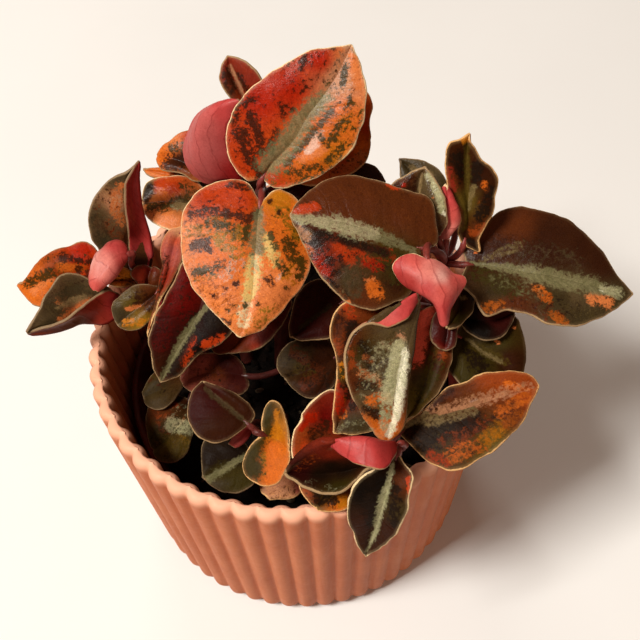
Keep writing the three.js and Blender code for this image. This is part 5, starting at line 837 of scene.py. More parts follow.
            [-33.6, 4.8, 87.3, -32.7, 4.7, 87.9, -31.9, 4.7, 88.3, -31.2, 4.9, 88.8, -30.8, 5.3, 89.4, -30.5, 5.9, 89.9, -30.5, 6.5, 90.5, -30.7, 7.1, 90.9, -31.1, 7.7, 91.2, -31.8, 8.2, 91.3, -32.7, 8.7, 91.0],
        ],
        "base": [
            ["RD", -35.9, 6.4, 91.0],
            ["BR", -33.2, 6.3, 89.8],
            ["DR", -34.1, 8.2, 91.3],
        ],
        "under": [
            ["PD", -34.2, 6.8, 90.4],
        ],
        "marks": [
        ],
    },
    "leaf_midleft_narrow": {
        "slot": "leaf_red_orange",
        "rib": 1,
        "cup": 0.6,
        "folded": False,
        "puff": 0,
        "open": [],
        "crosswise": False,
        "rim": [226, 178, 120],
        "mottle": 0.8,
        "gleam": 0.3,
        "slant": 0.85,
        "stem": "stem_back_left",
        "branch": 1,
        "at": 1.0,
        "via": [],
        "turned": False,
        "rails": [
            [-24.2, 11.0, 99.2, -24.2, 8.4, 98.2, -24.6, 6.0, 97.1, -25.5, 3.9, 95.9, -26.7, 1.9, 94.7, -28.1, 0.1, 93.4, -29.6, -1.5, 92.0, -30.9, -3.2, 90.5, -32.0, -4.9, 88.8, -33.1, -6.5, 86.9, -34.2, -8.1, 84.9],
            [-24.3, 12.2, 100.0, -26.0, 10.2, 99.1, -26.9, 7.9, 97.8, -27.5, 5.7, 96.5, -28.2, 3.5, 95.0, -29.0, 1.4, 93.5, -30.0, -0.7, 91.9, -30.9, -2.6, 90.3, -32.0, -4.5, 88.6, -33.1, -6.3, 86.8, -34.2, -8.1, 84.9],
            [-24.5, 13.0, 100.6, -27.4, 12.4, 100.2, -29.2, 10.4, 98.9, -29.9, 8.1, 97.4, -29.4, 5.6, 95.7, -30.2, 3.2, 94.0, -30.9, 0.9, 92.3, -31.6, -1.4, 90.5, -32.5, -3.6, 88.6, -33.5, -5.8, 86.8, -34.2, -8.1, 84.9],
        ],
        "base": [
            ["RB", -25.9, 10.1, 99.0],
            ["PB", -27.1, 7.5, 97.6],
            ["RD", -28.9, 2.1, 93.9],
            ["BR", -32.2, -3.5, 88.9],
            ["BO", -33.5, -6.7, 86.3],
            ["TP", -25.5, 11.3, 99.6],
        ],
        "under": [
            ["R", -25.8, 5.2, 96.6],
            ["DR", -27.4, 1.6, 94.3],
            ["PD", -29.9, -1.9, 91.7],
        ],
        "marks": [
            [1, "BO", 1.28, 1.28, 0.3, -30.3, 2.6, 93.6, -32.2, -3.4, 88.9],
            [2, "DB", 1.79, 1.79, 0.2, -29.4, 6.1, 96.1, -31.7, -2.2, 90.0],
        ],
    },
    "leaf_midleft_long": {
        "slot": "leaf_brown",
        "rib": 1,
        "cup": 0.6,
        "folded": False,
        "puff": 0,
        "open": [],
        "crosswise": False,
        "rim": [168, 138, 100],
        "mottle": 0.6,
        "gleam": 0.05,
        "slant": 0.85,
        "stem": "stem_back_left",
        "branch": 1,
        "at": 1.0,
        "via": [],
        "turned": False,
        "rails": [
            [-18.3, 6.0, 97.3, -14.6, 3.7, 96.5, -12.6, 0.4, 94.6, -11.7, -3.0, 92.2, -12.1, -6.5, 89.7, -13.7, -9.5, 87.2, -16.9, -11.6, 85.3, -21.0, -12.5, 84.0, -24.4, -14.3, 82.0, -27.6, -16.3, 79.7, -31.9, -16.8, 78.3],
            [-19.0, 5.6, 97.0, -19.5, 2.9, 95.4, -19.9, 0.1, 93.7, -20.5, -2.5, 91.9, -21.4, -4.9, 90.1, -23.0, -7.1, 88.3, -24.8, -9.1, 86.5, -26.7, -11.0, 84.7, -28.5, -12.9, 82.7, -30.2, -14.9, 80.5, -31.9, -16.8, 78.2],
            [-19.5, 6.4, 97.6, -22.6, 6.1, 98.8, -24.8, 3.4, 97.5, -26.5, 0.6, 95.8, -28.6, -2.0, 94.0, -30.5, -4.5, 92.0, -32.1, -7.0, 89.7, -33.5, -9.5, 87.1, -33.3, -12.1, 84.3, -33.0, -14.6, 81.4, -31.9, -16.8, 78.3],
        ],
        "base": [
            ["DR", -25.6, -3.0, 92.4],
            ["MA", -29.5, -8.4, 87.8],
            ["DK", -17.7, -6.6, 89.0],
            ["DK", -21.5, -11.0, 85.2],
            ["DB", -15.1, -3.1, 91.8],
            ["DR", -23.0, 1.8, 95.7],
            ["DB", -28.7, -15.1, 80.5],
            ["DR", -20.5, 4.6, 96.8],
        ],
        "under": [
            ["PD", -21.3, -6.6, 88.7],
        ],
        "marks": [
            [1, "OR", 1.28, 1.28, 0.6, -25.7, -13.7, 82.3, -24.1, -11.9, 84.1, -22.8, -9.9, 85.9],
            [1, "OR", 1.28, 1.28, 0.5, -20.3, -11.1, 85.3, -16.4, -10.3, 86.3],
            [1, "DR", 2.05, 2.05, 0.2, -30.9, -10.7, 85.5, -28.8, -7.4, 88.7],
            [1, "R", 2.05, 2.05, -0.15, -29.4, -6.4, 89.9, -25.5, -1.2, 94.0],
            [2, "BK", 2.05, 2.05, 0.6, -22.0, -6.0, 89.2, -25.4, -10.9, 84.8, -28.8, -14.6, 80.9],
            [2, "BK", 2.56, 2.56, 0.3, -17.7, -6.6, 89.0, -13.2, -3.1, 92.0],
            [2, "BK", 2.56, 2.56, -0.05, -30.1, -11.5, 84.4, -25.5, -1.2, 94.0],
            [3, "SV", 0.77, 1.54, 0.62, -18.3, -3.3, 91.3, -22.2, -6.4, 88.9, -25.9, -10.1, 85.6],
            [3, "SV", 1.54, 0.9, 0.62, -25.9, -10.1, 85.6, -29.0, -13.4, 82.2, -31.6, -16.2, 79.0],
            [3, "SG", 0.67, 0.67, 0.45, -27.5, -11.4, 84.3, -31.1, -15.7, 79.6],
        ],
    },
    "leaf_right_broad": {
        "slot": "leaf_brown",
        "rib": 1,
        "cup": 0.6,
        "folded": False,
        "puff": 0,
        "open": [],
        "crosswise": False,
        "rim": [168, 138, 100],
        "mottle": 0.8,
        "gleam": 0.6,
        "slant": 0.85,
        "stem": "stem_right",
        "branch": 0,
        "at": 1.0,
        "via": [],
        "turned": False,
        "rails": [
            [29.7, -6.8, 110.0, 29.4, -11.2, 107.9, 27.0, -15.2, 106.4, 22.8, -17.6, 106.0, 18.1, -18.8, 106.2, 13.7, -18.1, 107.4, 10.3, -15.6, 109.4, 7.5, -12.5, 111.5, 5.3, -8.9, 113.6, 3.6, -5.0, 115.8, 1.8, -1.1, 117.9],
            [30.2, -6.0, 110.4, 27.2, -6.0, 111.4, 24.3, -5.7, 112.5, 21.5, -5.0, 113.7, 18.8, -4.3, 114.7, 16.1, -3.6, 115.6, 13.3, -3.0, 116.4, 10.4, -2.6, 116.9, 7.6, -2.0, 117.4, 4.7, -1.5, 117.7, 1.8, -1.1, 117.9],
            [30.6, -6.6, 110.0, 33.6, -4.6, 110.6, 33.6, -0.2, 113.1, 32.7, 3.6, 115.3, 28.0, 5.0, 116.7, 23.4, 6.3, 118.1, 18.6, 7.3, 119.4, 13.7, 7.5, 120.3, 8.9, 5.7, 120.2, 4.8, 2.8, 119.3, 1.8, -1.1, 117.9],
        ],
        "base": [
            ["BR", 17.0, 2.0, 117.8],
            ["BR", 11.0, 4.1, 119.4],
            ["BR", 8.7, 0.8, 118.5],
            ["BR", 25.7, -0.2, 115.1],
            ["BR", 31.1, -2.5, 112.5],
            ["OL", 22.9, -9.4, 110.8],
            ["DB", 24.4, -13.8, 107.9],
            ["GB", 14.0, -13.4, 110.2],
            ["RD", 7.8, -10.2, 112.8],
            ["BR", 16.6, -17.2, 107.4],
            ["OM", 27.2, -11.5, 108.4],
            ["DB", 5.9, -6.1, 115.2],
        ],
        "under": [
            ["PK", 18.7, -7.7, 112.8],
        ],
        "marks": [
            [1, "OR", 1.28, 1.28, 0.6, 3.5, -0.5, 118.1, 7.2, 0.1, 118.3],
            [1, "OR", 1.03, 1.03, 0.5, 23.5, 5.9, 117.9, 25.5, 5.3, 117.3],
            [1, "R", 1.54, 1.54, 0.5, 6.9, -10.3, 112.8, 9.3, -12.1, 111.6],
            [1, "OR", 2.05, 2.05, 0.5, 11.6, -8.1, 113.8, 13.9, -10.2, 112.2],
            [1, "OR", 1.28, 1.28, 0.35, 15.6, -8.1, 113.2, 17.7, -9.6, 111.9],
            [1, "O", 1.79, 1.79, 0.85, 18.4, -14.2, 108.9, 19.7, -15.6, 107.8],
            [1, "S", 0.77, 0.77, 0.6, 17.2, -13.6, 109.5, 18.9, -13.2, 109.5],
            [1, "S", 1.03, 1.03, 0.4, 12.9, -17.7, 107.8, 11.6, -15.7, 109.2],
            [1, "GR", 1.28, 1.28, 0.4, 4.0, -4.1, 116.3, 6.6, -5.5, 115.6],
            [1, "OR", 1.54, 1.54, 0.1, 19.1, -8.2, 112.4, 22.8, -8.7, 111.3],
            [1, "R", 3.08, 3.08, -0.15, 7.2, -9.1, 113.5, 14.1, -12.4, 110.8],
            [1, "R", 1.54, 1.54, 0.3, 17.7, -10.1, 111.6, 19.7, -11.1, 110.6],
            [1, "OR", 2.05, 2.05, -0.02, 10.2, -8.3, 113.8, 14.7, -11.5, 111.2],
            [1, "O", 1.03, 1.03, 0.4, 5.0, -7.3, 114.5, 6.1, -8.3, 113.9],
            [2, "BK", 1.28, 1.28, 0.5, 4.4, -5.3, 115.6, 8.2, -7.3, 114.5],
            [2, "BK", 1.28, 1.28, 0.6, 7.6, -5.3, 115.7, 12.9, -6.2, 114.7, 16.6, -7.3, 113.4, 21.7, -8.3, 111.7],
            [2, "OL", 2.05, 2.05, 0.3, 23.8, -12.2, 109.0, 26.0, -10.3, 109.4],
            [2, "BK", 1.28, 1.28, 0.4, 8.4, -13.6, 110.8, 12.5, -16.4, 108.6],
            [2, "BK", 0.51, 0.51, 0.8, 20.2, -15.0, 108.1],
            [2, "BK", 1.28, 1.28, 0.3, 9.7, -10.2, 112.7, 11.2, -12.2, 111.3],
            [2, "BK", 3.08, 3.08, -0.15, 14.2, -11.9, 111.1, 23.9, -10.9, 109.7],
            [2, "BK", 1.03, 1.03, 0.4, 12.1, -10.3, 112.4, 13.3, -11.5, 111.5],
            [2, "BK", 2.31, 2.31, 0.1, 7.5, -8.2, 114.0, 10.7, -10.4, 112.5],
            [3, "SL", 1.03, 2.31, 0.6, 3.0, -1.6, 117.6, 7.1, -2.5, 117.2, 12.0, -3.4, 116.4],
            [3, "SL", 2.56, 2.05, 0.6, 12.0, -3.4, 116.4, 16.1, -4.3, 115.3, 20.1, -4.9, 114.1],
            [3, "SV", 2.05, 1.03, 0.5, 20.1, -4.9, 114.1, 24.2, -5.8, 112.5, 28.0, -6.9, 110.6],
            [3, "SG", 1.03, 1.03, 0.4, 4.1, -2.5, 117.2, 8.5, -3.6, 116.6, 12.6, -4.3, 115.8],
            [3, "SG", 1.28, 1.28, 0.3, 9.8, -3.7, 116.4, 16.6, -5.4, 114.6],
            [3, "GR", 2.31, 2.31, 0.3, 14.2, -11.9, 111.1, 14.9, -15.3, 108.9],
            [3, "MG", 1.54, 1.54, -0.02, 12.8, -14.9, 109.5, 16.2, -11.9, 110.8],
            [3, "TP", 1.28, 1.28, 0.35, 3.5, -4.1, 116.3, 5.6, -5.7, 115.4],
        ],
    },
    "leaf_right_outer": {
        "slot": "leaf_brown",
        "rib": 1,
        "cup": 0.6,
        "folded": False,
        "puff": 0,
        "open": [],
        "crosswise": False,
        "rim": [168, 138, 100],
        "mottle": 0.5,
        "gleam": 0.6,
        "slant": 0.85,
        "stem": "stem_right",
        "branch": 0,
        "at": 1.0,
        "via": [],
        "turned": False,
        "rails": [
            [41.3, -2.3, 99.7, 41.1, 1.8, 101.7, 44.7, 3.7, 102.8, 49.0, 7.9, 104.4, 54.6, 9.2, 105.0, 60.2, 8.0, 104.6, 65.3, 5.5, 103.7, 69.4, 1.7, 102.3, 72.9, -2.4, 100.5, 75.3, -7.1, 98.4, 78.7, -11.1, 96.1],
            [41.7, -2.8, 99.6, 45.5, -3.5, 100.0, 49.1, -4.6, 100.1, 52.7, -5.8, 100.1, 56.3, -6.8, 100.0, 60.0, -7.6, 99.7, 63.6, -8.6, 99.2, 67.2, -9.6, 98.6, 70.9, -10.4, 97.8, 74.7, -10.8, 97.0, 78.7, -11.1, 96.1],
            [41.3, -3.0, 99.5, 39.4, -7.6, 99.3, 41.9, -12.3, 98.7, 44.0, -16.5, 98.0, 48.9, -15.4, 98.4, 53.6, -16.7, 98.0, 58.0, -19.1, 97.1, 63.2, -19.5, 96.5, 68.5, -17.6, 96.3, 73.8, -14.9, 96.1, 78.7, -11.1, 96.1],
        ],
        "base": [
            ["BR", 54.1, 4.7, 103.5],
            ["DB", 60.7, 2.4, 102.8],
            ["DB", 67.4, -1.6, 101.2],
            ["BR", 44.8, 3.8, 102.8],
            ["DB", 59.6, -1.2, 101.6],
            ["DB", 71.6, -4.9, 99.7],
            ["GB", 48.0, -10.3, 99.1],
            ["GB", 61.3, -13.2, 98.2],
            ["BR", 49.9, -14.0, 98.6],
            ["GB", 65.3, -17.3, 96.8],
            ["GB", 72.4, -12.8, 96.8],
            ["DB", 44.7, 0.2, 101.4],
            ["GR", 64.5, -13.1, 97.9],
        ],
        "under": [
            ["PD", 55.6, -5.9, 100.2],
        ],
        "marks": [
            [1, "O", 1.54, 1.54, 0.3, 56.2, -10.8, 99.1, 57.9, -13.1, 98.5],
            [1, "S", 1.79, 1.79, 0.6, 68.2, -12.9, 97.5, 71.6, -13.6, 96.8],
            [1, "DO", 1.54, 1.54, 0.35, 58.9, -16.9, 97.5, 60.4, -18.4, 97.0],
            [1, "DO", 1.79, 1.79, 0.25, 44.6, -14.5, 98.4, 47.7, -14.6, 98.5],
            [1, "O", 0.77, 0.77, 0.4, 43.9, -0.2, 101.1],
            [1, "BD", 2.56, 2.56, 0.1, 51.5, -15.5, 98.3, 58.7, -17.3, 97.5],
            [1, "BR", 2.56, 2.56, 0.2, 45.4, 4.3, 103.1, 49.8, 6.1, 103.8],
            [2, "OL", 2.56, 2.56, 0.3, 44.1, -5.7, 99.6, 50.4, -10.3, 99.1],
            [2, "DB", 2.31, 2.31, 0.3, 49.3, 0.4, 101.8, 62.5, -4.1, 100.6],
            [2, "BK", 2.05, 2.05, -0.1, 51.1, -13.0, 98.8, 62.9, -15.1, 97.6],
            [3, "SV", 0.77, 2.05, 0.8, 42.7, -2.7, 99.8, 48.7, -4.6, 100.1, 55.5, -6.4, 100.1],
            [3, "SV", 3.08, 2.82, 0.8, 55.4, -6.8, 100.0, 61.6, -8.7, 99.3, 69.7, -10.3, 98.0],
            # The pale grey, cream and white marks along the band's outer half and at the tip are painted highlight; the
            # other marks are the band's own colour.
            [3, "SG", 2.05, 2.05, 0.55, 60.2, -7.9, 99.6, 65.9, -9.5, 98.8, 71.3, -10.6, 97.7],
            [3, "PL", 0.9, 0.9, 0.4, 62.5, -7.6, 99.6, 67.5, -9.9, 98.5],
            [3, "SG", 1.79, 1.79, 0.7, 68.6, -10.1, 98.3, 74.6, -11.1, 96.9],
            [3, "WH", 1.03, 1.03, 0.5, 68.7, -9.8, 98.3, 73.5, -10.8, 97.2],
            [3, "TG", 0.51, 1.54, 0.2, 44.2, -2.4, 100.1, 48.9, -1.3, 101.2, 53.4, -0.2, 101.9],
            [3, "TG", 2.31, 2.31, -0.08, 65.9, -17.4, 96.7, 75.3, -13.2, 96.2],
            [3, "SV", 2.31, 2.31, 0.05, 48.4, -7.3, 99.6, 54.9, -11.5, 99.0],
            [3, "GR", 3.59, 3.59, 0.1, 55.6, -3.1, 101.1, 63.6, -4.5, 100.5],
            [3, "PL", 1.03, 1.03, 0.5, 59.0, -8.0, 99.6, 65.4, -9.3, 98.9],
            [3, "WH", 1.15, 1.15, 0.7, 64.9, -9.2, 98.9, 71.2, -10.8, 97.6],
        ],
    },
    "leaf_right_upright": {
        "slot": "leaf_olive",
        "rib": 1,
        "cup": 0.6,
        "folded": False,
        "puff": 0,
        "open": [],
        "crosswise": False,
        "rim": [226, 178, 120],
        "mottle": 0.6,
        "gleam": 0.2,
        "slant": 0.85,
        "stem": "stem_right",
        "branch": 0,
        "at": 1.0,
        "via": [],
        "turned": False,
        "rails": [
            [40.3, 0.7, 103.0, 39.3, 1.9, 105.8, 39.8, 3.3, 108.6, 39.1, 4.8, 111.3, 37.7, 6.2, 113.6, 36.8, 7.8, 115.9, 36.4, 9.4, 118.4, 36.4, 11.1, 120.8, 37.2, 12.5, 123.1, 39.8, 13.2, 123.7, 42.0, 14.3, 124.4],
            [40.9, 0.7, 103.2, 41.5, 2.0, 105.5, 41.8, 3.3, 107.7, 41.7, 4.7, 109.9, 41.6, 6.1, 112.0, 41.4, 7.5, 114.1, 41.2, 8.9, 116.2, 41.2, 10.2, 118.2, 41.3, 11.6, 120.3, 41.5, 12.9, 122.3, 41.8, 14.3, 124.2],
            [41.4, 0.1, 102.6, 44.3, -1.6, 102.6, 44.2, 0.0, 105.2, 45.3, 1.4, 107.7, 47.2, 2.9, 110.3, 47.6, 4.8, 113.2, 48.2, 6.7, 116.2, 46.8, 8.7, 118.6, 44.3, 10.5, 120.3, 42.6, 12.5, 122.6, 42.0, 14.3, 124.4],
        ],
        "base": [
            ["DB", 42.2, 8.4, 115.6],
            ["OM", 41.4, 6.1, 111.9],
            ["DB", 38.7, 10.2, 118.6],
            ["DB", 46.5, 4.9, 112.7],
            ["BR", 37.7, 8.3, 116.3],
            ["DB", 45.9, 8.7, 118.1],
            ["BR", 44.8, 0.9, 106.7],
            ["DB", 41.1, 1.1, 103.9],
        ],
        "under": [
            ["PK", 42.1, 7.2, 113.8],
        ],
        "marks": [
            [1, "O", 0.9, 0.9, 0.6, 45.0, 7.4, 115.6, 45.6, 6.4, 114.4],
            [1, "O", 0.77, 0.77, 0.4, 44.8, 5.8, 113.0, 44.3, 5.0, 111.7],
            [1, "RD", 1.03, 1.03, 0.5, 37.3, 9.7, 118.5, 38.0, 7.0, 114.4],
            [1, "G", 1.03, 1.03, 1.3, 40.6, 13.4, 123.7, 42.1, 13.8, 123.9],
            [1, "BO", 1.28, 1.28, 0.4, 43.1, 1.5, 106.1, 45.4, 1.5, 107.8],
            [1, "RD", 1.03, 1.03, 0.3, 39.3, 4.4, 110.7, 39.9, 2.9, 107.8],
            [2, "BK", 1.54, 1.54, 0.5, 39.0, 11.4, 120.5, 40.3, 9.2, 116.6],
            [2, "BK", 1.54, 1.54, 0.5, 43.8, 9.8, 118.7, 43.3, 8.2, 115.9],
            [2, "BK", 1.54, 1.54, 0.4, 40.4, 0.7, 103.0, 43.8, -0.3, 104.2],
            [2, "BK", 1.54, 1.54, 0.4, 46.3, 6.1, 114.4, 44.6, 3.3, 109.6],
            [3, "OM", 1.18, 1.18, 0.8, 41.2, 12.8, 122.1, 41.5, 9.1, 116.6, 41.3, 5.3, 110.8, 40.6, 2.8, 106.9],
            [3, "TG", 1.03, 1.03, 0.6, 43.1, 7.4, 114.6, 41.7, 4.9, 110.3],
        ],
    },
    "leaf_right_back_1": {
        "slot": "leaf_silver",
        "rib": 1,
        "cup": 0.6,
        "folded": False,
        "puff": 0,
        "open": [],
        "crosswise": False,
        "rim": [140, 116, 86],
        "mottle": 0.4,
        "gleam": 0.6,
        "slant": 0.85,
        "stem": "stem_right",
        "branch": 0,
        "at": 1.0,
        "via": [],
        "turned": False,
        "rails": [
            [39.8, 10.3, 98.7, 37.6, 10.4, 99.4, 35.5, 10.9, 100.2, 33.6, 11.7, 101.2, 32.1, 12.8, 102.3, 30.7, 14.1, 103.5, 29.5, 15.5, 104.7, 28.5, 17.1, 105.9, 28.1, 18.9, 107.1, 27.9, 20.8, 108.3, 27.9, 22.8, 109.4],
            [39.9, 10.7, 99.0, 38.9, 11.8, 100.4, 37.9, 13.0, 101.7, 36.9, 14.2, 103.0, 35.7, 15.4, 104.1, 34.4, 16.5, 105.1, 33.1, 17.7, 106.1, 31.8, 18.9, 107.0, 30.5, 20.2, 107.8, 29.2, 21.5, 108.6, 27.9, 22.8, 109.4],
            [40.3, 10.8, 99.2, 40.8, 12.2, 101.1, 40.7, 13.7, 102.9, 39.9, 15.2, 104.6, 39.0, 16.7, 106.1, 38.0, 18.2, 107.5, 36.6, 19.7, 108.7, 34.7, 20.8, 109.5, 32.5, 21.6, 109.8, 30.2, 22.2, 109.6, 27.9, 22.8, 109.4],
        ],
        "base": [
            ["GR", 34.9, 19.5, 108.2],
            ["GB", 30.3, 20.3, 107.9],
            ["GB", 38.4, 16.6, 105.8],
            ["GR", 32.6, 18.1, 106.4],
        ],
        "under": [
            ["PD", 34.7, 16.3, 104.9],
        ],
        "marks": [
            [3, "MG", 1.03, 1.03, 0.5, 30.8, 20.6, 108.2, 35.4, 18.6, 107.3],
        ],
    },
    "leaf_right_back_2": {
        "slot": "leaf_silver",
        "rib": 1,
        "cup": 0.6,
        "folded": False,
        "puff": 0,
        "open": [],
        "crosswise": False,
        "rim": [168, 138, 100],
        "mottle": 0.4,
        "gleam": 1,
        "slant": 0.85,
        "stem": "stem_right",
        "branch": 0,
        "at": 1.0,
        "via": [],
        "turned": False,
        "rails": [
            [33.8, 0.4, 106.3, 31.3, 0.9, 107.0, 28.9, 1.7, 107.8, 26.9, 2.9, 109.2, 25.3, 4.3, 110.8, 24.1, 5.8, 112.6, 23.9, 7.3, 114.7, 25.3, 8.4, 116.6, 27.6, 8.8, 117.7, 29.8, 9.4, 118.8, 32.2, 9.8, 119.3],
            [34.5, 0.2, 106.5, 33.8, 1.1, 107.9, 33.1, 2.0, 109.3, 32.4, 2.9, 110.6, 31.7, 3.9, 111.9, 31.0, 4.9, 113.1, 30.6, 6.0, 114.3, 30.5, 7.1, 115.6, 30.8, 8.1, 117.0, 31.4, 9.0, 118.2, 32.2, 9.8, 119.3],
            [35.1, 0.2, 106.8, 36.0, 0.4, 108.7, 36.5, 0.8, 110.5, 36.6, 1.6, 112.3, 36.5, 2.5, 113.8, 36.1, 3.5, 115.2, 35.4, 4.6, 116.3, 34.7, 5.7, 117.2, 33.9, 7.0, 118.1, 33.1, 8.4, 118.8, 32.2, 9.8, 119.3],
        ],
        "base": [
            ["BR", 27.6, 8.4, 116.9],
            ["GR", 31.3, 7.3, 116.3],
            ["DB", 26.4, 7.1, 114.9],
            ["BR", 30.8, 3.3, 110.7],
            ["GR", 34.1, 4.2, 114.4],
        ],
        "under": [
            ["PD", 30.7, 5.3, 113.5],
        ],
        "marks": [
            [1, "R", 0.77, 0.77, 1, 27.6, 7.8, 116.0],
            [1, "S", 0.77, 0.77, 0.8, 33.7, 4.7, 114.8],
            [2, "DB", 1.28, 1.28, 0.4, 29.1, 8.5, 117.2, 28.7, 7.0, 115.0],
            [3, "MG", 0.77, 0.77, 0.9, 31.2, 8.7, 117.8, 30.7, 5.9, 114.2],
            # painted highlight: a pale grey and white strip down the right side
            [3, "SG", 1.28, 1.28, 1.0, 33.0, 7.9, 118.3, 34.6, 4.9, 116.0, 35.6, 2.7, 113.3],
            [3, "WH", 0.82, 0.82, 1.0, 33.1, 7.7, 118.2, 34.9, 4.3, 115.4, 35.9, 2.1, 112.5],
        ],
    },
    "leaf_right_back_3": {
        "slot": "leaf_pink",
        "rib": 1,
        "cup": -0.8,
        "folded": False,
        "puff": 0,
        "open": [],
        "crosswise": False,
        "rim": [244, 214, 165],
        "mottle": 0.3,
        "gleam": 0.5,
        "slant": 0.85,
        "stem": "stem_right",
        "branch": 0,
        "at": 1.0,
        "via": [],
        "turned": False,
        "rails": [
            [37.1, 0.5, 104.9, 37.6, 1.1, 106.2, 38.4, 1.4, 107.5, 39.4, 1.6, 108.7, 39.8, 2.1, 110.1, 39.6, 2.8, 111.4, 39.1, 3.6, 112.6, 38.2, 4.3, 113.4, 37.4, 5.1, 114.3, 36.8, 5.9, 115.5, 36.4, 6.5, 116.8],
            [36.7, 0.6, 104.8, 36.8, 1.1, 106.1, 37.0, 1.6, 107.5, 37.1, 2.1, 108.8, 37.1, 2.6, 110.1, 37.1, 3.1, 111.4, 37.1, 3.7, 112.5, 36.9, 4.4, 113.7, 36.8, 5.1, 114.8, 36.6, 5.8, 115.8, 36.4, 6.5, 116.8],
            [36.1, 0.8, 104.6, 35.5, 1.8, 105.5, 35.0, 2.7, 106.5, 34.6, 3.5, 107.6, 34.3, 4.3, 108.8, 34.1, 5.0, 110.1, 34.1, 5.6, 111.4, 34.4, 6.1, 112.8, 34.9, 6.5, 114.2, 35.7, 6.6, 115.6, 36.4, 6.6, 117.0],
        ],
        "base": [
            ["RD", 37.3, 2.8, 110.8],
        ],
        "under": [
            ["PI", 37.3, 2.8, 110.8],
            ["PJ", 38.6, 1.4, 107.7],
            ["PK", 36.7, 4.6, 113.8],
            ["PR", 35.3, 5.4, 112.9],
        ],
        "marks": [
        ],
    },
    "leaf_right_rolled": {
        "slot": "leaf_pink",
        "rib": 1,
        "cup": -0.35,
        "folded": False,
        "puff": 0.25,
        "open": [[37.7, -14.7, 109.6], [33.6, -22.4, 104.3], [35.3, -18.8, 106.2]],
        "crosswise": True,
        "rim": [244, 214, 165],
        "mottle": 0.3,
        "gleam": 0.5,
        "slant": 0.12,
        "stem": "stem_right",
        "branch": 0,
        "at": 1.0,
        "via": [],
        "turned": False,
        "rails": [
            [29.9, -11.0, 113.1, 27.5, -9.9, 113.2, 25.0, -10.2, 112.9, 23.3, -11.7, 111.7, 24.1, -13.5, 110.2, 26.0, -14.9, 108.9, 28.5, -15.5, 108.3, 30.9, -16.3, 107.6, 32.0, -18.2, 106.3, 32.7, -20.4, 105.0, 33.4, -22.8, 104.0],
            [30.5, -11.2, 112.9, 30.5, -13.0, 112.7, 31.0, -14.5, 112.4, 31.5, -15.8, 112.0, 32.0, -17.1, 111.3, 32.4, -18.3, 110.5, 32.7, -19.4, 109.6, 32.9, -20.4, 108.4, 33.1, -21.3, 107.1, 33.2, -22.1, 105.7, 33.4, -22.8, 104.0],
            [30.9, -11.2, 112.9, 33.0, -11.5, 111.9, 34.7, -12.3, 111.1, 36.2, -13.4, 110.1, 38.2, -13.9, 109.6, 38.6, -14.9, 108.8, 37.4, -16.4, 107.8, 36.1, -17.8, 106.9, 35.0, -19.3, 105.9, 34.3, -21.0, 104.8, 33.4, -22.8, 104.0],
        ],
        "base": [
            ["BR", 32.7, -16.0, 111.7],
        ],
        "under": [
            # Over the roll, the palest pinks in its middle are painted highlight and the darker reds along its lower
            # edge are painted shade.
            ["PK", 23.9, -11.8, 111.9],
            ["PI", 27.2, -12.7, 112.5],
            ["PJ", 30.4, -14.3, 112.5],
            ["PA", 32.9, -15.5, 111.7],
            ["PI", 35.4, -15.9, 110.5],
            ["PK", 34.1, -19.9, 107.8],
            ["PI", 32.7, -18.0, 110.7],
            ["PK", 30.2, -17.2, 110.7],
            ["PR", 27.1, -15.3, 110.4],
            ["PR", 24.6, -13.5, 110.6],
            ["PI", 37.7, -14.7, 109.6],
        ],
        "marks": [
            [1, "CR", 0.77, 0.77, 0.8, 38.0, -14.3, 109.6],
        ],
    },
    "leaf_hanging_1": {
        "slot": "leaf_silver",
        "rib": 1,
        "cup": 0.6,
        "folded": False,
        "puff": 0,
        "open": [],
        "crosswise": False,
        "rim": [168, 138, 100],
        "mottle": 0.8,
        "gleam": 0.9,
        "slant": 0.85,
        "stem": "stem_right",
        "branch": 1,
        "at": 1.0,
        "via": [],
        "turned": False,
        "rails": [
            [29.1, -15.0, 104.6, 27.7, -17.4, 102.6, 26.2, -19.9, 100.8, 26.0, -22.6, 98.8, 26.0, -25.5, 96.9, 25.6, -28.2, 94.9, 25.3, -31.0, 92.8, 25.0, -33.8, 90.8, 24.5, -36.5, 88.8, 22.9, -38.9, 86.9, 20.0, -40.3, 85.9],
            [28.9, -14.8, 104.8, 27.9, -17.7, 103.4, 26.9, -20.5, 101.9, 25.9, -23.2, 100.4, 24.8, -25.8, 98.7, 23.9, -28.3, 96.9, 23.0, -30.8, 94.9, 22.3, -33.3, 92.8, 21.6, -35.7, 90.6, 20.9, -38.0, 88.3, 20.0, -40.3, 85.9],
            [28.5, -15.7, 107.1, 24.6, -17.5, 106.5, 20.9, -19.0, 105.4, 17.5, -20.7, 103.9, 14.6, -22.8, 101.7, 13.2, -25.7, 99.1, 13.2, -29.0, 96.4, 14.0, -32.1, 93.8, 15.6, -35.1, 91.2, 17.5, -37.9, 88.7, 20.0, -40.5, 86.2],
            [28.5, -15.8, 104.6, 26.0, -20.3, 104.8, 22.0, -22.0, 104.1, 18.0, -21.0, 104.9, 14.2, -22.7, 103.4, 12.1, -25.4, 100.5, 12.0, -28.8, 97.5, 12.8, -32.1, 94.4, 14.8, -35.1, 91.6, 17.0, -38.0, 88.7, 20.0, -40.3, 85.9],
        ],
        "base": [
            ["BR", 13.8, -22.9, 101.0],
            ["GB", 17.6, -26.5, 98.2],
            ["GR", 20.6, -28.1, 97.1],
            ["GR", 15.9, -32.2, 93.7],
            ["O", 17.8, -38.7, 87.9],
            ["BR", 12.9, -29.6, 95.8],
            ["GR", 22.9, -21.5, 102.1],
            ["OL", 15.6, -24.5, 99.7],
        ],
        "under": [
            ["PK", 23.5, -17.6, 105.7],
            ["PI", 20.1, -19.2, 104.3],
            ["PK", 26.3, -16.7, 106.1],
        ],
        "marks": [
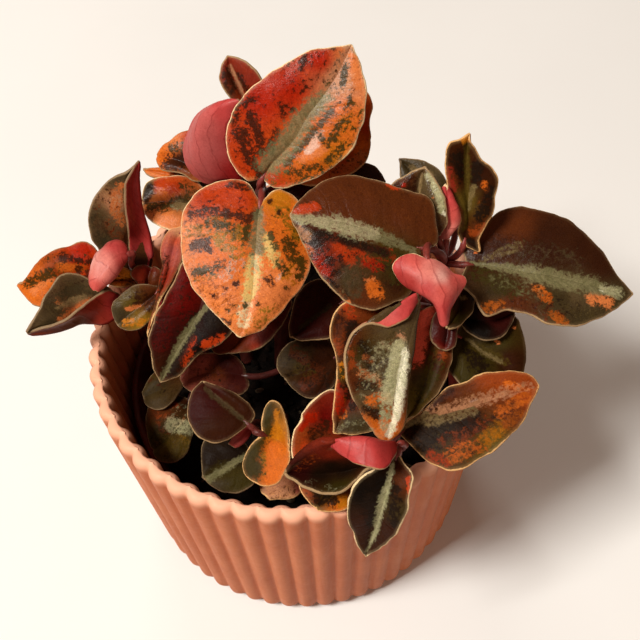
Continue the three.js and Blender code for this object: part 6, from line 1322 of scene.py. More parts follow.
            [1, "S", 1.03, 1.03, 0.5, 16.4, -25.7, 98.8, 17.6, -26.5, 98.2],
            [1, "O", 1.54, 1.54, 0.65, 17.0, -33.2, 92.9, 20.3, -32.9, 93.3],
            [1, "BO", 1.28, 1.28, 0.4, 13.1, -23.7, 100.3, 13.2, -27.2, 97.5],
            [1, "S", 1.54, 1.54, 0.6, 18.2, -39.0, 87.5, 21.1, -38.0, 88.3],
            [1, "O", 1.03, 1.03, 0.4, 14.8, -35.0, 91.5, 16.4, -36.7, 89.8],
            [1, "TP", 1.54, 1.54, 0.3, 21.6, -24.1, 100.1, 23.7, -23.1, 100.9],
            [1, "S", 1.28, 1.28, 0.1, 15.4, -28.2, 96.8, 20.1, -30.5, 95.2],
            [1, "BR", 1.28, 1.28, 0.3, 13.0, -28.7, 96.5, 13.6, -31.5, 94.3],
            [1, "BO", 2.05, 2.05, -0.08, 15.1, -24.3, 99.8, 17.7, -31.7, 94.2],
            [2, "BK", 1.54, 1.54, 0.4, 16.0, -23.7, 100.4, 18.0, -27.5, 97.5],
            [2, "BK", 1.28, 1.28, 0.35, 14.6, -30.3, 95.2, 17.7, -30.9, 94.9],
            [2, "OL", 1.54, 1.54, 0.4, 21.0, -25.2, 99.3, 22.4, -23.1, 100.9],
            [2, "BK", 1.28, 1.28, 0.4, 15.6, -34.6, 91.6, 18.7, -35.7, 90.7],
            [2, "BK", 2.31, 2.31, -0.1, 16.7, -24.8, 99.4, 19.0, -35.0, 91.4],
            [2, "BK", 1.28, 1.28, 0.3, 20.5, -26.4, 98.4, 21.1, -30.7, 95.1],
            [2, "OL", 1.28, 1.28, 0.2, 19.3, -33.1, 93.0, 20.4, -35.5, 90.9],
            # The white and pale grey strip along the right side of the midrib is painted highlight.
            [3, "WH", 1.28, 1.79, 1.0, 24.9, -25.2, 99.1, 24.0, -28.5, 96.7, 23.2, -32.6, 93.3],
            [3, "WH", 1.54, 1.03, 0.9, 23.2, -32.6, 93.3, 22.4, -35.8, 90.4, 20.6, -39.0, 87.3],
            [3, "SG", 1.79, 2.31, 0.6, 23.7, -24.0, 100.2, 22.2, -28.9, 96.5, 20.7, -33.0, 93.2],
            [3, "SG", 1.54, 1.54, 0.3, 21.1, -33.4, 92.8, 19.8, -37.2, 89.3],
            [3, "SG", 3.33, 3.33, -0.06, 18.8, -25.0, 99.4, 17.7, -31.7, 94.2],
            [3, "SL", 2.05, 2.05, 0.15, 20.3, -25.0, 99.4, 19.2, -28.6, 96.7],
        ],
    },
    "leaf_hanging_2": {
        "slot": "leaf_red_orange",
        "rib": 1,
        "cup": 0.6,
        "folded": False,
        "puff": 0,
        "open": [],
        "crosswise": False,
        "rim": [226, 178, 120],
        "mottle": 0.9,
        "gleam": 0.2,
        "slant": 0.85,
        "stem": "stem_right",
        "branch": 1,
        "at": 1.0,
        "via": [[29.6, -11.2, 96.6], [33.2, -9.8, 93.0]],
        "turned": False,
        "rails": [
            [27.4, -13.9, 101.1, 26.7, -17.6, 99.6, 26.0, -21.1, 97.8, 25.2, -24.5, 95.9, 24.4, -27.7, 93.9, 23.5, -30.9, 91.7, 22.1, -33.9, 89.5, 20.0, -36.4, 87.4, 16.5, -37.6, 86.0, 12.6, -37.4, 85.4, 8.7, -36.6, 84.9],
            [27.0, -13.7, 101.3, 24.2, -15.6, 100.4, 21.4, -17.5, 99.5, 18.9, -19.5, 98.3, 16.8, -21.8, 96.8, 15.5, -24.4, 95.0, 14.5, -27.1, 93.0, 13.5, -29.7, 91.0, 12.2, -32.1, 89.0, 10.5, -34.4, 86.9, 8.7, -36.6, 84.9],
            [26.8, -13.1, 101.7, 22.3, -12.9, 102.8, 17.8, -13.3, 103.2, 13.4, -13.8, 103.2, 10.0, -16.2, 101.7, 9.0, -19.8, 99.3, 10.0, -23.3, 96.7, 10.1, -26.6, 94.0, 9.4, -30.0, 91.2, 8.6, -33.4, 88.1, 8.7, -36.6, 84.9],
        ],
        "base": [
            ["BR", 10.3, -17.4, 100.8],
            ["BO", 12.5, -14.8, 102.5],
            ["DB", 13.4, -22.6, 96.5],
            ["RD", 10.7, -30.2, 90.7],
            ["GB", 13.5, -35.6, 86.7],
            ["BR", 13.8, -13.7, 103.3],
            ["OL", 12.1, -26.8, 93.4],
            ["BR", 10.0, -21.6, 97.8],
        ],
        "under": [
            ["PD", 17.9, -20.7, 97.6],
        ],
        "marks": [
            [1, "OR", 1.28, 1.28, 0.3, 13.1, -14.5, 102.7, 14.3, -16.6, 100.9],
            [1, "BO", 1.54, 1.54, 0.2, 10.8, -19.1, 99.5, 11.7, -22.4, 96.9],
            [1, "R", 1.28, 1.28, 0.3, 9.8, -28.4, 92.5, 10.5, -32.7, 88.4],
            [1, "G", 1.54, 1.54, 0.05, 12.2, -25.0, 94.8, 12.7, -30.3, 90.5],
            [1, "O", 1.28, 1.28, 0.1, 10.1, -30.3, 90.8, 10.8, -33.5, 87.7],
            [2, "BK", 1.54, 1.54, 0.5, 14.1, -17.9, 99.9, 13.1, -22.4, 96.6],
            [2, "BK", 1.28, 1.28, 0.4, 11.9, -28.5, 92.0, 13.3, -32.1, 89.2],
            [2, "DB", 1.54, 1.54, 0.3, 11.1, -15.9, 101.8, 10.6, -18.9, 99.6],
            [3, "SG", 1.54, 1.54, -0.02, 11.2, -36.0, 86.0, 17.3, -36.1, 87.1],
        ],
    },
    "leaf_hanging_3": {
        "slot": "leaf_brown",
        "rib": 1,
        "cup": 0.6,
        "folded": False,
        "puff": 0,
        "open": [],
        "crosswise": False,
        "rim": [168, 138, 100],
        "mottle": 0.7,
        "gleam": 0.15,
        "slant": 0.85,
        "stem": "stem_right",
        "branch": 1,
        "at": 1.0,
        "via": [[35.6, -9.6, 93.4]],
        "turned": False,
        "rails": [
            [36.4, -11.8, 94.9, 37.3, -14.7, 94.1, 37.6, -17.6, 93.0, 36.7, -20.3, 91.9, 36.3, -23.0, 90.7, 35.1, -25.5, 89.5, 33.8, -27.8, 88.2, 32.0, -29.9, 87.0, 29.8, -31.5, 85.8, 27.5, -33.0, 84.6, 24.9, -33.8, 83.5],
            [35.5, -11.4, 95.1, 34.5, -13.9, 94.2, 33.6, -16.4, 93.2, 32.7, -18.9, 92.1, 31.9, -21.3, 91.0, 31.1, -23.6, 89.8, 30.3, -25.9, 88.6, 29.1, -28.0, 87.4, 27.8, -30.1, 86.1, 26.4, -32.0, 84.8, 24.9, -33.8, 83.5],
            [34.7, -10.7, 95.5, 31.5, -11.5, 95.8, 28.6, -12.9, 95.6, 27.1, -15.5, 94.6, 26.6, -18.3, 93.3, 26.6, -21.1, 91.9, 26.5, -23.8, 90.4, 26.2, -26.4, 88.8, 25.7, -28.9, 87.1, 25.3, -31.4, 85.4, 24.9, -33.8, 83.5],
        ],
        "base": [
            # the bright red patch is painted light: brighter than the leaf's own red so that it stays bright where
            # shade falls on it
            ["RX", 28.6, -16.1, 94.1],
            ["RX", 30.1, -12.0, 95.8],
            ["BR", 31.6, -20.1, 91.6],
            ["DB", 33.2, -22.4, 90.5],
            ["DB", 35.2, -16.3, 93.3],
            ["OM", 26.8, -29.8, 86.3],
            ["BR", 34.8, -20.6, 91.5],
            ["GB", 29.9, -26.3, 88.4],
            ["BR", 37.0, -14.3, 94.2],
        ],
        "under": [
            # painted light, as on the upper side
            ["RX", 29.5, -16.2, 93.8],
            ["RX", 28.1, -20.2, 92.1],
        ],
        "marks": [
            [1, "BO", 1.28, 1.28, 0.3, 34.1, -16.3, 93.2, 32.7, -21.4, 90.9],
            # painted light, as in the base tones
            [1, "RX", 2.31, 2.31, 1.0, 31.0, -11.7, 95.8, 29.6, -17.2, 93.3, 27.7, -21.9, 91.3],
            [1, "BO", 1.03, 1.03, 0.3, 35.2, -19.6, 92.0, 33.5, -23.3, 90.1],
            [2, "DB", 1.03, 1.03, 0.3, 31.7, -19.3, 92.0, 29.8, -27.0, 88.0],
            [2, "OL", 1.54, 1.54, 0.3, 33.1, -23.6, 90.0, 28.5, -29.6, 86.4],
            [3, "OM", 1.28, 1.28, 0.3, 32.6, -20.2, 91.5, 29.8, -26.2, 88.4],
        ],
    },
    "leaf_right_low_round": {
        "slot": "leaf_olive",
        "rib": 1,
        "cup": 0.6,
        "folded": False,
        "puff": 0,
        "open": [],
        "crosswise": False,
        "rim": [140, 116, 86],
        "mottle": 0.4,
        "gleam": 0.1,
        "slant": 0.85,
        "stem": "stem_right",
        "branch": 1,
        "at": 0.664,
        "via": [],
        "turned": False,
        "rails": [
            [38.3, -15.0, 89.7, 39.8, -12.5, 91.5, 42.7, -11.0, 92.5, 46.0, -10.3, 93.0, 49.3, -10.7, 92.8, 52.0, -12.6, 91.9, 53.4, -15.3, 90.4, 53.9, -18.2, 88.8, 53.7, -21.1, 87.0, 53.0, -23.9, 85.2, 51.8, -26.5, 83.2],
            [38.3, -15.4, 89.5, 39.9, -16.3, 89.4, 41.4, -17.5, 89.1, 42.8, -18.6, 88.8, 44.2, -19.7, 88.3, 45.6, -20.8, 87.7, 47.0, -21.9, 87.1, 48.3, -23.0, 86.3, 49.5, -24.2, 85.4, 50.7, -25.4, 84.3, 51.8, -26.5, 83.2],
            [38.0, -15.8, 89.3, 36.4, -18.3, 88.9, 35.6, -20.8, 88.1, 35.8, -23.4, 87.2, 37.1, -25.4, 86.3, 39.0, -27.1, 85.5, 41.2, -28.2, 84.7, 43.7, -28.8, 84.0, 46.4, -28.8, 83.5, 49.1, -28.0, 83.3, 51.8, -26.7, 83.1],
        ],
        "base": [
            ["OL", 48.0, -17.1, 89.5],
            ["OL", 43.3, -21.2, 87.7],
            ["DB", 50.0, -21.3, 87.1],
            ["OL", 38.2, -25.2, 86.3],
            ["DB", 47.3, -14.1, 91.1],
        ],
        "under": [
            ["PD", 45.6, -19.3, 88.4],
        ],
        "marks": [
            [1, "S", 0.72, 0.72, 0.7, 51.5, -14.8, 90.7],
            [1, "S", 0.67, 0.67, 0.6, 47.5, -17.7, 89.2, 46.7, -16.7, 89.8],
            [2, "BK", 2.05, 2.05, 0.4, 42.9, -22.9, 86.9, 40.9, -20.1, 88.2],
            [3, "TG", 0.92, 0.92, 0.9, 40.7, -16.6, 89.4, 43.8, -19.6, 88.4, 47.8, -21.6, 87.2],
            [3, "OM", 1.28, 1.28, 0.3, 41.2, -17.8, 89.0, 48.9, -21.6, 87.1],
        ],
    },
    "leaf_right_low_cup": {
        "slot": "leaf_dark",
        "rib": 1,
        "cup": 0.6,
        "folded": False,
        "puff": 0,
        "open": [],
        "crosswise": False,
        "rim": [140, 116, 86],
        "mottle": 0.3,
        "gleam": 0.2,
        "slant": 0.85,
        "stem": "stem_right",
        "branch": 1,
        "at": 0.935,
        "via": [],
        "turned": False,
        "rails": [
            [39.0, -12.6, 93.4, 39.8, -11.6, 94.4, 40.8, -10.5, 95.2, 42.1, -9.6, 95.8, 43.6, -9.0, 96.3, 45.2, -8.8, 96.5, 46.9, -9.0, 96.4, 48.4, -9.7, 96.1, 49.7, -10.5, 95.5, 50.8, -11.6, 94.8, 51.7, -12.6, 93.8],
            [38.9, -13.3, 93.1, 40.1, -13.6, 93.3, 41.4, -13.8, 93.4, 42.6, -14.1, 93.5, 43.9, -14.3, 93.6, 45.2, -14.5, 93.6, 46.5, -14.5, 93.6, 47.8, -14.3, 93.6, 49.1, -13.9, 93.7, 50.4, -13.4, 93.7, 51.7, -12.8, 93.7],
            [39.0, -13.9, 92.9, 39.7, -15.8, 92.8, 40.8, -17.2, 92.6, 42.2, -18.3, 92.5, 43.7, -19.0, 92.4, 45.4, -19.3, 92.4, 47.1, -18.9, 92.5, 48.7, -18.0, 92.8, 49.9, -16.6, 93.1, 50.9, -15.0, 93.4, 51.7, -13.1, 93.6],
        ],
        "base": [
            ["DK", 44.3, -16.6, 92.9],
            ["MA", 46.8, -14.9, 93.4],
            ["DK", 41.1, -15.0, 93.0],
        ],
        "under": [
            ["MA", 47.8, -16.8, 93.0],
            ["DR", 43.3, -16.5, 92.9],
        ],
        "marks": [
        ],
    },
    "leaf_right_inner_1": {
        "slot": "leaf_olive",
        "rib": 1,
        "cup": 0.6,
        "folded": False,
        "puff": 0,
        "open": [],
        "crosswise": False,
        "rim": [168, 138, 100],
        "mottle": 0.4,
        "gleam": 0.3,
        "slant": 0.85,
        "stem": "stem_right",
        "branch": 1,
        "at": 1.0,
        "via": [],
        "turned": False,
        "rails": [
            [40.3, -6.8, 97.4, 41.2, -8.1, 97.4, 42.0, -9.4, 97.3, 42.3, -11.0, 97.2, 42.0, -12.8, 97.2, 41.4, -14.5, 97.3, 40.3, -15.9, 97.4, 39.2, -17.2, 97.5, 38.0, -18.3, 97.5, 36.7, -18.9, 97.5, 35.3, -19.1, 97.4],
            [39.6, -6.7, 97.6, 39.5, -8.1, 97.7, 39.4, -9.5, 97.7, 39.2, -10.9, 97.7, 38.9, -12.2, 97.7, 38.5, -13.5, 97.7, 38.0, -14.7, 97.7, 37.3, -15.9, 97.7, 36.6, -16.9, 97.6, 35.8, -17.9, 97.6, 35.1, -18.8, 97.5],
            [39.1, -6.5, 97.8, 38.2, -7.9, 98.3, 37.3, -9.3, 98.7, 36.5, -10.7, 99.0, 35.9, -12.0, 99.1, 35.5, -13.4, 99.1, 35.1, -14.6, 99.0, 34.7, -15.8, 98.9, 34.6, -16.9, 98.6, 34.6, -18.0, 98.2, 34.8, -18.9, 97.6],
        ],
        "base": [
            ["DB", 37.4, -14.2, 98.0],
            ["BK", 34.8, -18.9, 97.6],
            ["OL", 38.2, -16.6, 97.5],
            ["DB", 35.3, -19.1, 97.4],
        ],
        "under": [
            ["PD", 37.2, -16.6, 97.6],
        ],
        "marks": [
            [3, "MG", 0.9, 0.9, 0.5, 38.6, -10.3, 98.0, 39.9, -11.2, 97.5],
            [3, "OM", 0.77, 0.77, 0.3, 35.3, -19.1, 97.4, 36.1, -19.0, 97.5],
        ],
    },
    "leaf_right_inner_2": {
        "slot": "leaf_dark",
        "rib": 1,
        "cup": 0.6,
        "folded": False,
        "puff": 0,
        "open": [],
        "crosswise": False,
        "rim": [140, 116, 86],
        "mottle": 0.3,
        "gleam": 0.5,
        "slant": 0.85,
        "stem": "stem_right",
        "branch": 1,
        "at": 1.0,
        "via": [],
        "turned": False,
        "rails": [
            [36.3, -11.5, 96.7, 36.8, -12.8, 96.6, 37.3, -14.0, 96.4, 37.6, -15.3, 96.1, 37.7, -16.6, 95.8, 37.7, -17.8, 95.3, 37.5, -19.0, 94.9, 37.3, -20.2, 94.4, 36.8, -21.2, 93.8, 35.8, -21.8, 93.5, 34.6, -21.8, 93.1],
            [36.1, -11.3, 96.8, 35.9, -12.5, 96.6, 35.8, -13.6, 96.4, 35.7, -14.7, 96.1, 35.6, -15.8, 95.7, 35.5, -16.9, 95.4, 35.4, -18.0, 95.0, 35.2, -19.0, 94.6, 34.9, -19.9, 94.1, 34.6, -20.9, 93.7, 34.2, -21.8, 93.2],
            [35.9, -11.3, 96.9, 34.7, -12.4, 97.1, 33.7, -13.5, 97.2, 32.7, -14.5, 97.2, 32.0, -15.7, 97.0, 31.7, -16.9, 96.6, 31.4, -18.1, 96.1, 31.4, -19.2, 95.6, 31.7, -20.2, 94.9, 32.5, -20.9, 94.2, 33.5, -21.3, 93.4],
        ],
        "base": [
            ["MA", 34.8, -19.6, 94.3],
            ["DR", 33.6, -21.4, 93.4],
        ],
        "under": [
            ["PD", 33.6, -20.7, 94.0],
        ],
        "marks": [
        ],
    },
    "leaf_rim_right": {
        "slot": "leaf_dark",
        "rib": 1,
        "cup": 0.6,
        "folded": False,
        "puff": 0,
        "open": [],
        "crosswise": False,
        "rim": [226, 178, 120],
        "mottle": 1,
        "gleam": 0.0,
        "slant": 0.85,
        "stem": "stem_front_right",
        "branch": 0,
        "at": 1.0,
        "via": [],
        "turned": False,
        "rails": [
            [23.7, -34.3, 79.8, 26.1, -32.3, 82.0, 29.3, -31.2, 83.8, 32.1, -29.3, 85.6, 35.0, -27.5, 87.3, 38.6, -27.3, 88.3, 42.0, -26.2, 89.4, 45.7, -25.9, 90.1, 49.4, -26.0, 90.3, 53.0, -27.0, 90.0, 55.2, -29.4, 88.6],
            [23.7, -34.7, 79.6, 26.6, -33.8, 81.1, 29.7, -33.2, 82.3, 32.9, -32.9, 83.4, 36.1, -32.6, 84.4, 39.3, -32.2, 85.3, 42.4, -31.7, 86.1, 45.6, -31.1, 86.9, 48.7, -30.5, 87.6, 51.9, -30.0, 88.1, 55.2, -29.4, 88.6],
            [23.9, -34.9, 79.5, 26.5, -38.4, 79.5, 29.3, -41.7, 79.3, 32.8, -44.1, 79.4, 36.9, -44.5, 80.4, 40.6, -43.1, 81.9, 44.3, -41.5, 83.3, 47.7, -39.4, 84.7, 50.7, -36.6, 86.1, 53.0, -33.1, 87.5, 55.2, -29.4, 88.6],
        ],
        "base": [
            ["DB", 28.5, -31.5, 83.3],
            ["BR", 35.3, -27.9, 87.1],
            ["BO", 46.5, -27.2, 89.3],
            ["BO", 51.6, -27.6, 89.5],
            ["DB", 39.0, -35.8, 83.9],
            ["GB", 32.6, -35.5, 82.3],
            ["DB", 28.4, -32.8, 82.1],
            ["BR", 48.1, -33.9, 86.4],
            ["OM", 43.1, -39.4, 83.7],
            ["BO", 51.6, -31.1, 87.7],
        ],
        "under": [
            ["PD", 39.2, -33.6, 84.7],
        ],
        "marks": [
            [1, "BO", 1.54, 1.54, 0.5, 42.3, -26.5, 89.3, 47.6, -26.5, 89.9, 53.1, -28.9, 88.8],
            [1, "O", 1.28, 1.28, 0.35, 48.2, -28.5, 88.6, 52.4, -29.6, 88.3],
            [1, "BO", 2.31, 2.31, 0.1, 35.8, -39.8, 81.7, 40.9, -39.3, 83.2],
            [2, "BK", 1.79, 1.79, 0.5, 26.2, -32.5, 81.9, 32.6, -37.1, 81.8],
            [2, "BK", 3.08, 3.08, 0.5, 29.2, -36.8, 80.9, 34.6, -36.0, 82.7, 40.5, -35.8, 84.2],
            [2, "BK", 1.54, 1.54, 0.4, 41.7, -37.1, 84.1, 46.8, -34.8, 85.9],
            [2, "DB", 1.79, 1.79, 0.5, 29.8, -30.9, 84.1, 34.9, -28.2, 86.8],
            [2, "BK", 1.03, 1.03, 0.6, 38.5, -41.5, 81.9, 41.1, -40.1, 83.0],
            [2, "BK", 1.03, 1.03, 0.5, 44.1, -36.3, 84.8, 45.8, -34.9, 85.6],
            [2, "BK", 0.87, 0.87, 0.5, 36.3, -39.8, 81.8],
            [2, "BK", 0.87, 0.87, 0.5, 48.8, -33.0, 86.8],
            [3, "MG", 1.54, 2.05, 0.35, 25.4, -32.8, 81.4, 29.8, -32.4, 82.7],
            [3, "TP", 2.31, 2.05, 0.26, 29.7, -32.2, 82.8, 35.3, -32.0, 84.5, 41.2, -31.0, 86.2],
            [3, "TP", 2.05, 1.54, 0.22, 41.2, -31.0, 86.2, 47.2, -30.1, 87.6, 52.4, -29.6, 88.3],
            [3, "TP", 1.03, 1.03, 0.5, 33.0, -31.9, 83.9, 41.2, -31.3, 86.1, 47.2, -30.3, 87.5],
            [3, "MG", 1.79, 1.79, 0.3, 30.3, -33.2, 82.5, 39.6, -32.9, 85.1],
            # painted highlight along the band
            [3, "PW", 0.77, 0.77, 0.35, 32.9, -31.7, 84.0, 41.2, -31.0, 86.2],
            [3, "O", 2.05, 2.05, 0.22, 34.7, -41.6, 80.8, 38.5, -40.6, 82.1],
            [3, "OR", 1.54, 1.54, 0.3, 30.4, -40.9, 79.9, 33.0, -42.6, 80.0],
            [3, "G", 2.05, 2.05, 0.24, 42.0, -39.4, 83.5, 45.4, -37.3, 84.8],
            [3, "O", 1.79, 1.79, 0.3, 46.1, -34.2, 85.9, 51.3, -31.7, 87.5],
            [3, "BO", 2.05, 2.05, 0.15, 38.7, -37.9, 83.1, 42.5, -36.1, 84.6],
            [3, "O", 1.54, 1.54, 0.2, 43.0, -38.6, 83.9, 40.6, -40.7, 82.7],
            [3, "BO", 1.54, 1.54, 0.12, 33.6, -38.0, 81.7, 36.7, -37.6, 82.7],
            [3, "DO", 1.54, 1.54, 0.25, 46.9, -36.8, 85.3, 49.4, -34.8, 86.4],
        ],
    },
    "leaf_over_rim": {
        "slot": "leaf_olive",
        "rib": 1,
        "cup": 0.6,
        "folded": False,
        "puff": 0,
        "open": [],
        "crosswise": False,
        "rim": [244, 214, 165],
        "mottle": 0.5,
        "gleam": 0.1,
        "slant": 0.85,
        "stem": "stem_front_right",
        "branch": 0,
        "at": 1.0,
        "via": [[22.6, -41.4, 82.5], [21.2, -39.8, 78.2]],
        "turned": False,
        "rails": [
            [22.8, -43.4, 86.3, 24.0, -45.6, 86.0, 25.3, -47.6, 85.2, 24.7, -50.0, 84.1, 24.1, -51.9, 82.3, 23.9, -53.6, 79.7, 22.7, -54.8, 76.4, 21.3, -55.6, 72.5, 19.4, -56.0, 68.5, 17.1, -56.2, 65.0, 14.7, -56.3, 61.7],
            [22.2, -43.1, 86.3, 21.5, -45.0, 85.3, 20.7, -46.7, 83.9, 20.0, -48.3, 82.1, 19.2, -49.7, 80.0, 18.5, -50.9, 77.4, 17.8, -52.0, 74.6, 17.0, -53.0, 71.4, 16.2, -54.0, 68.1, 15.5, -55.1, 64.9, 14.7, -56.3, 61.7],
            [21.5, -43.3, 86.4, 19.0, -44.6, 86.1, 16.6, -46.0, 85.5, 14.3, -47.0, 84.5, 12.3, -48.3, 82.7, 11.1, -49.8, 80.1, 10.7, -51.3, 76.8, 11.1, -52.6, 72.9, 12.1, -53.8, 68.8, 13.0, -55.3, 65.2, 14.7, -56.3, 61.7],
        ],
        "base": [
            ["DK", 14.9, -48.9, 81.3],
            ["DB", 15.9, -52.2, 73.2],
            ["GB", 22.1, -52.7, 78.5],
            ["DK", 18.1, -47.4, 83.1],
            ["BR", 24.0, -48.4, 84.3],
            ["DB", 21.1, -54.9, 73.6],
        ],
        "under": [
            ["PD", 18.1, -51.3, 76.4],
        ],
        "marks": [
            [1, "OR", 0.62, 0.62, 0.6, 24.3, -48.1, 84.5, 24.3, -51.2, 83.1],
            [2, "BK", 1.79, 1.79, 0.5, 15.6, -49.4, 80.2, 16.3, -52.3, 73.1],
            [2, "BK", 1.54, 1.54, 0.4, 21.8, -49.6, 82.0, 21.3, -53.8, 75.9],
            [3, "SG", 1.03, 1.67, 0.8, 21.0, -45.2, 85.1, 19.5, -48.7, 81.5, 18.6, -50.4, 78.4],
            [3, "SG", 1.67, 0.77, 0.8, 18.6, -50.4, 78.4, 17.1, -53.5, 70.1, 15.0, -55.4, 64.0],
        ],
    },
    "leaf_front_cupped": {
        "slot": "leaf_dark",
        "rib": 1,
        "cup": 0.6,
        "folded": False,
        "puff": 0,
        "open": [],
        "crosswise": False,
        "rim": [168, 138, 100],
        "mottle": 0.5,
        "gleam": 0.1,
        "slant": 0.85,
        "stem": "stem_front_right",
        "branch": 0,
        "at": 1.0,
        "via": [[24.2, -40.2, 84.5], [22.2, -38.9, 79.0]],
        "turned": False,
        "rails": [
            [22.3, -41.5, 86.5, 20.3, -43.5, 85.7, 17.7, -44.7, 84.9, 14.9, -45.4, 84.1, 13.0, -47.3, 83.1, 10.8, -49.2, 82.6, 8.0, -50.1, 82.6, 5.1, -49.6, 82.6, 2.4, -48.4, 82.6, 0.0, -46.6, 83.0, -2.4, -45.0, 83.5],
            [22.5, -41.3, 86.5, 20.6, -41.8, 84.1, 18.4, -42.3, 82.2, 15.9, -42.5, 80.9, 13.3, -42.5, 80.0, 10.7, -42.9, 79.5, 8.0, -43.4, 79.7, 5.4, -43.8, 80.2, 2.7, -44.0, 80.9, 0.1, -44.3, 82.0, -2.4, -44.7, 83.5],
            [21.9, -42.1, 89.5, 19.1, -43.1, 92.4, 16.6, -43.0, 94.2, 14.1, -42.5, 94.4, 11.5, -42.3, 94.0, 8.9, -42.4, 93.4, 6.4, -42.3, 91.9, 3.9, -42.2, 89.5, 1.6, -42.7, 87.4, -0.5, -43.6, 85.5, -2.4, -44.7, 83.5],
            [22.2, -41.8, 88.5, 20.8, -46.3, 90.9, 18.6, -49.5, 92.3, 15.7, -49.0, 92.5, 12.9, -47.6, 92.1, 10.5, -45.4, 91.5, 8.2, -42.4, 90.2, 5.3, -40.9, 88.3, 2.5, -41.8, 86.6, -0.1, -43.1, 85.1, -2.4, -44.7, 83.5],
        ],
        "base": [
            ["BK", 7.7, -42.6, 82.3],
            ["BK", 5.1, -44.0, 80.2],
            ["BK", 10.9, -42.8, 79.6],
            ["MA", 1.1, -43.7, 82.5],
            ["OL", 9.4, -48.7, 81.9],
            ["RD", 8.9, -42.1, 87.6],
        ],
        "under": [
            ["PD", 16.9, -42.1, 86.8],
            ["PK", 11.9, -43.5, 94.7],
            ["PD", 20.0, -42.4, 83.3],
            ["PK", 8.9, -43.0, 93.9],
            ["OL", 5.1, -46.7, 80.9],
        ],
        "marks": [
            [1, "BO", 1.54, 1.54, 0.1, 1.2, -43.4, 83.7, 4.3, -42.5, 86.9],
            [3, "SG", 1.28, 1.28, -0.05, 3.0, -47.1, 81.7, 10.2, -49.5, 82.6],
        ],
    },
    "leaf_front_orange": {
        "slot": "leaf_red_orange",
        "rib": 1,
        "cup": 0.6,
        "folded": False,
        "puff": 0,
        "open": [],
        "crosswise": False,
        "rim": [244, 214, 165],
        "mottle": 0.6,
        "gleam": 0.2,
        "slant": 0.85,
        "stem": "stem_front_right",
        "branch": 0,
        "at": 1.0,
        "via": [],
        "turned": False,
        "rails": [
            [12.7, -39.1, 80.7, 10.8, -40.2, 80.1, 8.9, -41.1, 79.5, 6.8, -41.8, 79.1, 4.6, -42.1, 78.9, 2.4, -42.0, 78.9, 0.4, -41.3, 79.5, -0.5, -39.7, 80.6, -0.7, -37.9, 81.9, -0.4, -36.0, 83.1, 0.3, -34.2, 84.2],
            [13.0, -38.4, 81.2, 11.8, -37.7, 81.2, 10.7, -37.0, 81.3, 9.5, -36.2, 81.5, 8.5, -35.5, 81.9, 7.4, -34.8, 82.3, 6.3, -34.2, 82.8, 5.2, -33.7, 83.3, 4.0, -33.3, 83.9, 2.7, -33.0, 84.5, 1.5, -32.8, 85.1],
            [13.0, -37.7, 81.6, 13.1, -36.0, 83.5, 13.1, -34.1, 85.0, 12.8, -32.3, 86.4, 12.2, -30.5, 87.7, 11.1, -28.8, 88.9, 9.2, -27.7, 89.6, 7.0, -28.2, 89.2, 5.1, -29.3, 88.4, 3.4, -30.5, 87.3, 1.8, -31.7, 85.8],
        ],
        "base": [
            ["RD", 3.8, -32.6, 84.6],
            ["BO", 1.3, -34.5, 83.7],
            ["OR", 1.2, -38.1, 81.2],
            ["DR", 7.2, -31.8, 85.0],
            ["BR", 4.7, -36.1, 81.6],
        ],
        "under": [
            ["PK", 6.2, -29.5, 87.8],
            ["PP", 3.9, -31.4, 86.0],
        ],
        "marks": [
            [1, "R", 1.54, 1.54, 0.5, 1.4, -33.6, 84.4, 4.3, -31.9, 85.3],
            [1, "BO", 1.28, 1.28, 0.5, 0.4, -36.4, 82.6, 1.1, -39.2, 80.6],
            [2, "DB", 1.79, 1.79, 0.3, 4.5, -35.2, 82.3, 7.0, -33.5, 83.3],
        ],
    },
    "leaf_front_low": {
        "slot": "leaf_brown",
        "rib": 1,
        "cup": 0.6,
        "folded": False,
        "puff": 0,
        "open": [],
        "crosswise": False,
        "rim": [226, 178, 120],
        "mottle": 0.7,
        "gleam": 0.1,
        "slant": 0.85,
        "stem": "stem_front_right",
        "branch": 0,
        "at": 0.905,
        "via": [],
        "turned": False,
        "rails": [
            [12.8, -44.3, 76.1, 13.1, -45.7, 76.1, 13.1, -47.0, 76.0, 12.6, -48.3, 75.9, 11.9, -49.5, 75.8, 10.9, -50.4, 75.8, 9.6, -50.9, 75.8, 8.3, -51.0, 75.8, 7.0, -51.0, 75.9, 5.7, -50.8, 75.8, 4.4, -50.6, 75.8],
            [12.6, -43.4, 76.3, 11.6, -43.9, 76.4, 10.6, -44.4, 76.5, 9.6, -45.0, 76.6, 8.7, -45.6, 76.6, 7.8, -46.3, 76.5, 7.0, -47.1, 76.5, 6.2, -47.8, 76.4, 5.5, -48.6, 76.2, 4.7, -49.4, 76.1, 4.0, -50.1, 75.9],
            [12.5, -42.5, 76.4, 10.7, -41.7, 76.9, 8.9, -41.2, 77.3, 7.0, -41.1, 77.6, 5.0, -41.4, 77.8, 3.2, -42.1, 77.8, 1.5, -43.1, 77.8, 0.5, -44.7, 77.5, 1.0, -46.5, 77.1, 2.0, -48.0, 76.6, 3.2, -49.5, 76.1],
        ],
        "base": [
            ["OL", 3.9, -48.2, 76.4],
            ["BR", 1.8, -47.2, 76.9],
            ["G", 10.5, -49.7, 75.9],
            ["O", 9.3, -50.7, 75.8],
            ["OL", 7.2, -47.3, 76.5],
        ],
        "under": [
            ["PD", 6.2, -47.2, 76.5],
        ],
        "marks": [
            [1, "G", 1.03, 1.03, 0.8, 9.4, -49.7, 76.0, 11.5, -48.9, 75.9],
            [1, "BO", 1.03, 1.03, 0.4, 1.8, -46.4, 77.0, 3.9, -48.2, 76.4],
            [2, "BK", 1.54, 1.54, 0.4, 4.6, -47.9, 76.4, 7.6, -48.9, 76.2],
        ],
    },
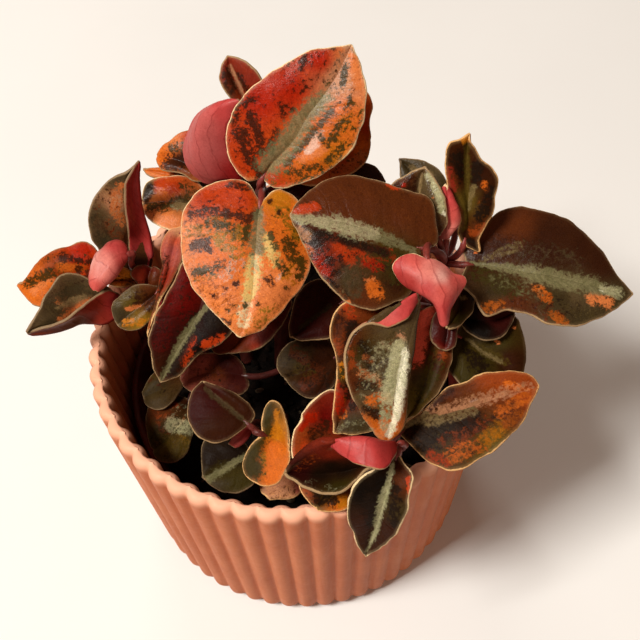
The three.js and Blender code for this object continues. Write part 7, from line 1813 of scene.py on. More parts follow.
    "leaf_small_cupped": {
        "slot": "leaf_red_orange",
        "rib": 1,
        "cup": 0.6,
        "folded": False,
        "puff": 0,
        "open": [],
        "crosswise": False,
        "rim": [226, 178, 120],
        "mottle": 0.6,
        "gleam": 0.0,
        "slant": 0.85,
        "stem": "stem_front_left",
        "branch": 0,
        "at": 1.0,
        "via": [],
        "turned": False,
        "rails": [
            [-7.5, -32.3, 79.1, -7.6, -30.4, 80.1, -7.2, -28.6, 81.0, -6.5, -26.8, 81.9, -4.9, -25.8, 82.7, -3.1, -26.8, 82.6, -2.2, -28.6, 81.9, -1.7, -30.5, 81.1, -1.3, -32.4, 80.3, -1.2, -34.3, 79.4, -1.2, -36.1, 78.4],
            [-7.5, -32.5, 79.0, -6.8, -32.6, 78.6, -6.2, -32.8, 78.3, -5.5, -33.0, 78.1, -4.9, -33.3, 77.9, -4.2, -33.6, 77.8, -3.6, -34.0, 77.8, -3.0, -34.5, 77.8, -2.4, -35.1, 77.9, -1.8, -35.7, 78.1, -1.2, -36.3, 78.3],
            [-7.8, -32.8, 78.8, -10.0, -34.2, 77.8, -11.5, -36.1, 76.6, -12.4, -38.3, 75.3, -11.7, -40.6, 74.2, -9.4, -42.2, 73.9, -6.8, -43.3, 73.9, -4.2, -42.8, 74.6, -2.6, -41.0, 75.8, -1.3, -39.0, 77.1, -1.2, -36.5, 78.2],
        ],
        "base": [
            ["OL", -10.4, -35.4, 77.0],
            ["OL", -9.9, -39.0, 75.0],
            ["O", -5.0, -36.1, 76.6],
            ["O", -5.5, -41.0, 74.9],
            ["OL", -5.9, -29.6, 80.2],
            ["G", -4.3, -31.7, 78.9],
            ["OL", -6.8, -27.6, 81.4],
        ],
        "under": [
            ["PD", -7.1, -36.6, 76.2],
        ],
        "marks": [
            [1, "O", 1.54, 1.54, 0.8, -5.1, -35.0, 77.0, -5.6, -41.4, 74.8],
            [1, "G", 0.77, 0.77, 0.8, -3.8, -28.2, 81.4, -3.9, -33.3, 78.0],
            [1, "Y", 1.03, 1.03, 0.3, -7.3, -36.5, 76.2, -7.5, -40.8, 74.6],
            [2, "OL", 2.56, 2.56, 0.9, -9.1, -33.6, 78.2, -10.6, -36.9, 76.0, -9.4, -39.4, 74.9],
            [2, "OL", 1.67, 1.67, 0.9, -6.4, -27.2, 81.7, -6.6, -31.6, 79.2],
            [2, "DB", 1.28, 1.28, 0.4, -10.8, -35.4, 77.0, -10.7, -38.2, 75.4],
        ],
    },
    "leaf_small_dark": {
        "slot": "leaf_dark",
        "rib": 1,
        "cup": 0.6,
        "folded": False,
        "puff": 0,
        "open": [],
        "crosswise": False,
        "rim": [168, 138, 100],
        "mottle": 0.25,
        "gleam": 0.0,
        "slant": 0.85,
        "stem": "stem_front_left",
        "branch": 0,
        "at": 1.0,
        "via": [],
        "turned": False,
        "rails": [
            [-10.9, -30.6, 79.8, -13.0, -32.2, 79.5, -15.3, -33.6, 79.1, -17.9, -34.2, 79.0, -20.5, -33.6, 79.4, -22.6, -32.0, 80.2, -24.0, -29.9, 81.1, -24.4, -27.4, 82.1, -23.9, -24.9, 83.1, -22.8, -22.5, 83.9, -20.9, -20.6, 84.3],
            [-10.6, -30.2, 80.0, -11.6, -29.5, 80.7, -12.6, -28.7, 81.4, -13.7, -27.8, 81.9, -14.8, -27.0, 82.4, -15.8, -26.1, 82.9, -16.9, -25.2, 83.3, -17.9, -24.1, 83.6, -18.9, -23.0, 83.9, -19.9, -21.9, 84.1, -20.9, -20.6, 84.3],
            [-10.2, -30.3, 80.0, -9.1, -29.2, 81.1, -9.0, -27.9, 82.1, -9.9, -26.7, 82.9, -11.2, -25.7, 83.5, -12.6, -24.6, 84.1, -14.1, -23.7, 84.4, -15.7, -23.0, 84.6, -17.4, -22.2, 84.6, -19.1, -21.4, 84.5, -20.9, -20.6, 84.3],
        ],
        "base": [
            ["MA", -17.9, -25.2, 83.2],
            ["DB", -14.4, -25.5, 83.3],
            ["MA", -21.5, -27.3, 82.2],
            ["DB", -12.4, -29.5, 80.8],
            ["DB", -19.3, -31.4, 80.4],
        ],
        "under": [
            ["PD", -16.8, -27.3, 82.3],
        ],
        "marks": [
            [3, "GR", 1.03, 1.03, 0.5, -20.0, -22.8, 83.9, -15.8, -26.2, 82.8, -11.4, -29.6, 80.6],
        ],
    },
    "leaf_small_green": {
        "slot": "leaf_olive",
        "rib": 1,
        "cup": 0.6,
        "folded": False,
        "puff": 0,
        "open": [],
        "crosswise": False,
        "rim": [140, 116, 86],
        "mottle": 0.3,
        "gleam": 0.05,
        "slant": 0.85,
        "stem": "stem_front_left",
        "branch": 0,
        "at": 0.555,
        "via": [],
        "turned": False,
        "rails": [
            [-11.0, -32.7, 65.7, -10.4, -34.6, 65.5, -10.1, -36.5, 65.2, -10.8, -38.3, 64.8, -12.4, -39.2, 64.6, -14.1, -39.9, 64.5, -16.0, -40.0, 64.4, -17.9, -39.6, 64.4, -19.7, -38.7, 64.5, -21.3, -37.5, 64.6, -22.6, -36.0, 64.7],
            [-11.0, -31.5, 66.0, -12.3, -31.8, 66.0, -13.5, -32.1, 66.0, -14.7, -32.5, 66.0, -15.9, -33.0, 65.9, -17.1, -33.5, 65.7, -18.2, -34.0, 65.6, -19.4, -34.5, 65.4, -20.6, -35.0, 65.2, -21.7, -35.5, 64.9, -22.9, -36.0, 64.7],
            [-11.2, -30.3, 66.3, -12.3, -28.4, 67.0, -13.9, -26.7, 67.6, -16.0, -25.7, 68.0, -18.3, -25.4, 68.1, -20.6, -25.8, 68.0, -22.4, -27.1, 67.6, -23.2, -29.2, 67.0, -23.3, -31.4, 66.3, -23.2, -33.6, 65.6, -23.1, -35.7, 64.7],
        ],
        "base": [
            ["OL", -18.8, -34.4, 65.5],
            ["BK", -21.1, -31.9, 66.2],
            ["GB", -20.1, -37.7, 64.7],
            ["OL", -13.8, -37.0, 65.0],
            ["BK", -15.0, -31.0, 66.4],
        ],
        "under": [
            ["PD", -17.5, -34.4, 65.5],
        ],
        "marks": [
            [2, "BK", 2.31, 2.31, 0.5, -22.3, -30.6, 66.6, -15.7, -29.7, 66.8],
            [3, "SV", 1.79, 1.28, 0.75, -22.1, -36.5, 64.7, -18.2, -34.6, 65.4],
            [3, "SV", 1.54, 0.77, 0.75, -18.2, -34.6, 65.4, -13.8, -31.9, 66.1, -11.5, -30.6, 66.3],
        ],
    },
    "leaf_in_pot_1": {
        "slot": "leaf_olive",
        "rib": 1,
        "cup": 0.6,
        "folded": False,
        "puff": 0,
        "open": [],
        "crosswise": False,
        "rim": [140, 116, 86],
        "mottle": 1,
        "gleam": 0.15,
        "slant": 0.85,
        "stem": "stem_left",
        "branch": 0,
        "at": 0.115,
        "via": [],
        "turned": False,
        "rails": [
            [-27.3, -11.6, 58.9, -26.6, -14.3, 58.8, -26.1, -17.0, 58.6, -26.3, -19.6, 58.5, -27.0, -22.0, 58.3, -27.7, -24.4, 58.0, -28.9, -26.4, 57.8, -30.9, -27.6, 57.5, -33.2, -27.8, 57.4, -35.5, -26.7, 57.3, -36.9, -24.5, 57.4],
            [-27.9, -10.4, 59.0, -28.4, -12.3, 59.1, -29.0, -14.0, 59.2, -29.6, -15.6, 59.1, -30.4, -17.2, 59.1, -31.3, -18.6, 59.0, -32.3, -19.8, 58.8, -33.4, -21.0, 58.5, -34.5, -22.1, 58.2, -35.7, -23.0, 57.9, -37.0, -23.9, 57.5],
            [-28.9, -9.8, 59.1, -31.1, -9.0, 59.3, -33.4, -8.6, 59.5, -35.6, -8.8, 59.6, -37.5, -9.9, 59.5, -38.6, -11.9, 59.3, -39.0, -14.3, 59.0, -39.0, -16.7, 58.7, -38.8, -19.0, 58.3, -38.2, -21.3, 57.9, -37.2, -23.4, 57.5],
        ],
        "base": [
            ["OL", -34.4, -8.6, 59.6],
            ["BR", -35.5, -13.3, 59.3],
            ["GB", -31.4, -19.0, 59.0],
            ["OM", -32.7, -24.2, 58.0],
            ["DB", -29.1, -10.5, 59.1],
            ["OL", -35.1, -21.3, 58.3],
            ["BK", -36.3, -9.1, 59.6],
        ],
        "under": [
            ["PD", -32.8, -13.3, 59.3],
        ],
        "marks": [
            [1, "BO", 2.56, 2.56, 0.05, -36.0, -8.9, 59.6, -33.2, -17.5, 59.1],
            [1, "O", 2.31, 2.31, -0.02, -35.4, -8.7, 59.6, -31.3, -16.3, 59.2],
            [1, "S", 2.31, 2.31, -0.12, -34.4, -10.3, 59.5, -32.8, -16.2, 59.2],
            [1, "Y", 2.56, 2.56, 0.0, -33.9, -21.4, 58.4, -28.8, -24.4, 58.1],
            [1, "OR", 1.28, 1.28, 0.25, -34.1, -9.8, 59.5, -32.1, -12.2, 59.4],
            [2, "BK", 2.56, 2.56, -0.02, -34.4, -8.6, 59.6, -30.3, -13.6, 59.3],
            [2, "BK", 3.08, 3.08, -0.1, -33.9, -21.4, 58.4, -31.1, -26.9, 57.6],
            [3, "SG", 2.31, 2.05, 0.3, -32.1, -17.5, 59.1, -27.5, -19.1, 58.7],
            [3, "SG", 1.79, 1.79, -0.08, -31.3, -11.6, 59.4, -28.5, -18.6, 58.8],
            [3, "TG", 2.31, 2.31, -0.05, -33.8, -22.9, 58.1, -28.7, -25.1, 58.0],
        ],
    },
    "leaf_in_pot_2": {
        "slot": "leaf_olive",
        "rib": 1,
        "cup": 0.6,
        "folded": False,
        "puff": 0,
        "open": [],
        "crosswise": False,
        "rim": [140, 116, 86],
        "mottle": 1,
        "gleam": 0.05,
        "slant": 0.85,
        "stem": "stem_left",
        "branch": 0,
        "at": 0.192,
        "via": [],
        "turned": False,
        "rails": [
            [-28.6, -6.6, 61.8, -29.3, -8.1, 61.9, -29.9, -9.6, 61.9, -30.6, -11.0, 61.9, -31.4, -12.2, 61.8, -32.4, -13.3, 61.7, -33.6, -14.0, 61.5, -35.0, -14.3, 61.4, -36.5, -14.1, 61.2, -37.9, -13.3, 61.1, -39.2, -12.1, 60.9],
            [-28.7, -5.2, 62.0, -29.7, -5.9, 62.2, -30.8, -6.6, 62.3, -31.9, -7.2, 62.4, -33.0, -7.8, 62.4, -34.0, -8.3, 62.4, -35.1, -8.9, 62.3, -36.3, -9.3, 62.1, -37.4, -9.7, 61.8, -38.6, -10.1, 61.5, -39.7, -10.4, 61.2],
            [-28.7, -3.8, 62.2, -30.1, -3.3, 62.6, -31.5, -2.9, 62.9, -33.0, -2.7, 63.0, -34.5, -2.9, 63.1, -35.9, -3.3, 63.1, -37.1, -4.1, 62.9, -38.1, -5.2, 62.6, -38.9, -6.4, 62.3, -39.5, -7.7, 61.9, -40.1, -9.0, 61.4],
        ],
        "base": [
            ["OL", -37.2, -4.2, 62.9],
            ["BR", -35.0, -3.0, 63.1],
            ["GB", -36.6, -7.4, 62.4],
        ],
        "under": [
            ["PD", -37.6, -4.6, 62.7],
        ],
        "marks": [
            [1, "BO", 2.31, 2.31, -0.1, -37.2, -4.2, 62.9, -33.9, -6.2, 62.7],
            [2, "BK", 2.56, 2.56, -0.1, -37.2, -4.2, 62.9, -34.0, -7.6, 62.5],
        ],
    },
    "leaf_in_pot_3": {
        "slot": "leaf_pink",
        "rib": 1,
        "cup": 0.6,
        "folded": False,
        "puff": 0,
        "open": [],
        "crosswise": False,
        "rim": [226, 178, 120],
        "mottle": 0.8,
        "gleam": 0.2,
        "slant": 0.85,
        "stem": "stem_front_left",
        "branch": 0,
        "at": 0.301,
        "via": [],
        "turned": False,
        "rails": [
            [-0.1, -35.3, 59.9, 0.4, -36.5, 59.9, 0.6, -37.7, 59.8, 0.1, -38.7, 59.8, -0.7, -39.5, 59.7, -1.8, -40.0, 59.7, -2.9, -40.2, 59.6, -4.1, -40.2, 59.6, -5.2, -40.1, 59.5, -6.4, -40.0, 59.4, -7.5, -39.9, 59.3],
            [-0.5, -34.5, 60.0, -1.4, -34.9, 60.1, -2.2, -35.3, 60.1, -3.1, -35.7, 60.1, -3.8, -36.1, 60.1, -4.6, -36.6, 60.0, -5.4, -37.1, 60.0, -6.1, -37.6, 59.9, -6.9, -38.0, 59.7, -7.7, -38.4, 59.6, -8.5, -38.8, 59.4],
            [-0.7, -33.5, 60.1, -2.0, -33.1, 60.3, -3.2, -32.8, 60.4, -4.5, -32.6, 60.5, -5.8, -32.7, 60.5, -7.0, -33.1, 60.4, -8.1, -33.7, 60.3, -9.0, -34.7, 60.2, -9.6, -35.8, 60.0, -9.6, -37.1, 59.7, -9.2, -38.3, 59.5],
        ],
        "base": [
            ["TP", -2.4, -39.2, 59.8],
            ["PB", 0.1, -38.5, 59.8],
            ["TP", -4.8, -40.1, 59.5],
        ],
        "under": [
            ["TP", -2.4, -39.2, 59.8],
            ["PB", 0.1, -38.5, 59.8],
            ["TP", -4.8, -40.1, 59.5],
        ],
        "marks": [
            [2, "BR", 2.31, 2.31, -0.1, -4.8, -40.1, 59.5, -0.0, -38.9, 59.8],
        ],
    },
    "leaf_small_rolled": {
        "slot": "leaf_pink",
        "rib": 1,
        "cup": -0.6,
        "folded": False,
        "puff": 0,
        "open": [],
        "crosswise": False,
        "rim": [244, 214, 165],
        "mottle": 0.2,
        "gleam": 0.5,
        "slant": 0.85,
        "stem": "stem_front_left",
        "branch": 0,
        "at": 1.0,
        "via": [],
        "turned": False,
        "rails": [
            [-10.5, -28.2, 76.2, -11.3, -27.8, 76.2, -12.0, -27.7, 76.0, -12.6, -28.1, 75.7, -13.0, -28.7, 75.3, -13.5, -29.2, 75.0, -13.9, -29.7, 74.7, -14.4, -30.2, 74.4, -14.9, -30.7, 74.2, -15.4, -31.2, 73.9, -15.9, -31.8, 73.8],
            [-10.3, -28.6, 76.0, -10.7, -29.0, 75.9, -11.2, -29.5, 75.7, -11.6, -29.9, 75.6, -12.0, -30.4, 75.4, -12.5, -30.8, 75.1, -12.9, -31.1, 74.9, -13.4, -31.5, 74.6, -13.9, -31.8, 74.3, -14.4, -32.0, 74.0, -15.0, -32.3, 73.6],
            [-10.1, -29.0, 75.8, -10.4, -29.3, 75.3, -10.7, -29.8, 74.9, -11.1, -30.2, 74.5, -11.4, -30.6, 74.2, -11.8, -31.0, 73.9, -12.2, -31.4, 73.7, -12.7, -31.8, 73.5, -13.2, -32.1, 73.4, -13.7, -32.4, 73.3, -14.3, -32.7, 73.4],
        ],
        "base": [
            ["RD", -13.0, -29.0, 75.3],
        ],
        "under": [
            ["PK", -13.0, -29.6, 75.2],
            ["PB", -14.0, -30.8, 74.6],
        ],
        "marks": [
        ],
    },
    "leaf_centre_1": {
        "slot": "leaf_dark",
        "rib": 1,
        "cup": 0.6,
        "folded": False,
        "puff": 0,
        "open": [],
        "crosswise": False,
        "rim": [168, 138, 100],
        "mottle": 0.3,
        "gleam": 0.05,
        "slant": 0.85,
        "stem": "stem_centre",
        "branch": 0,
        "at": 1.0,
        "via": [],
        "turned": False,
        "rails": [
            [13.4, -3.3, 87.8, 13.2, -5.4, 87.4, 12.8, -7.4, 86.9, 12.0, -9.1, 86.5, 10.8, -10.6, 86.0, 9.2, -11.6, 85.8, 7.3, -11.9, 85.7, 5.4, -11.9, 85.7, 3.5, -11.9, 85.6, 1.7, -11.5, 85.5, -0.2, -10.7, 85.5],
            [13.1, -2.9, 88.0, 11.6, -3.6, 88.2, 10.2, -4.3, 88.3, 8.8, -5.2, 88.2, 7.5, -6.1, 88.0, 6.2, -7.0, 87.7, 5.0, -7.8, 87.4, 3.7, -8.6, 87.0, 2.4, -9.4, 86.6, 1.1, -10.1, 86.1, -0.2, -10.7, 85.5],
            [13.2, -2.4, 88.2, 11.8, -0.8, 89.6, 10.1, 0.7, 90.8, 7.9, 1.6, 91.7, 5.4, 0.9, 91.8, 3.3, -0.5, 91.3, 1.7, -2.4, 90.6, 0.8, -4.5, 89.5, 0.2, -6.7, 88.3, -0.4, -8.8, 87.0, -0.2, -10.7, 85.5],
        ],
        "base": [
            ["MA", 4.8, -7.3, 87.6],
            ["DB", 7.5, -3.1, 89.4],
            ["MA", 2.4, -9.3, 86.6],
        ],
        "under": [
            ["PD", 5.9, -6.2, 88.1],
        ],
        "marks": [
            [3, "GB", 0.87, 0.87, 0.9, 2.4, -8.9, 86.9, 6.3, -6.5, 87.9, 9.6, -4.2, 88.5],
        ],
    },
    "leaf_centre_2": {
        "slot": "leaf_brown",
        "rib": 1,
        "cup": 0.6,
        "folded": False,
        "puff": 0,
        "open": [],
        "crosswise": False,
        "rim": [140, 116, 86],
        "mottle": 0.4,
        "gleam": 0.05,
        "slant": 0.85,
        "stem": "stem_centre",
        "branch": 0,
        "at": 1.0,
        "via": [],
        "turned": False,
        "rails": [
            [-3.2, 4.2, 85.8, -1.0, 2.3, 85.6, 0.6, -0.0, 85.0, -0.3, -2.6, 84.2, -1.8, -4.8, 83.4, -3.4, -6.8, 82.5, -5.2, -8.6, 81.5, -7.5, -9.9, 80.8, -10.1, -10.5, 80.1, -12.8, -10.5, 79.7, -15.6, -10.1, 79.2],
            [-4.2, 4.7, 86.0, -5.0, 2.8, 85.5, -5.8, 0.9, 85.0, -6.7, -0.9, 84.4, -7.7, -2.5, 83.8, -8.9, -4.0, 83.2, -10.2, -5.3, 82.5, -11.5, -6.6, 81.8, -12.9, -7.8, 81.0, -14.2, -9.0, 80.1, -15.6, -10.1, 79.2],
            [-5.2, 5.0, 86.1, -7.7, 4.1, 86.2, -10.2, 2.9, 86.0, -12.3, 1.3, 85.5, -14.0, -0.7, 84.8, -15.6, -2.7, 83.9, -17.1, -4.6, 83.0, -18.5, -6.7, 81.9, -19.5, -8.8, 80.6, -18.2, -10.3, 79.6, -15.6, -10.1, 79.2],
        ],
        "base": [
            ["RD", -9.0, -10.2, 80.4],
            ["MA", -6.5, -8.3, 81.5],
            ["BR", -10.4, -10.5, 80.0],
        ],
        "under": [
            ["PD", -7.8, -10.0, 80.7],
        ],
        "marks": [
        ],
    },
    "leaf_centre_3": {
        "slot": "leaf_dark",
        "rib": 1,
        "cup": 0.6,
        "folded": False,
        "puff": 0,
        "open": [],
        "crosswise": False,
        "rim": [140, 116, 86],
        "mottle": 1,
        "gleam": 0.05,
        "slant": 0.85,
        "stem": "stem_centre",
        "branch": 0,
        "at": 0.428,
        "via": [],
        "turned": False,
        "rails": [
            [-11.5, -13.2, 71.7, -11.2, -15.3, 71.5, -12.6, -16.8, 71.3, -14.4, -17.5, 71.3, -16.3, -17.7, 71.3, -18.3, -17.6, 71.4, -20.3, -17.3, 71.4, -22.3, -16.9, 71.3, -24.2, -16.3, 71.2, -26.0, -15.2, 71.2, -27.7, -13.6, 71.2],
            [-11.7, -12.2, 72.0, -13.3, -12.1, 72.4, -14.9, -11.9, 72.6, -16.6, -11.7, 72.9, -18.2, -11.6, 73.0, -19.9, -11.5, 73.0, -21.6, -11.5, 73.0, -23.2, -11.7, 72.7, -24.8, -12.1, 72.4, -26.4, -12.6, 71.9, -27.9, -13.1, 71.4],
            [-11.9, -11.2, 72.3, -12.7, -9.4, 73.4, -14.0, -7.8, 74.3, -16.1, -6.9, 74.8, -18.3, -6.6, 75.0, -20.6, -6.5, 75.0, -22.9, -6.6, 74.9, -25.0, -7.3, 74.5, -26.7, -8.5, 73.8, -27.8, -10.2, 72.8, -28.4, -12.1, 71.7],
        ],
        "base": [
            ["PB", -22.0, -8.3, 74.2],
            ["BR", -22.8, -6.6, 74.9],
            ["MA", -17.0, -8.5, 74.2],
            ["MA", -14.7, -12.0, 72.5],
            ["BR", -19.4, -10.7, 73.3],
        ],
        "under": [
            ["PD", -19.6, -9.5, 73.8],
        ],
        "marks": [
            [1, "PB", 2.56, 2.56, -0.05, -24.3, -7.0, 74.7, -19.5, -10.3, 73.4],
            [2, "MA", 2.05, 2.05, 0.3, -17.1, -9.0, 74.0, -13.4, -11.4, 72.7],
            [2, "BK", 2.56, 2.56, -0.1, -23.3, -8.2, 74.2, -18.3, -11.3, 73.1],
        ],
    },
    "leaf_centre_4": {
        "slot": "leaf_dark",
        "rib": 1,
        "cup": 0.6,
        "folded": False,
        "puff": 0,
        "open": [],
        "crosswise": False,
        "rim": [140, 116, 86],
        "mottle": 1,
        "gleam": 0.05,
        "slant": 0.85,
        "stem": "stem_centre",
        "branch": 0,
        "at": 0.606,
        "via": [],
        "turned": False,
        "rails": [
            [11.0, -11.8, 75.5, 10.9, -14.1, 75.2, 10.5, -16.3, 74.9, 9.4, -18.2, 74.5, 7.8, -19.5, 74.1, 6.0, -20.4, 73.8, 3.9, -20.7, 73.6, 2.0, -20.1, 73.7, 0.3, -18.6, 73.9, -1.1, -16.9, 74.1, -2.4, -15.0, 74.2],
            [11.1, -10.4, 76.0, 9.8, -11.1, 76.1, 8.5, -11.8, 76.1, 7.1, -12.4, 76.0, 5.8, -13.0, 75.9, 4.5, -13.6, 75.8, 3.2, -14.0, 75.5, 1.8, -14.4, 75.3, 0.4, -14.6, 75.0, -1.0, -14.7, 74.6, -2.4, -14.8, 74.2],
            [11.2, -9.4, 76.3, 9.9, -7.7, 77.4, 8.2, -6.3, 78.2, 5.9, -5.6, 78.6, 3.6, -5.7, 78.7, 1.3, -6.2, 78.5, -0.8, -7.2, 78.1, -2.6, -8.6, 77.4, -3.8, -10.4, 76.5, -4.0, -12.5, 75.5, -2.9, -14.3, 74.4],
        ],
        "base": [
            ["DB", 4.1, -13.9, 75.7],
            ["DB", 7.5, -18.9, 74.3],
            ["GB", 1.6, -11.2, 76.5],
            ["DB", 6.6, -11.5, 76.3],
        ],
        "under": [
            ["PD", 5.3, -13.9, 75.7],
        ],
        "marks": [
            [1, "BD", 1.79, 1.79, 0.3, 0.8, -9.5, 77.2, 2.7, -11.3, 76.6],
            [1, "BD", 1.79, 1.79, 0.3, 2.9, -17.1, 74.5, 5.3, -16.3, 75.0],
            [1, "BD", 1.28, 1.28, 0.2, 5.0, -12.9, 76.0, 7.0, -14.3, 75.5],
            [1, "OM", 2.05, 2.05, 0.2, 1.7, -13.1, 75.8, 4.0, -14.2, 75.5],
            [2, "BK", 3.08, 3.08, -0.02, 1.7, -12.3, 76.1, 7.6, -17.5, 74.6],
        ],
    },
    "leaf_behind_1": {
        "slot": "leaf_dark",
        "rib": 1,
        "cup": 0.6,
        "folded": False,
        "puff": 0,
        "open": [],
        "crosswise": False,
        "rim": [140, 116, 86],
        "mottle": 0.7,
        "gleam": 0.5,
        "slant": 0.85,
        "stem": "stem_top",
        "branch": 0,
        "at": 0.55,
        "via": [],
        "turned": False,
        "rails": [
            [2.0, 27.0, 86.0, -0.4, 31.0, 87.8, -0.7, 33.7, 89.1, -0.4, 35.9, 90.1, 0.4, 37.9, 90.6, 1.6, 39.6, 90.9, 3.2, 41.2, 90.8, 5.1, 42.6, 90.3, 7.2, 43.9, 89.5, 9.7, 45.1, 88.5, 13.0, 46.0, 87.0],
            [2.0, 27.0, 86.0, 3.3, 28.7, 87.4, 4.5, 30.5, 88.4, 5.7, 32.3, 89.2, 6.9, 34.1, 89.8, 8.0, 36.0, 90.0, 9.1, 37.9, 90.0, 10.1, 39.9, 89.6, 11.1, 41.9, 89.0, 12.1, 43.9, 88.2, 13.0, 46.0, 87.0],
            [2.0, 27.0, 86.0, 6.6, 26.0, 87.8, 9.4, 26.8, 89.1, 11.6, 28.2, 90.1, 13.2, 30.1, 90.6, 14.3, 32.3, 90.9, 15.0, 34.7, 90.8, 15.3, 37.4, 90.3, 15.2, 40.1, 89.5, 14.6, 42.9, 88.5, 13.0, 46.0, 87.0],
        ],
        "base": [
            ["BR", 3.4, 41.3, 90.8],
        ],
        "under": [
            ["PD", 3.4, 41.3, 90.8],
        ],
        "marks": [
            [1, "O", 1.28, 1.28, 0.3, 5.6, 42.9, 90.1],
        ],
    },
    "leaf_behind_2": {
        "slot": "leaf_dark",
        "rib": 1,
        "cup": 0.6,
        "folded": False,
        "puff": 0,
        "open": [],
        "crosswise": False,
        "rim": [140, 116, 86],
        "mottle": 0.6,
        "gleam": 0.5,
        "slant": 0.85,
        "stem": "stem_back_left",
        "branch": 0,
        "at": 0.6,
        "via": [],
        "turned": False,
        "rails": [
            [-11.0, 30.0, 83.0, -15.4, 30.1, 84.6, -17.7, 31.5, 85.7, -19.3, 33.2, 86.4, -20.3, 35.3, 86.8, -20.7, 37.6, 86.8, -20.6, 39.8, 86.5, -20.0, 42.1, 85.8, -19.0, 44.3, 84.9, -17.4, 46.3, 83.6, -15.0, 48.0, 82.0],
            [-11.0, 30.0, 83.0, -11.8, 31.8, 84.2, -12.4, 33.6, 85.0, -13.0, 35.4, 85.6, -13.6, 37.2, 86.0, -14.0, 39.0, 86.0, -14.4, 40.8, 85.8, -14.6, 42.6, 85.2, -14.8, 44.4, 84.4, -15.0, 46.2, 83.4, -15.0, 48.0, 82.0],
            [-11.0, 30.0, 83.0, -7.9, 33.1, 84.6, -7.0, 35.3, 85.7, -6.6, 37.2, 86.4, -6.8, 38.9, 86.8, -7.3, 40.5, 86.8, -8.2, 42.1, 86.5, -9.3, 43.5, 85.8, -10.8, 45.0, 84.9, -12.5, 46.5, 83.6, -15.0, 48.0, 82.0],
        ],
        "base": [
            ["DB", -18.0, 45.7, 84.0],
        ],
        "under": [
            ["PD", -18.0, 45.7, 84.0],
        ],
        "marks": [
        ],
    },
}

# ------------------------------------------------------------------ numbers
def linear(c):
    c = np.asarray(c, float) / 255.0
    return np.where(c <= 0.04045, c / 12.92, ((c + 0.055) / 1.055) ** 2.4)


def tone(name):
    return linear(TONES[name]) * 0.86


TABLE = RNG.random((32, 32, 32))


def lumps(P, size, seed=0.0):
    """Smooth noise, 0 to 1, with lumps of the given size."""
    q = P / size + seed * 7.31 + 100.0
    i = np.floor(q).astype(int)
    f = q - i
    f = f * f * (3 - 2 * f)
    i %= 32
    k = (i + 1) % 32
    x0, y0, z0 = i[..., 0], i[..., 1], i[..., 2]
    x1, y1, z1 = k[..., 0], k[..., 1], k[..., 2]
    fx, fy, fz = f[..., 0], f[..., 1], f[..., 2]
    a = TABLE[x0, y0, z0] * (1 - fx) + TABLE[x1, y0, z0] * fx
    b = TABLE[x0, y1, z0] * (1 - fx) + TABLE[x1, y1, z0] * fx
    c = TABLE[x0, y0, z1] * (1 - fx) + TABLE[x1, y0, z1] * fx
    d = TABLE[x0, y1, z1] * (1 - fx) + TABLE[x1, y1, z1] * fx
    return (a * (1 - fy) + b * fy) * (1 - fz) + (c * (1 - fy) + d * fy) * fz


def spline(P, t):
    """Uniform Catmull-Rom splines through P[0], P[1], ... at t from 0 to 1."""
    P = np.asarray(P, float)
    t = np.atleast_1d(t)
    n = len(P)
    s = np.clip(t, 0, 1) * (n - 1)
    i = np.minimum(s.astype(int), n - 2)
    w = (s - i).reshape((-1,) + (1,) * (P.ndim - 1))
    ext = np.concatenate([2 * P[:1] - P[1:2], P, 2 * P[-1:] - P[-2:-1]])
    a, b, c, d = ext[i], ext[i + 1], ext[i + 2], ext[i + 3]
    return 0.5 * (2 * b + (c - a) * w + (2 * a - 5 * b + 4 * c - d) * w**2 + (3 * b - a - 3 * c + d) * w**3)


def unit(v):
    return v / np.maximum(np.linalg.norm(v, axis=-1, keepdims=True), 1e-9)


def smooth(a, b, x):
    t = np.clip((x - a) / (b - a), 0, 1)
    return t * t * (3 - 2 * t)


# ------------------------------------------------------------------ meshes
def new_object(name, verts, faces, materials, face_mat=None):
    mesh = bpy.data.meshes.new(name)
    mesh.from_pydata(np.asarray(verts).tolist(), [], [list(map(int, f)) for f in faces])
    mesh.polygons.foreach_set("use_smooth", [True] * len(mesh.polygons))
    if face_mat is not None:
        mesh.polygons.foreach_set("material_index", [int(x) for x in face_mat])
    for m in materials:
        mesh.materials.append(m)
    mesh.validate()
    mesh.update()
    obj = bpy.data.objects.new(name, mesh)
    bpy.context.scene.collection.objects.link(obj)
    return obj


def add_colour(obj, name, rgba):
    a = obj.data.attributes.new(name, "FLOAT_COLOR", "POINT")
    a.data.foreach_set("color", np.asarray(rgba, np.float32).ravel())


def add_uv(obj, uv):
    layer = obj.data.uv_layers.new(name="leaf")
    loops = np.zeros(len(obj.data.loops), np.int32)
    obj.data.loops.foreach_get("vertex_index", loops)
    layer.data.foreach_set("uv", uv[loops].astype(np.float32).ravel())


# ------------------------------------------------------------------ blades
HALF = 0.44        # half thickness in the middle of a blade
ROUND = 0.55       # how far in from the margin the rim is rounded


def columns(width):
    """Shares of the way from margin to midrib, close together at both ends."""
    near = [0.0, 0.05, 0.13, 0.25, 0.40, 0.60]
    end = [0.75, 0.45, 0.2, 0.0]
    if width < 3:
        return np.linspace(0, 1, 12) ** 1.3
    body = np.linspace(0.6, width - 0.75, max(3, int((width - 1.35) / STEP) + 1))
    return np.array(near[:-1] + list(body) + [width - e for e in end[1:]]) / width


STEP = 0.38


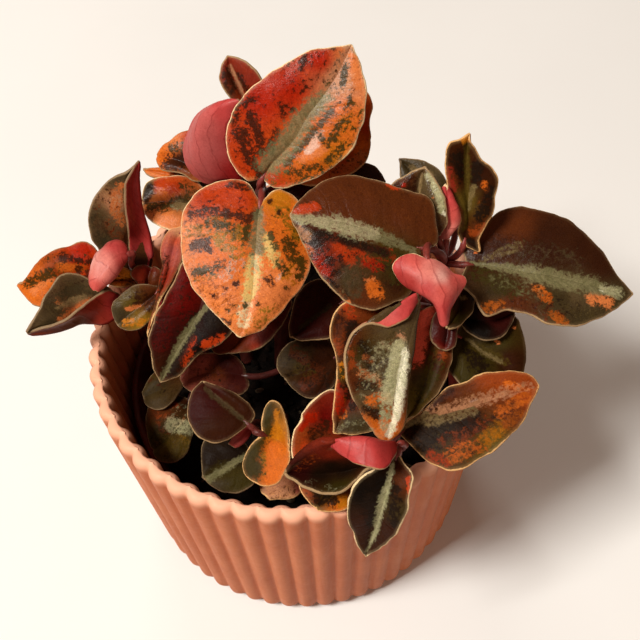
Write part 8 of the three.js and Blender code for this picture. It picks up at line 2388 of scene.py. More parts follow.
def blade_rows(leaf):
    rails = np.array(leaf["rails"], float).reshape(len(leaf["rails"]), -1, 3)
    m, rib = len(rails), leaf["rib"]
    line = spline(rails[rib], np.linspace(0, 1, 60))
    length = np.linalg.norm(np.diff(line, axis=0), axis=1).sum()
    edge = max(np.linalg.norm(np.diff(spline(rails[k], np.linspace(0, 1, 60)), axis=0), axis=1).sum() for k in (0, m - 1))
    n = int(0.5 * (length + edge) / STEP) + 6
    # rows lie closer together near the tip and the stalk
    w = np.linspace(0, 1, n)
    t = 0.004 + 0.992 * (w - 0.07 * np.sin(2 * np.pi * w))
    A = spline(rails.transpose(1, 0, 2), t)          # rows x rails x 3
    u = np.linspace(0, 1, 121)
    S = spline(A.transpose(1, 0, 2), u).transpose(1, 0, 2)
    if leaf["folded"]:
        straight = np.stack([np.stack([np.interp(u * (m - 1), np.arange(m), A[j, :, k]) for k in range(3)], -1) for j in range(n)])
        S = 0.45 * S + 0.55 * straight
    # cupping, as a low swell on each half
    across = np.gradient(S, axis=1)
    along = np.gradient(S, axis=0)
    nrm = unit(np.cross(across, along))
    swell = leaf["cup"] * np.sin(2 * np.pi * u) ** 2
    S = S + nrm * (swell[None, :] * np.sin(np.pi * t)[:, None])[..., None]
    uc = int(round(120 * rib / (m - 1)))
    halves = (S[:, : uc + 1], S[:, uc:][:, ::-1])
    lens = [np.concatenate([np.zeros((n, 1)), np.linalg.norm(np.diff(h, axis=1), axis=2).cumsum(1)], 1) for h in halves]
    outs = []
    for h, l in zip(halves, lens):
        share = columns(l[:, -1].max())
        rowsets = []
        for j in range(n):
            d = share * l[j, -1]
            rowsets.append(np.stack([np.interp(d, l[j], h[j, :, k]) for k in range(3)], -1))
        outs.append((np.array(rowsets), share))
    left, right = outs
    G = np.concatenate([left[0], right[0][:, ::-1][:, 1:]], 1)
    v = np.concatenate([-(1 - left[1])[None] * lens[0][:, -1:], ((1 - right[1])[None] * lens[1][:, -1:])[:, ::-1][:, 1:]], 1)
    ribcol = left[0].shape[1] - 1
    s = np.concatenate([[0], np.linalg.norm(np.diff(G[:, ribcol], axis=0), axis=1).cumsum()])
    return G, v, s, ribcol


def grid_normals(G, v):
    n = len(G)
    N = unit(np.cross(np.gradient(G, axis=1), np.gradient(G, axis=0)))
    width = v[:, -1] - v[:, 0]
    good = np.where(width > min(2.2, 0.6 * width.max()))[0]
    lo, hi = good[0], good[-1]
    for j in range(n):
        if j < lo:
            N[j] = N[lo]
        if j > hi:
            N[j] = N[hi]
    for _ in range(3):
        P = np.concatenate([N[:1], N, N[-1:]])
        N = unit(P[:-2] + 2 * P[1:-1] + P[2:])
        P = np.concatenate([N[:, :1], N, N[:, -1:]], 1)
        N = unit(P[:, :-2] + 2 * P[:, 1:-1] + P[:, 2:])
    return N


def outline_distance(G):
    edge = np.concatenate([G[:, 0], G[:, -1], G[0], G[-1]])
    P = G.reshape(-1, 3)
    out = np.empty(len(P))
    for i in range(0, len(P), 4000):
        out[i : i + 4000] = np.sqrt(((P[i : i + 4000, None] - edge[None]) ** 2).sum(2).min(1))
    return out.reshape(G.shape[:2])


def other_half(G, v):
    """Distance from each place to the nearest place on the other side of the midrib."""
    P, side = G.reshape(-1, 3), v.ravel()
    out = np.empty(len(P))
    for here, there in ((side <= 0, side > 0.15), (side > 0, side < -0.15)):
        A, B = P[here], P[there][::2]
        near = np.empty(len(A))
        for i in range(0, len(A), 800):
            near[i : i + 800] = np.sqrt(((A[i : i + 800, None] - B[None]) ** 2).sum(2).min(1))
        out[here] = near
    return out.reshape(v.shape)


def line_share(P, line, r0, r1):
    """Distance from a line over its radius, which goes from r0 to r1."""
    pts = np.asarray(line, float).reshape(-1, 3)
    if len(pts) == 1:
        return np.linalg.norm(P - pts[0], axis=1) / r0
    best = np.full(len(P), 1e9)
    n = len(pts) - 1
    for i, (a, b) in enumerate(zip(pts[:-1], pts[1:])):
        d = b - a
        t = np.clip(((P - a) @ d) / max(d @ d, 1e-9), 0, 1)
        r = r0 + (r1 - r0) * (i + t) / n
        best = np.minimum(best, np.linalg.norm(P - a - t[:, None] * d, axis=1) / r)
    return best


def spread_tones(P, places, k=3.0):
    total = np.zeros((len(P), 3))
    weight = np.zeros(len(P))
    for name, x, y, z in places:
        w = 1.0 / (np.linalg.norm(P - np.array([x, y, z]), axis=1) ** 2 + 0.6) ** (k / 2)
        total += w[:, None] * tone(name)
        weight += w
    return total / weight[:, None]


def build_blade(name, leaf, number):
    G, v, s, ribcol = blade_rows(leaf)
    N = grid_normals(G, v)
    edge = outline_distance(G)
    n, m = edge.shape
    flat = leaf["slant"] <= 0.3
    size = math.sqrt((v[:, -1] - v[:, 0]).max() * s[-1])
    # the whole blade undulates a little, most at its margin
    amount = min(1.0, size / 18)
    wave = (lumps(G, 6.5, number) - 0.5) * 0.55 * amount
    frill = np.clip(1 - edge / 3.2, 0, 1) ** 2 * (lumps(G, 2.9, number + 0.5) - 0.5) * 0.75 * amount
    inside = smooth(0.0, 0.10, np.linspace(0, 1, n))[:, None] * smooth(1.0, 0.93, np.linspace(0, 1, n))[:, None]
    channel = (-0.04 if flat else -0.26) * np.exp(-((v / 0.75) ** 2)) * smooth(0, 1.2, edge)
    sv = s[:, None] - 0.8 * np.abs(v)
    period = max(2.6, s[-1] / 6.0)
    vein = np.abs((sv / period + 0.25 * np.sign(v)) % 1.0 - 0.5) * period
    quilt = 0.06 * smooth(0.0, 0.9, vein) * smooth(0.4, 2.5, edge) * smooth(0.5, 2.0, np.abs(v))
    stir = (wave + frill) * inside
    A = unit(np.gradient(G, axis=1))
    uneven = (lumps(G, 2.3, number + 4) - 0.5) * 0.62 + (lumps(G, 1.1, number + 6) - 0.5) * 0.20
    G = G + A * (uneven * amount * inside * np.exp(-edge / 1.1))[..., None]
    if leaf["folded"]:
        stir = stir * np.where(v > 0, -1.0, 1.0) * smooth(0.3, 2.2, np.abs(v))
        channel = channel * 0
    G = G + N * (stir + channel)[..., None]
    if leaf["puff"]:
        # a rolled blade swells like a tube and flattens towards its open end
        swell = np.sqrt(np.clip(1 - (1 - np.minimum(edge / 3.4, 1)) ** 2, 0, 1))
        for open_end in leaf["open"]:
            swell = swell * smooth(1.5, 6.5, np.linalg.norm(G - np.array(open_end), axis=-1))
        G = G - N * (leaf["puff"] * swell)[..., None]
    N = grid_normals(G, v)
    h = HALF * np.sqrt(np.clip(1 - (1 - np.minimum(edge / ROUND, 1)) ** 2, 0, 1))
    h_top = h
    if leaf["folded"]:
        # the two halves of a folded blade face each other: no thicker than the room between them
        h_top = np.minimum(h, 0.40 * other_half(G, v))
    grain = (lumps(G, 1.1, number + 2) - 0.5) * 0.07 * smooth(0.2, 1.0, edge)
    top = G + N * (h_top + (0 if leaf["folded"] else 1) * (quilt * inside + grain))[..., None]
    ridge = (0.0 if flat else 0.30) * np.exp(-((v / 0.55) ** 2)) * smooth(0.2, 1.4, edge)
    low = G - N * (h + ridge - 0.5 * quilt * inside)[..., None]
    ids = np.arange(n * m).reshape(n, m)
    inner = np.full((n, m), -1)
    inner[1:-1, 1:-1] = n * m + np.arange((n - 2) * (m - 2)).reshape(n - 2, m - 2)
    under = np.where(inner >= 0, inner, ids)
    verts = np.concatenate([top.reshape(-1, 3), low[1:-1, 1:-1].reshape(-1, 3)])
    a, b, c, d = ids[:-1, :-1], ids[:-1, 1:], ids[1:, 1:], ids[1:, :-1]
    up = np.stack([a, b, c, d], -1).reshape(-1, 4)
    a, b, c, d = under[:-1, :-1], under[1:, :-1], under[1:, 1:], under[:-1, 1:]
    down = np.stack([a, b, c, d], -1).reshape(-1, 4)
    faces = np.concatenate([up, down])
    # marks
    P = G.reshape(-1, 3)
    layers = {}
    for lay in (1, 2, 3):
        best = np.full(len(P), -1.5)
        colour = np.zeros((len(P), 3)) + tone("DB")
        for mark in leaf["marks"]:
            if mark[0] != lay:
                continue
            f = np.minimum(mark[4], max(1.0, mark[4]) - line_share(P, mark[5:], mark[2], mark[3]))
            f = np.maximum(f, -1.5)
            c0 = tone(mark[1])
            hit = f > best
            colour[hit] = c0
            best[hit] = f[hit]
        layers[lay] = np.concatenate([colour, (best * 0.5 + 0.75)[:, None]], 1)
    base = spread_tones(P, leaf["base"])
    below = spread_tones(P, leaf["under"])
    pick = np.concatenate([np.arange(n * m), ids[1:-1, 1:-1].ravel()])
    side = np.concatenate([np.zeros(n * m), np.ones((n - 2) * (m - 2))])
    rgb = np.where(side[:, None] > 0.5, below[pick], base[pick])
    rgba = np.concatenate([rgb, np.ones((len(rgb), 1))], 1)
    obj = new_object(name + "_look", verts * MM, faces, [MAT["leaf_upper" if leaf["gleam"] > 0.35 else "leaf_upper_dull"], MAT["leaf_under"]], np.repeat([0, 1], [len(up), len(down)]))
    add_colour(obj, "base", rgba)
    for lay in (1, 2, 3):
        add_colour(obj, "mark%d" % lay, layers[lay][pick])
    rim = np.tile(np.append(linear(leaf["rim"]), 1.0), (len(rgb), 1))
    add_colour(obj, "rimtone", rim)
    data = np.stack([np.clip(edge.ravel()[pick] / 4, 0, 1), np.full(len(rgb), leaf["mottle"]), np.full(len(rgb), leaf["gleam"]), np.full(len(rgb), leaf["slant"])], 1)
    add_colour(obj, "facts", data)
    along, aside = np.repeat(s, m)[pick], v.ravel()[pick]
    if leaf["crosswise"]:
        # the veins of a rolled blade run round the roll
        along, aside = aside + 20.0, 4.0 + 0.2 * along
    uv = np.stack([along * 0.02 + 0.02, 0.5 + aside * 0.02], 1)
    add_uv(obj, uv)
    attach(obj, "root")
    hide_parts(name)
    return obj


# ------------------------------------------------------------------ stems
def tube(path, radii, sides=14, wobble=0.06, seed=0.0):
    path = np.asarray(path, float)
    T = unit(np.gradient(path, axis=0))
    up = np.array([0.0, 0.0, 1.0]) if abs(T[0, 2]) < 0.9 else np.array([1.0, 0.0, 0.0])
    A = np.zeros_like(path)
    a = unit(np.cross(T[0], up))
    for i in range(len(path)):
        a = unit(a - (a @ T[i]) * T[i])
        A[i] = a
    B = np.cross(T, A)
    ang = np.arange(sides) / sides * 2 * np.pi
    ring = A[:, None] * np.cos(ang)[None, :, None] + B[:, None] * np.sin(ang)[None, :, None]
    r = np.asarray(radii, float)[:, None, None]
    P = path[:, None] + ring * r
    P = path[:, None] + ring * r * (1 + wobble * 2 * (lumps(P, 1.6, seed)[..., None] - 0.5))
    n = len(path)
    verts = np.concatenate([P.reshape(-1, 3), path[:1], path[-1:]])
    faces = []
    for i in range(n - 1):
        for k in range(sides):
            q = (k + 1) % sides
            faces.append((i * sides + k, i * sides + q, (i + 1) * sides + q, (i + 1) * sides + k))
    for k in range(sides):
        q = (k + 1) % sides
        faces.append((n * sides, q, k))
        faces.append((n * sides + 1, (n - 1) * sides + k, (n - 1) * sides + q))
    return verts, faces


def resample(path, step):
    d = np.concatenate([[0], np.linalg.norm(np.diff(path, axis=0), axis=1).cumsum()])
    n = max(6, int(d[-1] / step))
    t = np.linspace(0, d[-1], n)
    return np.stack([np.interp(t, d, path[:, k]) for k in range(3)], -1), t


def build_stem(name, branches, number):
    verts, faces, shade = [], [], []

    def put(v, f, tint):
        start = sum(len(x) for x in verts)
        verts.append(v)
        faces.extend([tuple(start + i for i in q) for q in f])
        shade.append(np.tile(np.append(tint, 1.0), (len(v), 1)))

    for b in branches:
        line = spline(np.array(b["line"], float), np.linspace(0, 1, 80))
        down = unit(line[:1] - line[1:2])[0]
        line = np.concatenate([line[:1] + down * 2.5, line]) if b is branches[0] else line
        line, t = resample(line, 0.55)
        share = t / t[-1]
        r = b["r"] * (1.06 - 0.14 * share) * (1 + 0.10 * np.exp(-(((share % 0.34) - 0.17) / 0.04) ** 2))
        r = r * np.sqrt(np.clip((1 - share) / 0.02, 0.15, 1))
        put(*tube(line, r, 20, 0.05, number), linear((84, 32, 26)))
    for leafname, leaf in LEAVES.items():
        if leaf["stem"] != name:
            continue
        rails = np.array(leaf["rails"], float).reshape(len(leaf["rails"]), -1, 3)
        rib = rails[leaf["rib"]]
        base = rib[0]
        root = spline(np.array(branches[leaf["branch"]]["line"], float), leaf["at"])[0]
        forward = unit(spline(rib, 0.03)[0] - base)
        out = unit(np.array(leaf["via"][0]) - base) if leaf["turned"] else -forward
        start = base + out * 0.6
        reach = np.linalg.norm(root - start)
        t = np.linspace(0, 1, 50)
        if leaf["via"]:
            path = spline(np.array([start, start + out * 0.6] + [list(p) for p in leaf["via"]] + [root]), t)
        else:
            c = start + out * 0.3 * reach
            path = (1 - t[:, None]) ** 2 * start + 2 * (t * (1 - t))[:, None] * c + (t**2)[:, None] * root
        into = spline(rib, 0.10)[0] if leaf["turned"] else base + forward * 1.4
        path = np.concatenate([[into], [base], path])
        path, d = resample(path, 0.4)
        r = 0.80 + 0.12 * (d / d[-1]) ** 2
        r = np.where(d < 1.6, 0.30 + 0.5 * smooth(0, 1.6, d), r)
        # stalks of leaves set low in the pot are darker, those of high leaves lighter
        high = float(smooth(66, 92, np.array(base[2])))
        put(*tube(path, r, 12, 0.07, number + 3), linear((54, 18, 15)) * (1 - high) + linear((132, 50, 44)) * high)
    V = np.concatenate(verts)
    obj = new_object(name + "_look", V * MM, faces, [MAT["stem"]])
    add_colour(obj, "base", np.concatenate(shade))
    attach(obj, "root")
    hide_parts(name)
    return obj


# ------------------------------------------------------------------ pots and mix
def revolve(name, rows, cols, radius, height, material, node, extra=None):
    """rows of (radius, height) functions of the angle, closed at both ends on the axis."""
    ang = np.linspace(0, 2 * np.pi, cols, endpoint=False)
    V, F = [], []
    V.append([0, 0, height(0)])
    for i in range(1, rows - 1):
        r = radius(i, ang)
        V += np.stack([r * np.sin(ang), -r * np.cos(ang), np.full(cols, height(i))], -1).tolist()
    V.append([0, 0, height(rows - 1)])
    last = len(V) - 1
    for k in range(cols):
        q = (k + 1) % cols
        F.append((0, 1 + q, 1 + k))
        for i in range(rows - 3):
            F.append((1 + i * cols + k, 1 + i * cols + q, 1 + (i + 1) * cols + q, 1 + (i + 1) * cols + k))
        F.append((last, 1 + (rows - 3) * cols + k, 1 + (rows - 3) * cols + q))
    V = np.array(V, float)
    if extra is not None:
        V = extra(V)
    obj = new_object(name, V * MM, F, [material])
    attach(obj, "root")
    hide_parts(node)
    return obj


def build_cover_pot():
    wall = [(48.2 + 3.7 * k, 4.6 + 67.6 * k, 1.0) for k in np.linspace(0, 1, 26)]
    inner = [(47.5 - 3.7 * k, 72.6 - 65.6 * k, -1.0) for k in np.linspace(0, 1, 24)]
    prof = [(0, 0, 0), (15, 0, 0), (30, 0, 0), (40, 0, 0), (43.6, 0, 0.2), (44.8, 0.02, 0.35), (45.8, 0.3, 0.5), (46.8, 0.95, 0.68), (47.5, 1.9, 0.85), (48.0, 3.2, 0.97)]
    prof += wall
    prof += [(51.86, 72.9, 1), (51.6, 73.55, 1), (51.1, 74.02, 1), (50.5, 74.3, 0.97), (49.9, 74.4, 0.85), (49.4, 74.4, 0.5), (49.0, 74.33, 0.0), (48.6, 74.15, -0.5), (48.2, 73.85, -0.85), (47.85, 73.4, -1), (47.6, 72.95, -1)]
    prof += inner
    prof += [(43.65, 5.9, -0.85), (43.2, 5.0, -0.6), (42.4, 4.35, -0.42), (41.4, 4.03, -0.3), (39, 4, -0.1), (30, 4, 0), (15, 4, 0), (0, 4, 0)]
    prof = np.array(prof)
    flutes, phase0, depth = 56, -0.637, 1.35
    steps = 12

    def radius(i, ang):
        x = ((ang - phase0) / (2 * np.pi) * flutes) % 1.0
        off = np.abs(x - 0.5) * 2
        r, _, share = prof[i]
        if share > 0:
            return r - share * depth * off**2.2
        return r - share * depth * (1 - off) ** 2.2

    return revolve("cover_pot_look", len(prof), flutes * steps, radius, lambda i: prof[i][1], MAT["cover_pot"], "cover_pot")


def build_growing_pot():
    z0, z1 = 4.3, 54.0
    lin = lambda z: 36.8 + (43.4 - 36.8) * ((z - z0) / (z1 - 4 - z0))
    prof = [(0, z0), (12, z0), (24, z0), (34, z0), (36.2, z0), (36.7, z0 + 0.25), (lin(z0 + 1), z0 + 1)]
    prof += [(lin(z), z) for z in np.linspace(z0 + 2, z1 - 4.2, 22)]
    prof += [(lin(z1 - 4) + 0.1, z1 - 4.0), (43.9, z1 - 3.85), (44.5, z1 - 3.75), (44.8, z1 - 3.5), (44.9, z1 - 2.8), (44.9, z1 - 0.6), (44.75, z1 - 0.2), (44.3, z1), (43.8, z1), (43.4, z1 - 0.2), (43.2, z1 - 0.8), (42.9, z1 - 2.0), (lin(z1 - 4) - 0.8, z1 - 3)]
    prof += [(lin(z) - 1.1, z) for z in np.linspace(z1 - 5, z0 + 2.2, 16)]
    prof += [(lin(z0 + 1.4) - 1.5, z0 + 1.5), (34, z0 + 1.4), (24, z0 + 1.4), (12, z0 + 1.4), (0, z0 + 1.4)]
    prof = np.array(prof)
    ang = np.linspace(0, 2 * np.pi, 240, endpoint=False)
    # walls as rings of vertices; the floor is a fine flat ring pattern left open at the holes
    cols = 240
    V, F = [], []
    for r, z in prof[4:-4]:
        V += [[r * math.sin(a), -r * math.cos(a), z] for a in ang]
    rows = len(prof[4:-4])
    for i in range(rows - 1):
        for k in range(cols):
            q = (k + 1) % cols
            F.append((i * cols + k, i * cols + q, (i + 1) * cols + q, (i + 1) * cols + k))
    inner = (rows - 1) * cols

    # the floor between the two sheets, with six round drainage holes
    sect = cols // 6
    def floor_sheet(z, outer_start, flip):
        start = len(V)
        rings = []
        for h in range(6):
            a0 = (h + 0.5) / 6 * 2 * math.pi
            cx, cy = 24 * math.cos(a0), 24 * math.sin(a0)
            # border of the sector: outer arc, two sides, inner point
            idx = []
            first = int(round(((a0 - math.pi / 6 + math.pi / 2) / (2 * math.pi)) * cols)) % cols
            border = []
            for k in range(sect + 1):
                kk = (first + k) % cols
                border.append(("o", kk))
            pts = []
            for kind, kk in border:
                pts.append(outer_start + kk)
            a_end = ang[(first + sect) % cols]
            a_start = ang[first]
            for rr in (30.0, 24.0, 18.0, 12.0, 6.0):
                key = (round(a_end, 6), rr)
                if key not in seen[z]:
                    seen[z][key] = len(V)
                    V.append([rr * math.sin(a_end), -rr * math.cos(a_end), z])
                pts.append(seen[z][key])
            if "c" not in seen[z]:
                seen[z]["c"] = len(V)
                V.append([0, 0, z])
            pts.append(seen[z]["c"])
            for rr in (6.0, 12.0, 18.0, 24.0, 30.0):
                key = (round(a_start, 6), rr)
                if key not in seen[z]:
                    seen[z][key] = len(V)
                    V.append([rr * math.sin(a_start), -rr * math.cos(a_start), z])
                pts.append(seen[z][key])
            # hole ring with as many points as the border, matched by direction
            B = np.array([V[p][:2] for p in pts])
            th = np.arctan2(B[:, 1] - cy, B[:, 0] - cx)
            ring = []
            for a in th:
                ring.append(len(V))
                V.append([cx + 3.5 * math.cos(a), cy + 3.5 * math.sin(a), z])
            n = len(pts)
            for i in range(n):
                j = (i + 1) % n
                quad = (pts[i], pts[j], ring[j], ring[i])
                F.append(quad[::-1] if flip else quad)
            rings.append(ring)
        return rings

    zb, zt = float(z0), float(z0 + 1.4)
    seen = {zb: {}, zt: {}}
    low = floor_sheet(zb, 0, True)
    high = floor_sheet(zt, inner, False)
    for a, b in zip(low, high):
        n = len(a)
        for i in range(n):
            j = (i + 1) % n
            F.append((a[i], a[j], b[j], b[i]))
    obj = new_object("growing_pot_look", np.array(V, float) * MM, F, [MAT["growing_pot"]])
    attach(obj, "root")
    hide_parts("growing_pot")
    return obj


def rock(seed, size):
    """A small lump: a cube sphere pushed about."""
    r = np.random.default_rng(seed)
    n = 4
    g = np.linspace(-1, 1, n + 1)
    V, F, seen = [], [], {}

    def vid(p):
        key = tuple(np.round(p, 5))
        if key not in seen:
            seen[key] = len(V)
            V.append(p)
        return seen[key]

    for axis in range(3):
        for sign in (-1, 1):
            for i in range(n):
                for k in range(n):
                    quad = []
                    for a, b in ((i, k), (i + 1, k), (i + 1, k + 1), (i, k + 1)):
                        p = [0, 0, 0]
                        p[axis] = sign
                        p[(axis + 1) % 3] = g[a]
                        p[(axis + 2) % 3] = g[b]
                        quad.append(vid(tuple(p)))
                    F.append(quad if sign > 0 else quad[::-1])
    P = unit(np.array(V, float))
    P *= 0.7 + 0.6 * lumps(P, 0.8, r.random() * 50)[:, None]
    P *= np.array([1, 0.55 + 0.5 * r.random(), 0.45 + 0.5 * r.random()])
    q = r.normal(size=4)
    q /= np.linalg.norm(q)
    w, x, y, z = q
    R = np.array([[1 - 2 * (y * y + z * z), 2 * (x * y - z * w), 2 * (x * z + y * w)], [2 * (x * y + z * w), 1 - 2 * (x * x + z * z), 2 * (y * z - x * w)], [2 * (x * z - y * w), 2 * (y * z + x * w), 1 - 2 * (x * x + y * y)]])
    return P @ R.T * size, F


def build_mix():
    z0 = 4.3
    lin = lambda z: 36.8 + (43.4 - 36.8) * ((z - z0) / (54 - 4 - z0)) - 1.55
    prof = [(0, 6.0), (20, 6.0), (34, 6.0), (lin(6.3), 6.3)] + [(lin(z), z) for z in np.linspace(8, 46, 12)] + [(lin(47.6), 47.6), (lin(48) - 0.5, 48.4), (lin(48) - 1.4, 48.9)]
    prof += [(r, 48.9 + 1.5 * (1 - (r / 41) ** 2)) for r in np.linspace(38.5, 1.0, 46)] + [(0, 50.4)]
    prof = np.array(prof)

    def rough(V):
        topside = smooth(47.8, 48.8, V[:, 2])
        up = (lumps(V, 3.4, 1) - 0.5) * 2.0 + (lumps(V, 1.3, 2) - 0.5) * 1.1 + (lumps(V, 5.5, 3) - 0.5) * 1.4
        V[:, 2] += topside * np.maximum(up - 0.35, -1.6)
        side = (1 - topside) * smooth(6.2, 8, V[:, 2])
        V[:, :2] *= (1 - side * 0.008 * lumps(V, 2.0, 4))[:, None]
        return V

    obj = revolve("potting_mix_look", len(prof), 200, lambda i, a: np.full(len(a), prof[i][0]), lambda i: prof[i][1], MAT["mix"], "potting_mix", rough)
    # crumbs and light grains pressed into the surface
    for kind, count, small, large in (("mix_crumbs", 420, 0.5, 1.5), ("mix_grains", 70, 0.5, 1.25)):
        r = np.random.default_rng(5 if kind == "mix_crumbs" else 9)
        Vs, Fs, start = [], [], 0
        for i in range(count):
            rad, a = 40.0 * math.sqrt(r.random()), r.random() * 2 * math.pi
            size = small + (large - small) * r.random() ** 2
            V, F = rock(i * 7 + count, size)
            x, y = rad * math.sin(a), -rad * math.cos(a)
            z = 48.9 + 1.5 * (1 - (rad / 41) ** 2) + 0.1
            Vs.append(V + np.array([x, y, z]))
            Fs += [tuple(start + k for k in f) for f in F]
            start += len(V)
        piece = new_object(kind, np.concatenate(Vs) * MM, Fs, [MAT["crumb" if kind == "mix_crumbs" else "grain"]])
        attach(piece, "root")
    return obj


# ------------------------------------------------------------------ materials
class Nodes:
    """Short names for building a node material."""

    def __init__(self, name):
        self.mat = bpy.data.materials.new(name)
        self.mat.use_nodes = True
        self.tree = self.mat.node_tree
        self.tree.nodes.clear()
        self.out = self.tree.nodes.new("ShaderNodeOutputMaterial")
        self.bsdf = self.tree.nodes.new("ShaderNodeBsdfPrincipled")
        self.tree.links.new(self.bsdf.outputs[0], self.out.inputs[0])

    def set(self, socket, value):
        if isinstance(value, bpy.types.NodeSocket):
            self.tree.links.new(value, socket)
        elif hasattr(value, "__len__") and len(value) == 3 and len(getattr(socket, "default_value", (0, 0, 0))) == 4:
            socket.default_value = (*[float(x) for x in value], 1.0)
        else:
            socket.default_value = value

    def node(self, kind, **props):
        n = self.tree.nodes.new(kind)
        for k, v in props.items():
            setattr(n, k, v)
        return n

    def math(self, op, a, b=0.0, c=0.0, clamp=False):
        n = self.node("ShaderNodeMath", operation=op, use_clamp=clamp)
        for i, x in enumerate((a, b, c)):
            self.set(n.inputs[i], x)
        return n.outputs[0]

    def add(self, a, b):
        return self.math("ADD", a, b)

    def sub(self, a, b):
        return self.math("SUBTRACT", a, b)

    def mul(self, a, b):
        return self.math("MULTIPLY", a, b)

    def step(self, a, b, x, lo=0.0, hi=1.0):
        """Smooth step from lo at a to hi at b."""
        n = self.node("ShaderNodeMapRange", interpolation_type="SMOOTHSTEP")
        if a > b:
            a, b, lo, hi = b, a, hi, lo
        self.set(n.inputs["Value"], x)
        n.inputs["From Min"].default_value = a
        n.inputs["From Max"].default_value = b
        n.inputs["To Min"].default_value = lo
        n.inputs["To Max"].default_value = hi
        return n.outputs[0]

    def mix(self, f, a, b, blend="MIX"):
        n = self.node("ShaderNodeMix", data_type="RGBA", blend_type=blend)
        self.set(n.inputs[0], f)
        self.set(n.inputs[6], a)
        self.set(n.inputs[7], b)
        return n.outputs[2]

    def vec(self, op, a, b=(0, 0, 0)):
        n = self.node("ShaderNodeVectorMath", operation=op)
        self.set(n.inputs[0], a)
        if op == "SCALE":
            self.set(n.inputs[3], b)
        else:
            self.set(n.inputs[1], b)
        return n.outputs[0]

    def place(self, scale=1000.0, shift=(0, 0, 0)):
        n = self.node("ShaderNodeTexCoord")
        return self.vec("ADD", self.vec("SCALE", n.outputs["Object"], scale), shift)

    def noise(self, where, scale, detail=3.0, rough=0.55, bend=0.0):
        n = self.node("ShaderNodeTexNoise", noise_dimensions="3D")
        self.set(n.inputs["Vector"], where)
        n.inputs["Scale"].default_value = scale
        n.inputs["Detail"].default_value = detail
        n.inputs["Roughness"].default_value = rough
        n.inputs["Distortion"].default_value = bend
        return n.outputs[0]

    def cells(self, where, scale, feature="F1"):
        n = self.node("ShaderNodeTexVoronoi", feature=feature)
        self.set(n.inputs["Vector"], where)
        n.inputs["Scale"].default_value = scale
        return n

    def attribute(self, name):
        n = self.node("ShaderNodeAttribute", attribute_type="GEOMETRY", attribute_name=name)
        return n.outputs["Color"], n.outputs["Alpha"]

    def parts(self, colour):
        n = self.node("ShaderNodeSeparateColor")
        self.set(n.inputs[0], colour)
        return n.outputs[0], n.outputs[1], n.outputs[2]

    def bump(self, height, strength, distance, normal=None):
        n = self.node("ShaderNodeBump")
        self.set(n.inputs["Height"], height)
        n.inputs["Strength"].default_value = strength
        n.inputs["Distance"].default_value = distance
        if normal is not None:
            self.set(n.inputs["Normal"], normal)
        return n.outputs[0]


def leaf_parts(t):
    """What both sides of a blade share: places, vein lines and facts."""
    here = t.place()
    uv = t.node("ShaderNodeUVMap", uv_map="leaf").outputs[0]
    sep = t.node("ShaderNodeSeparateXYZ")
    t.set(sep.inputs[0], uv)
    s = t.mul(t.sub(sep.outputs[0], 0.02), 50.0)
    v = t.mul(t.sub(sep.outputs[1], 0.5), 50.0)
    va = t.math("ABSOLUTE", v)
    facts, slant = t.attribute("facts")
    edge, mottle, gleam = t.parts(facts)
    edge = t.mul(edge, 4.0)
    sway = t.mul(t.sub(t.noise(here, 0.22, 2, 0.5), 0.5), 3.0)
    side = t.mul(t.math("SIGN", v), 0.9)
    w = t.add(t.add(t.sub(s, t.mul(va, slant)), t.mul(t.mul(va, va), 0.012)), t.add(t.mul(side, slant), sway))
    saw = t.math("ABSOLUTE", t.sub(t.math("FRACT", t.mul(w, 1 / 3.7)), 0.5))
    lateral = t.mul(saw, 3.7)
    fw = t.add(w, t.mul(t.sub(t.noise(here, 0.9, 2, 0.5), 0.5), 1.6))
    cross = t.add(t.mul(va, 1.0), t.mul(t.sub(t.noise(here, 0.5, 2, 0.5), 0.5), 3.0))
    flow = t.node("ShaderNodeCombineXYZ")
    t.set(flow.inputs[0], t.mul(fw, 0.9))
    t.set(flow.inputs[1], t.mul(cross, 0.42))
    t.set(flow.inputs[2], t.mul(t.math("SIGN", v), 4.0))
    return here, s, v, va, edge, mottle, gleam, slant, lateral, flow.outputs[0]


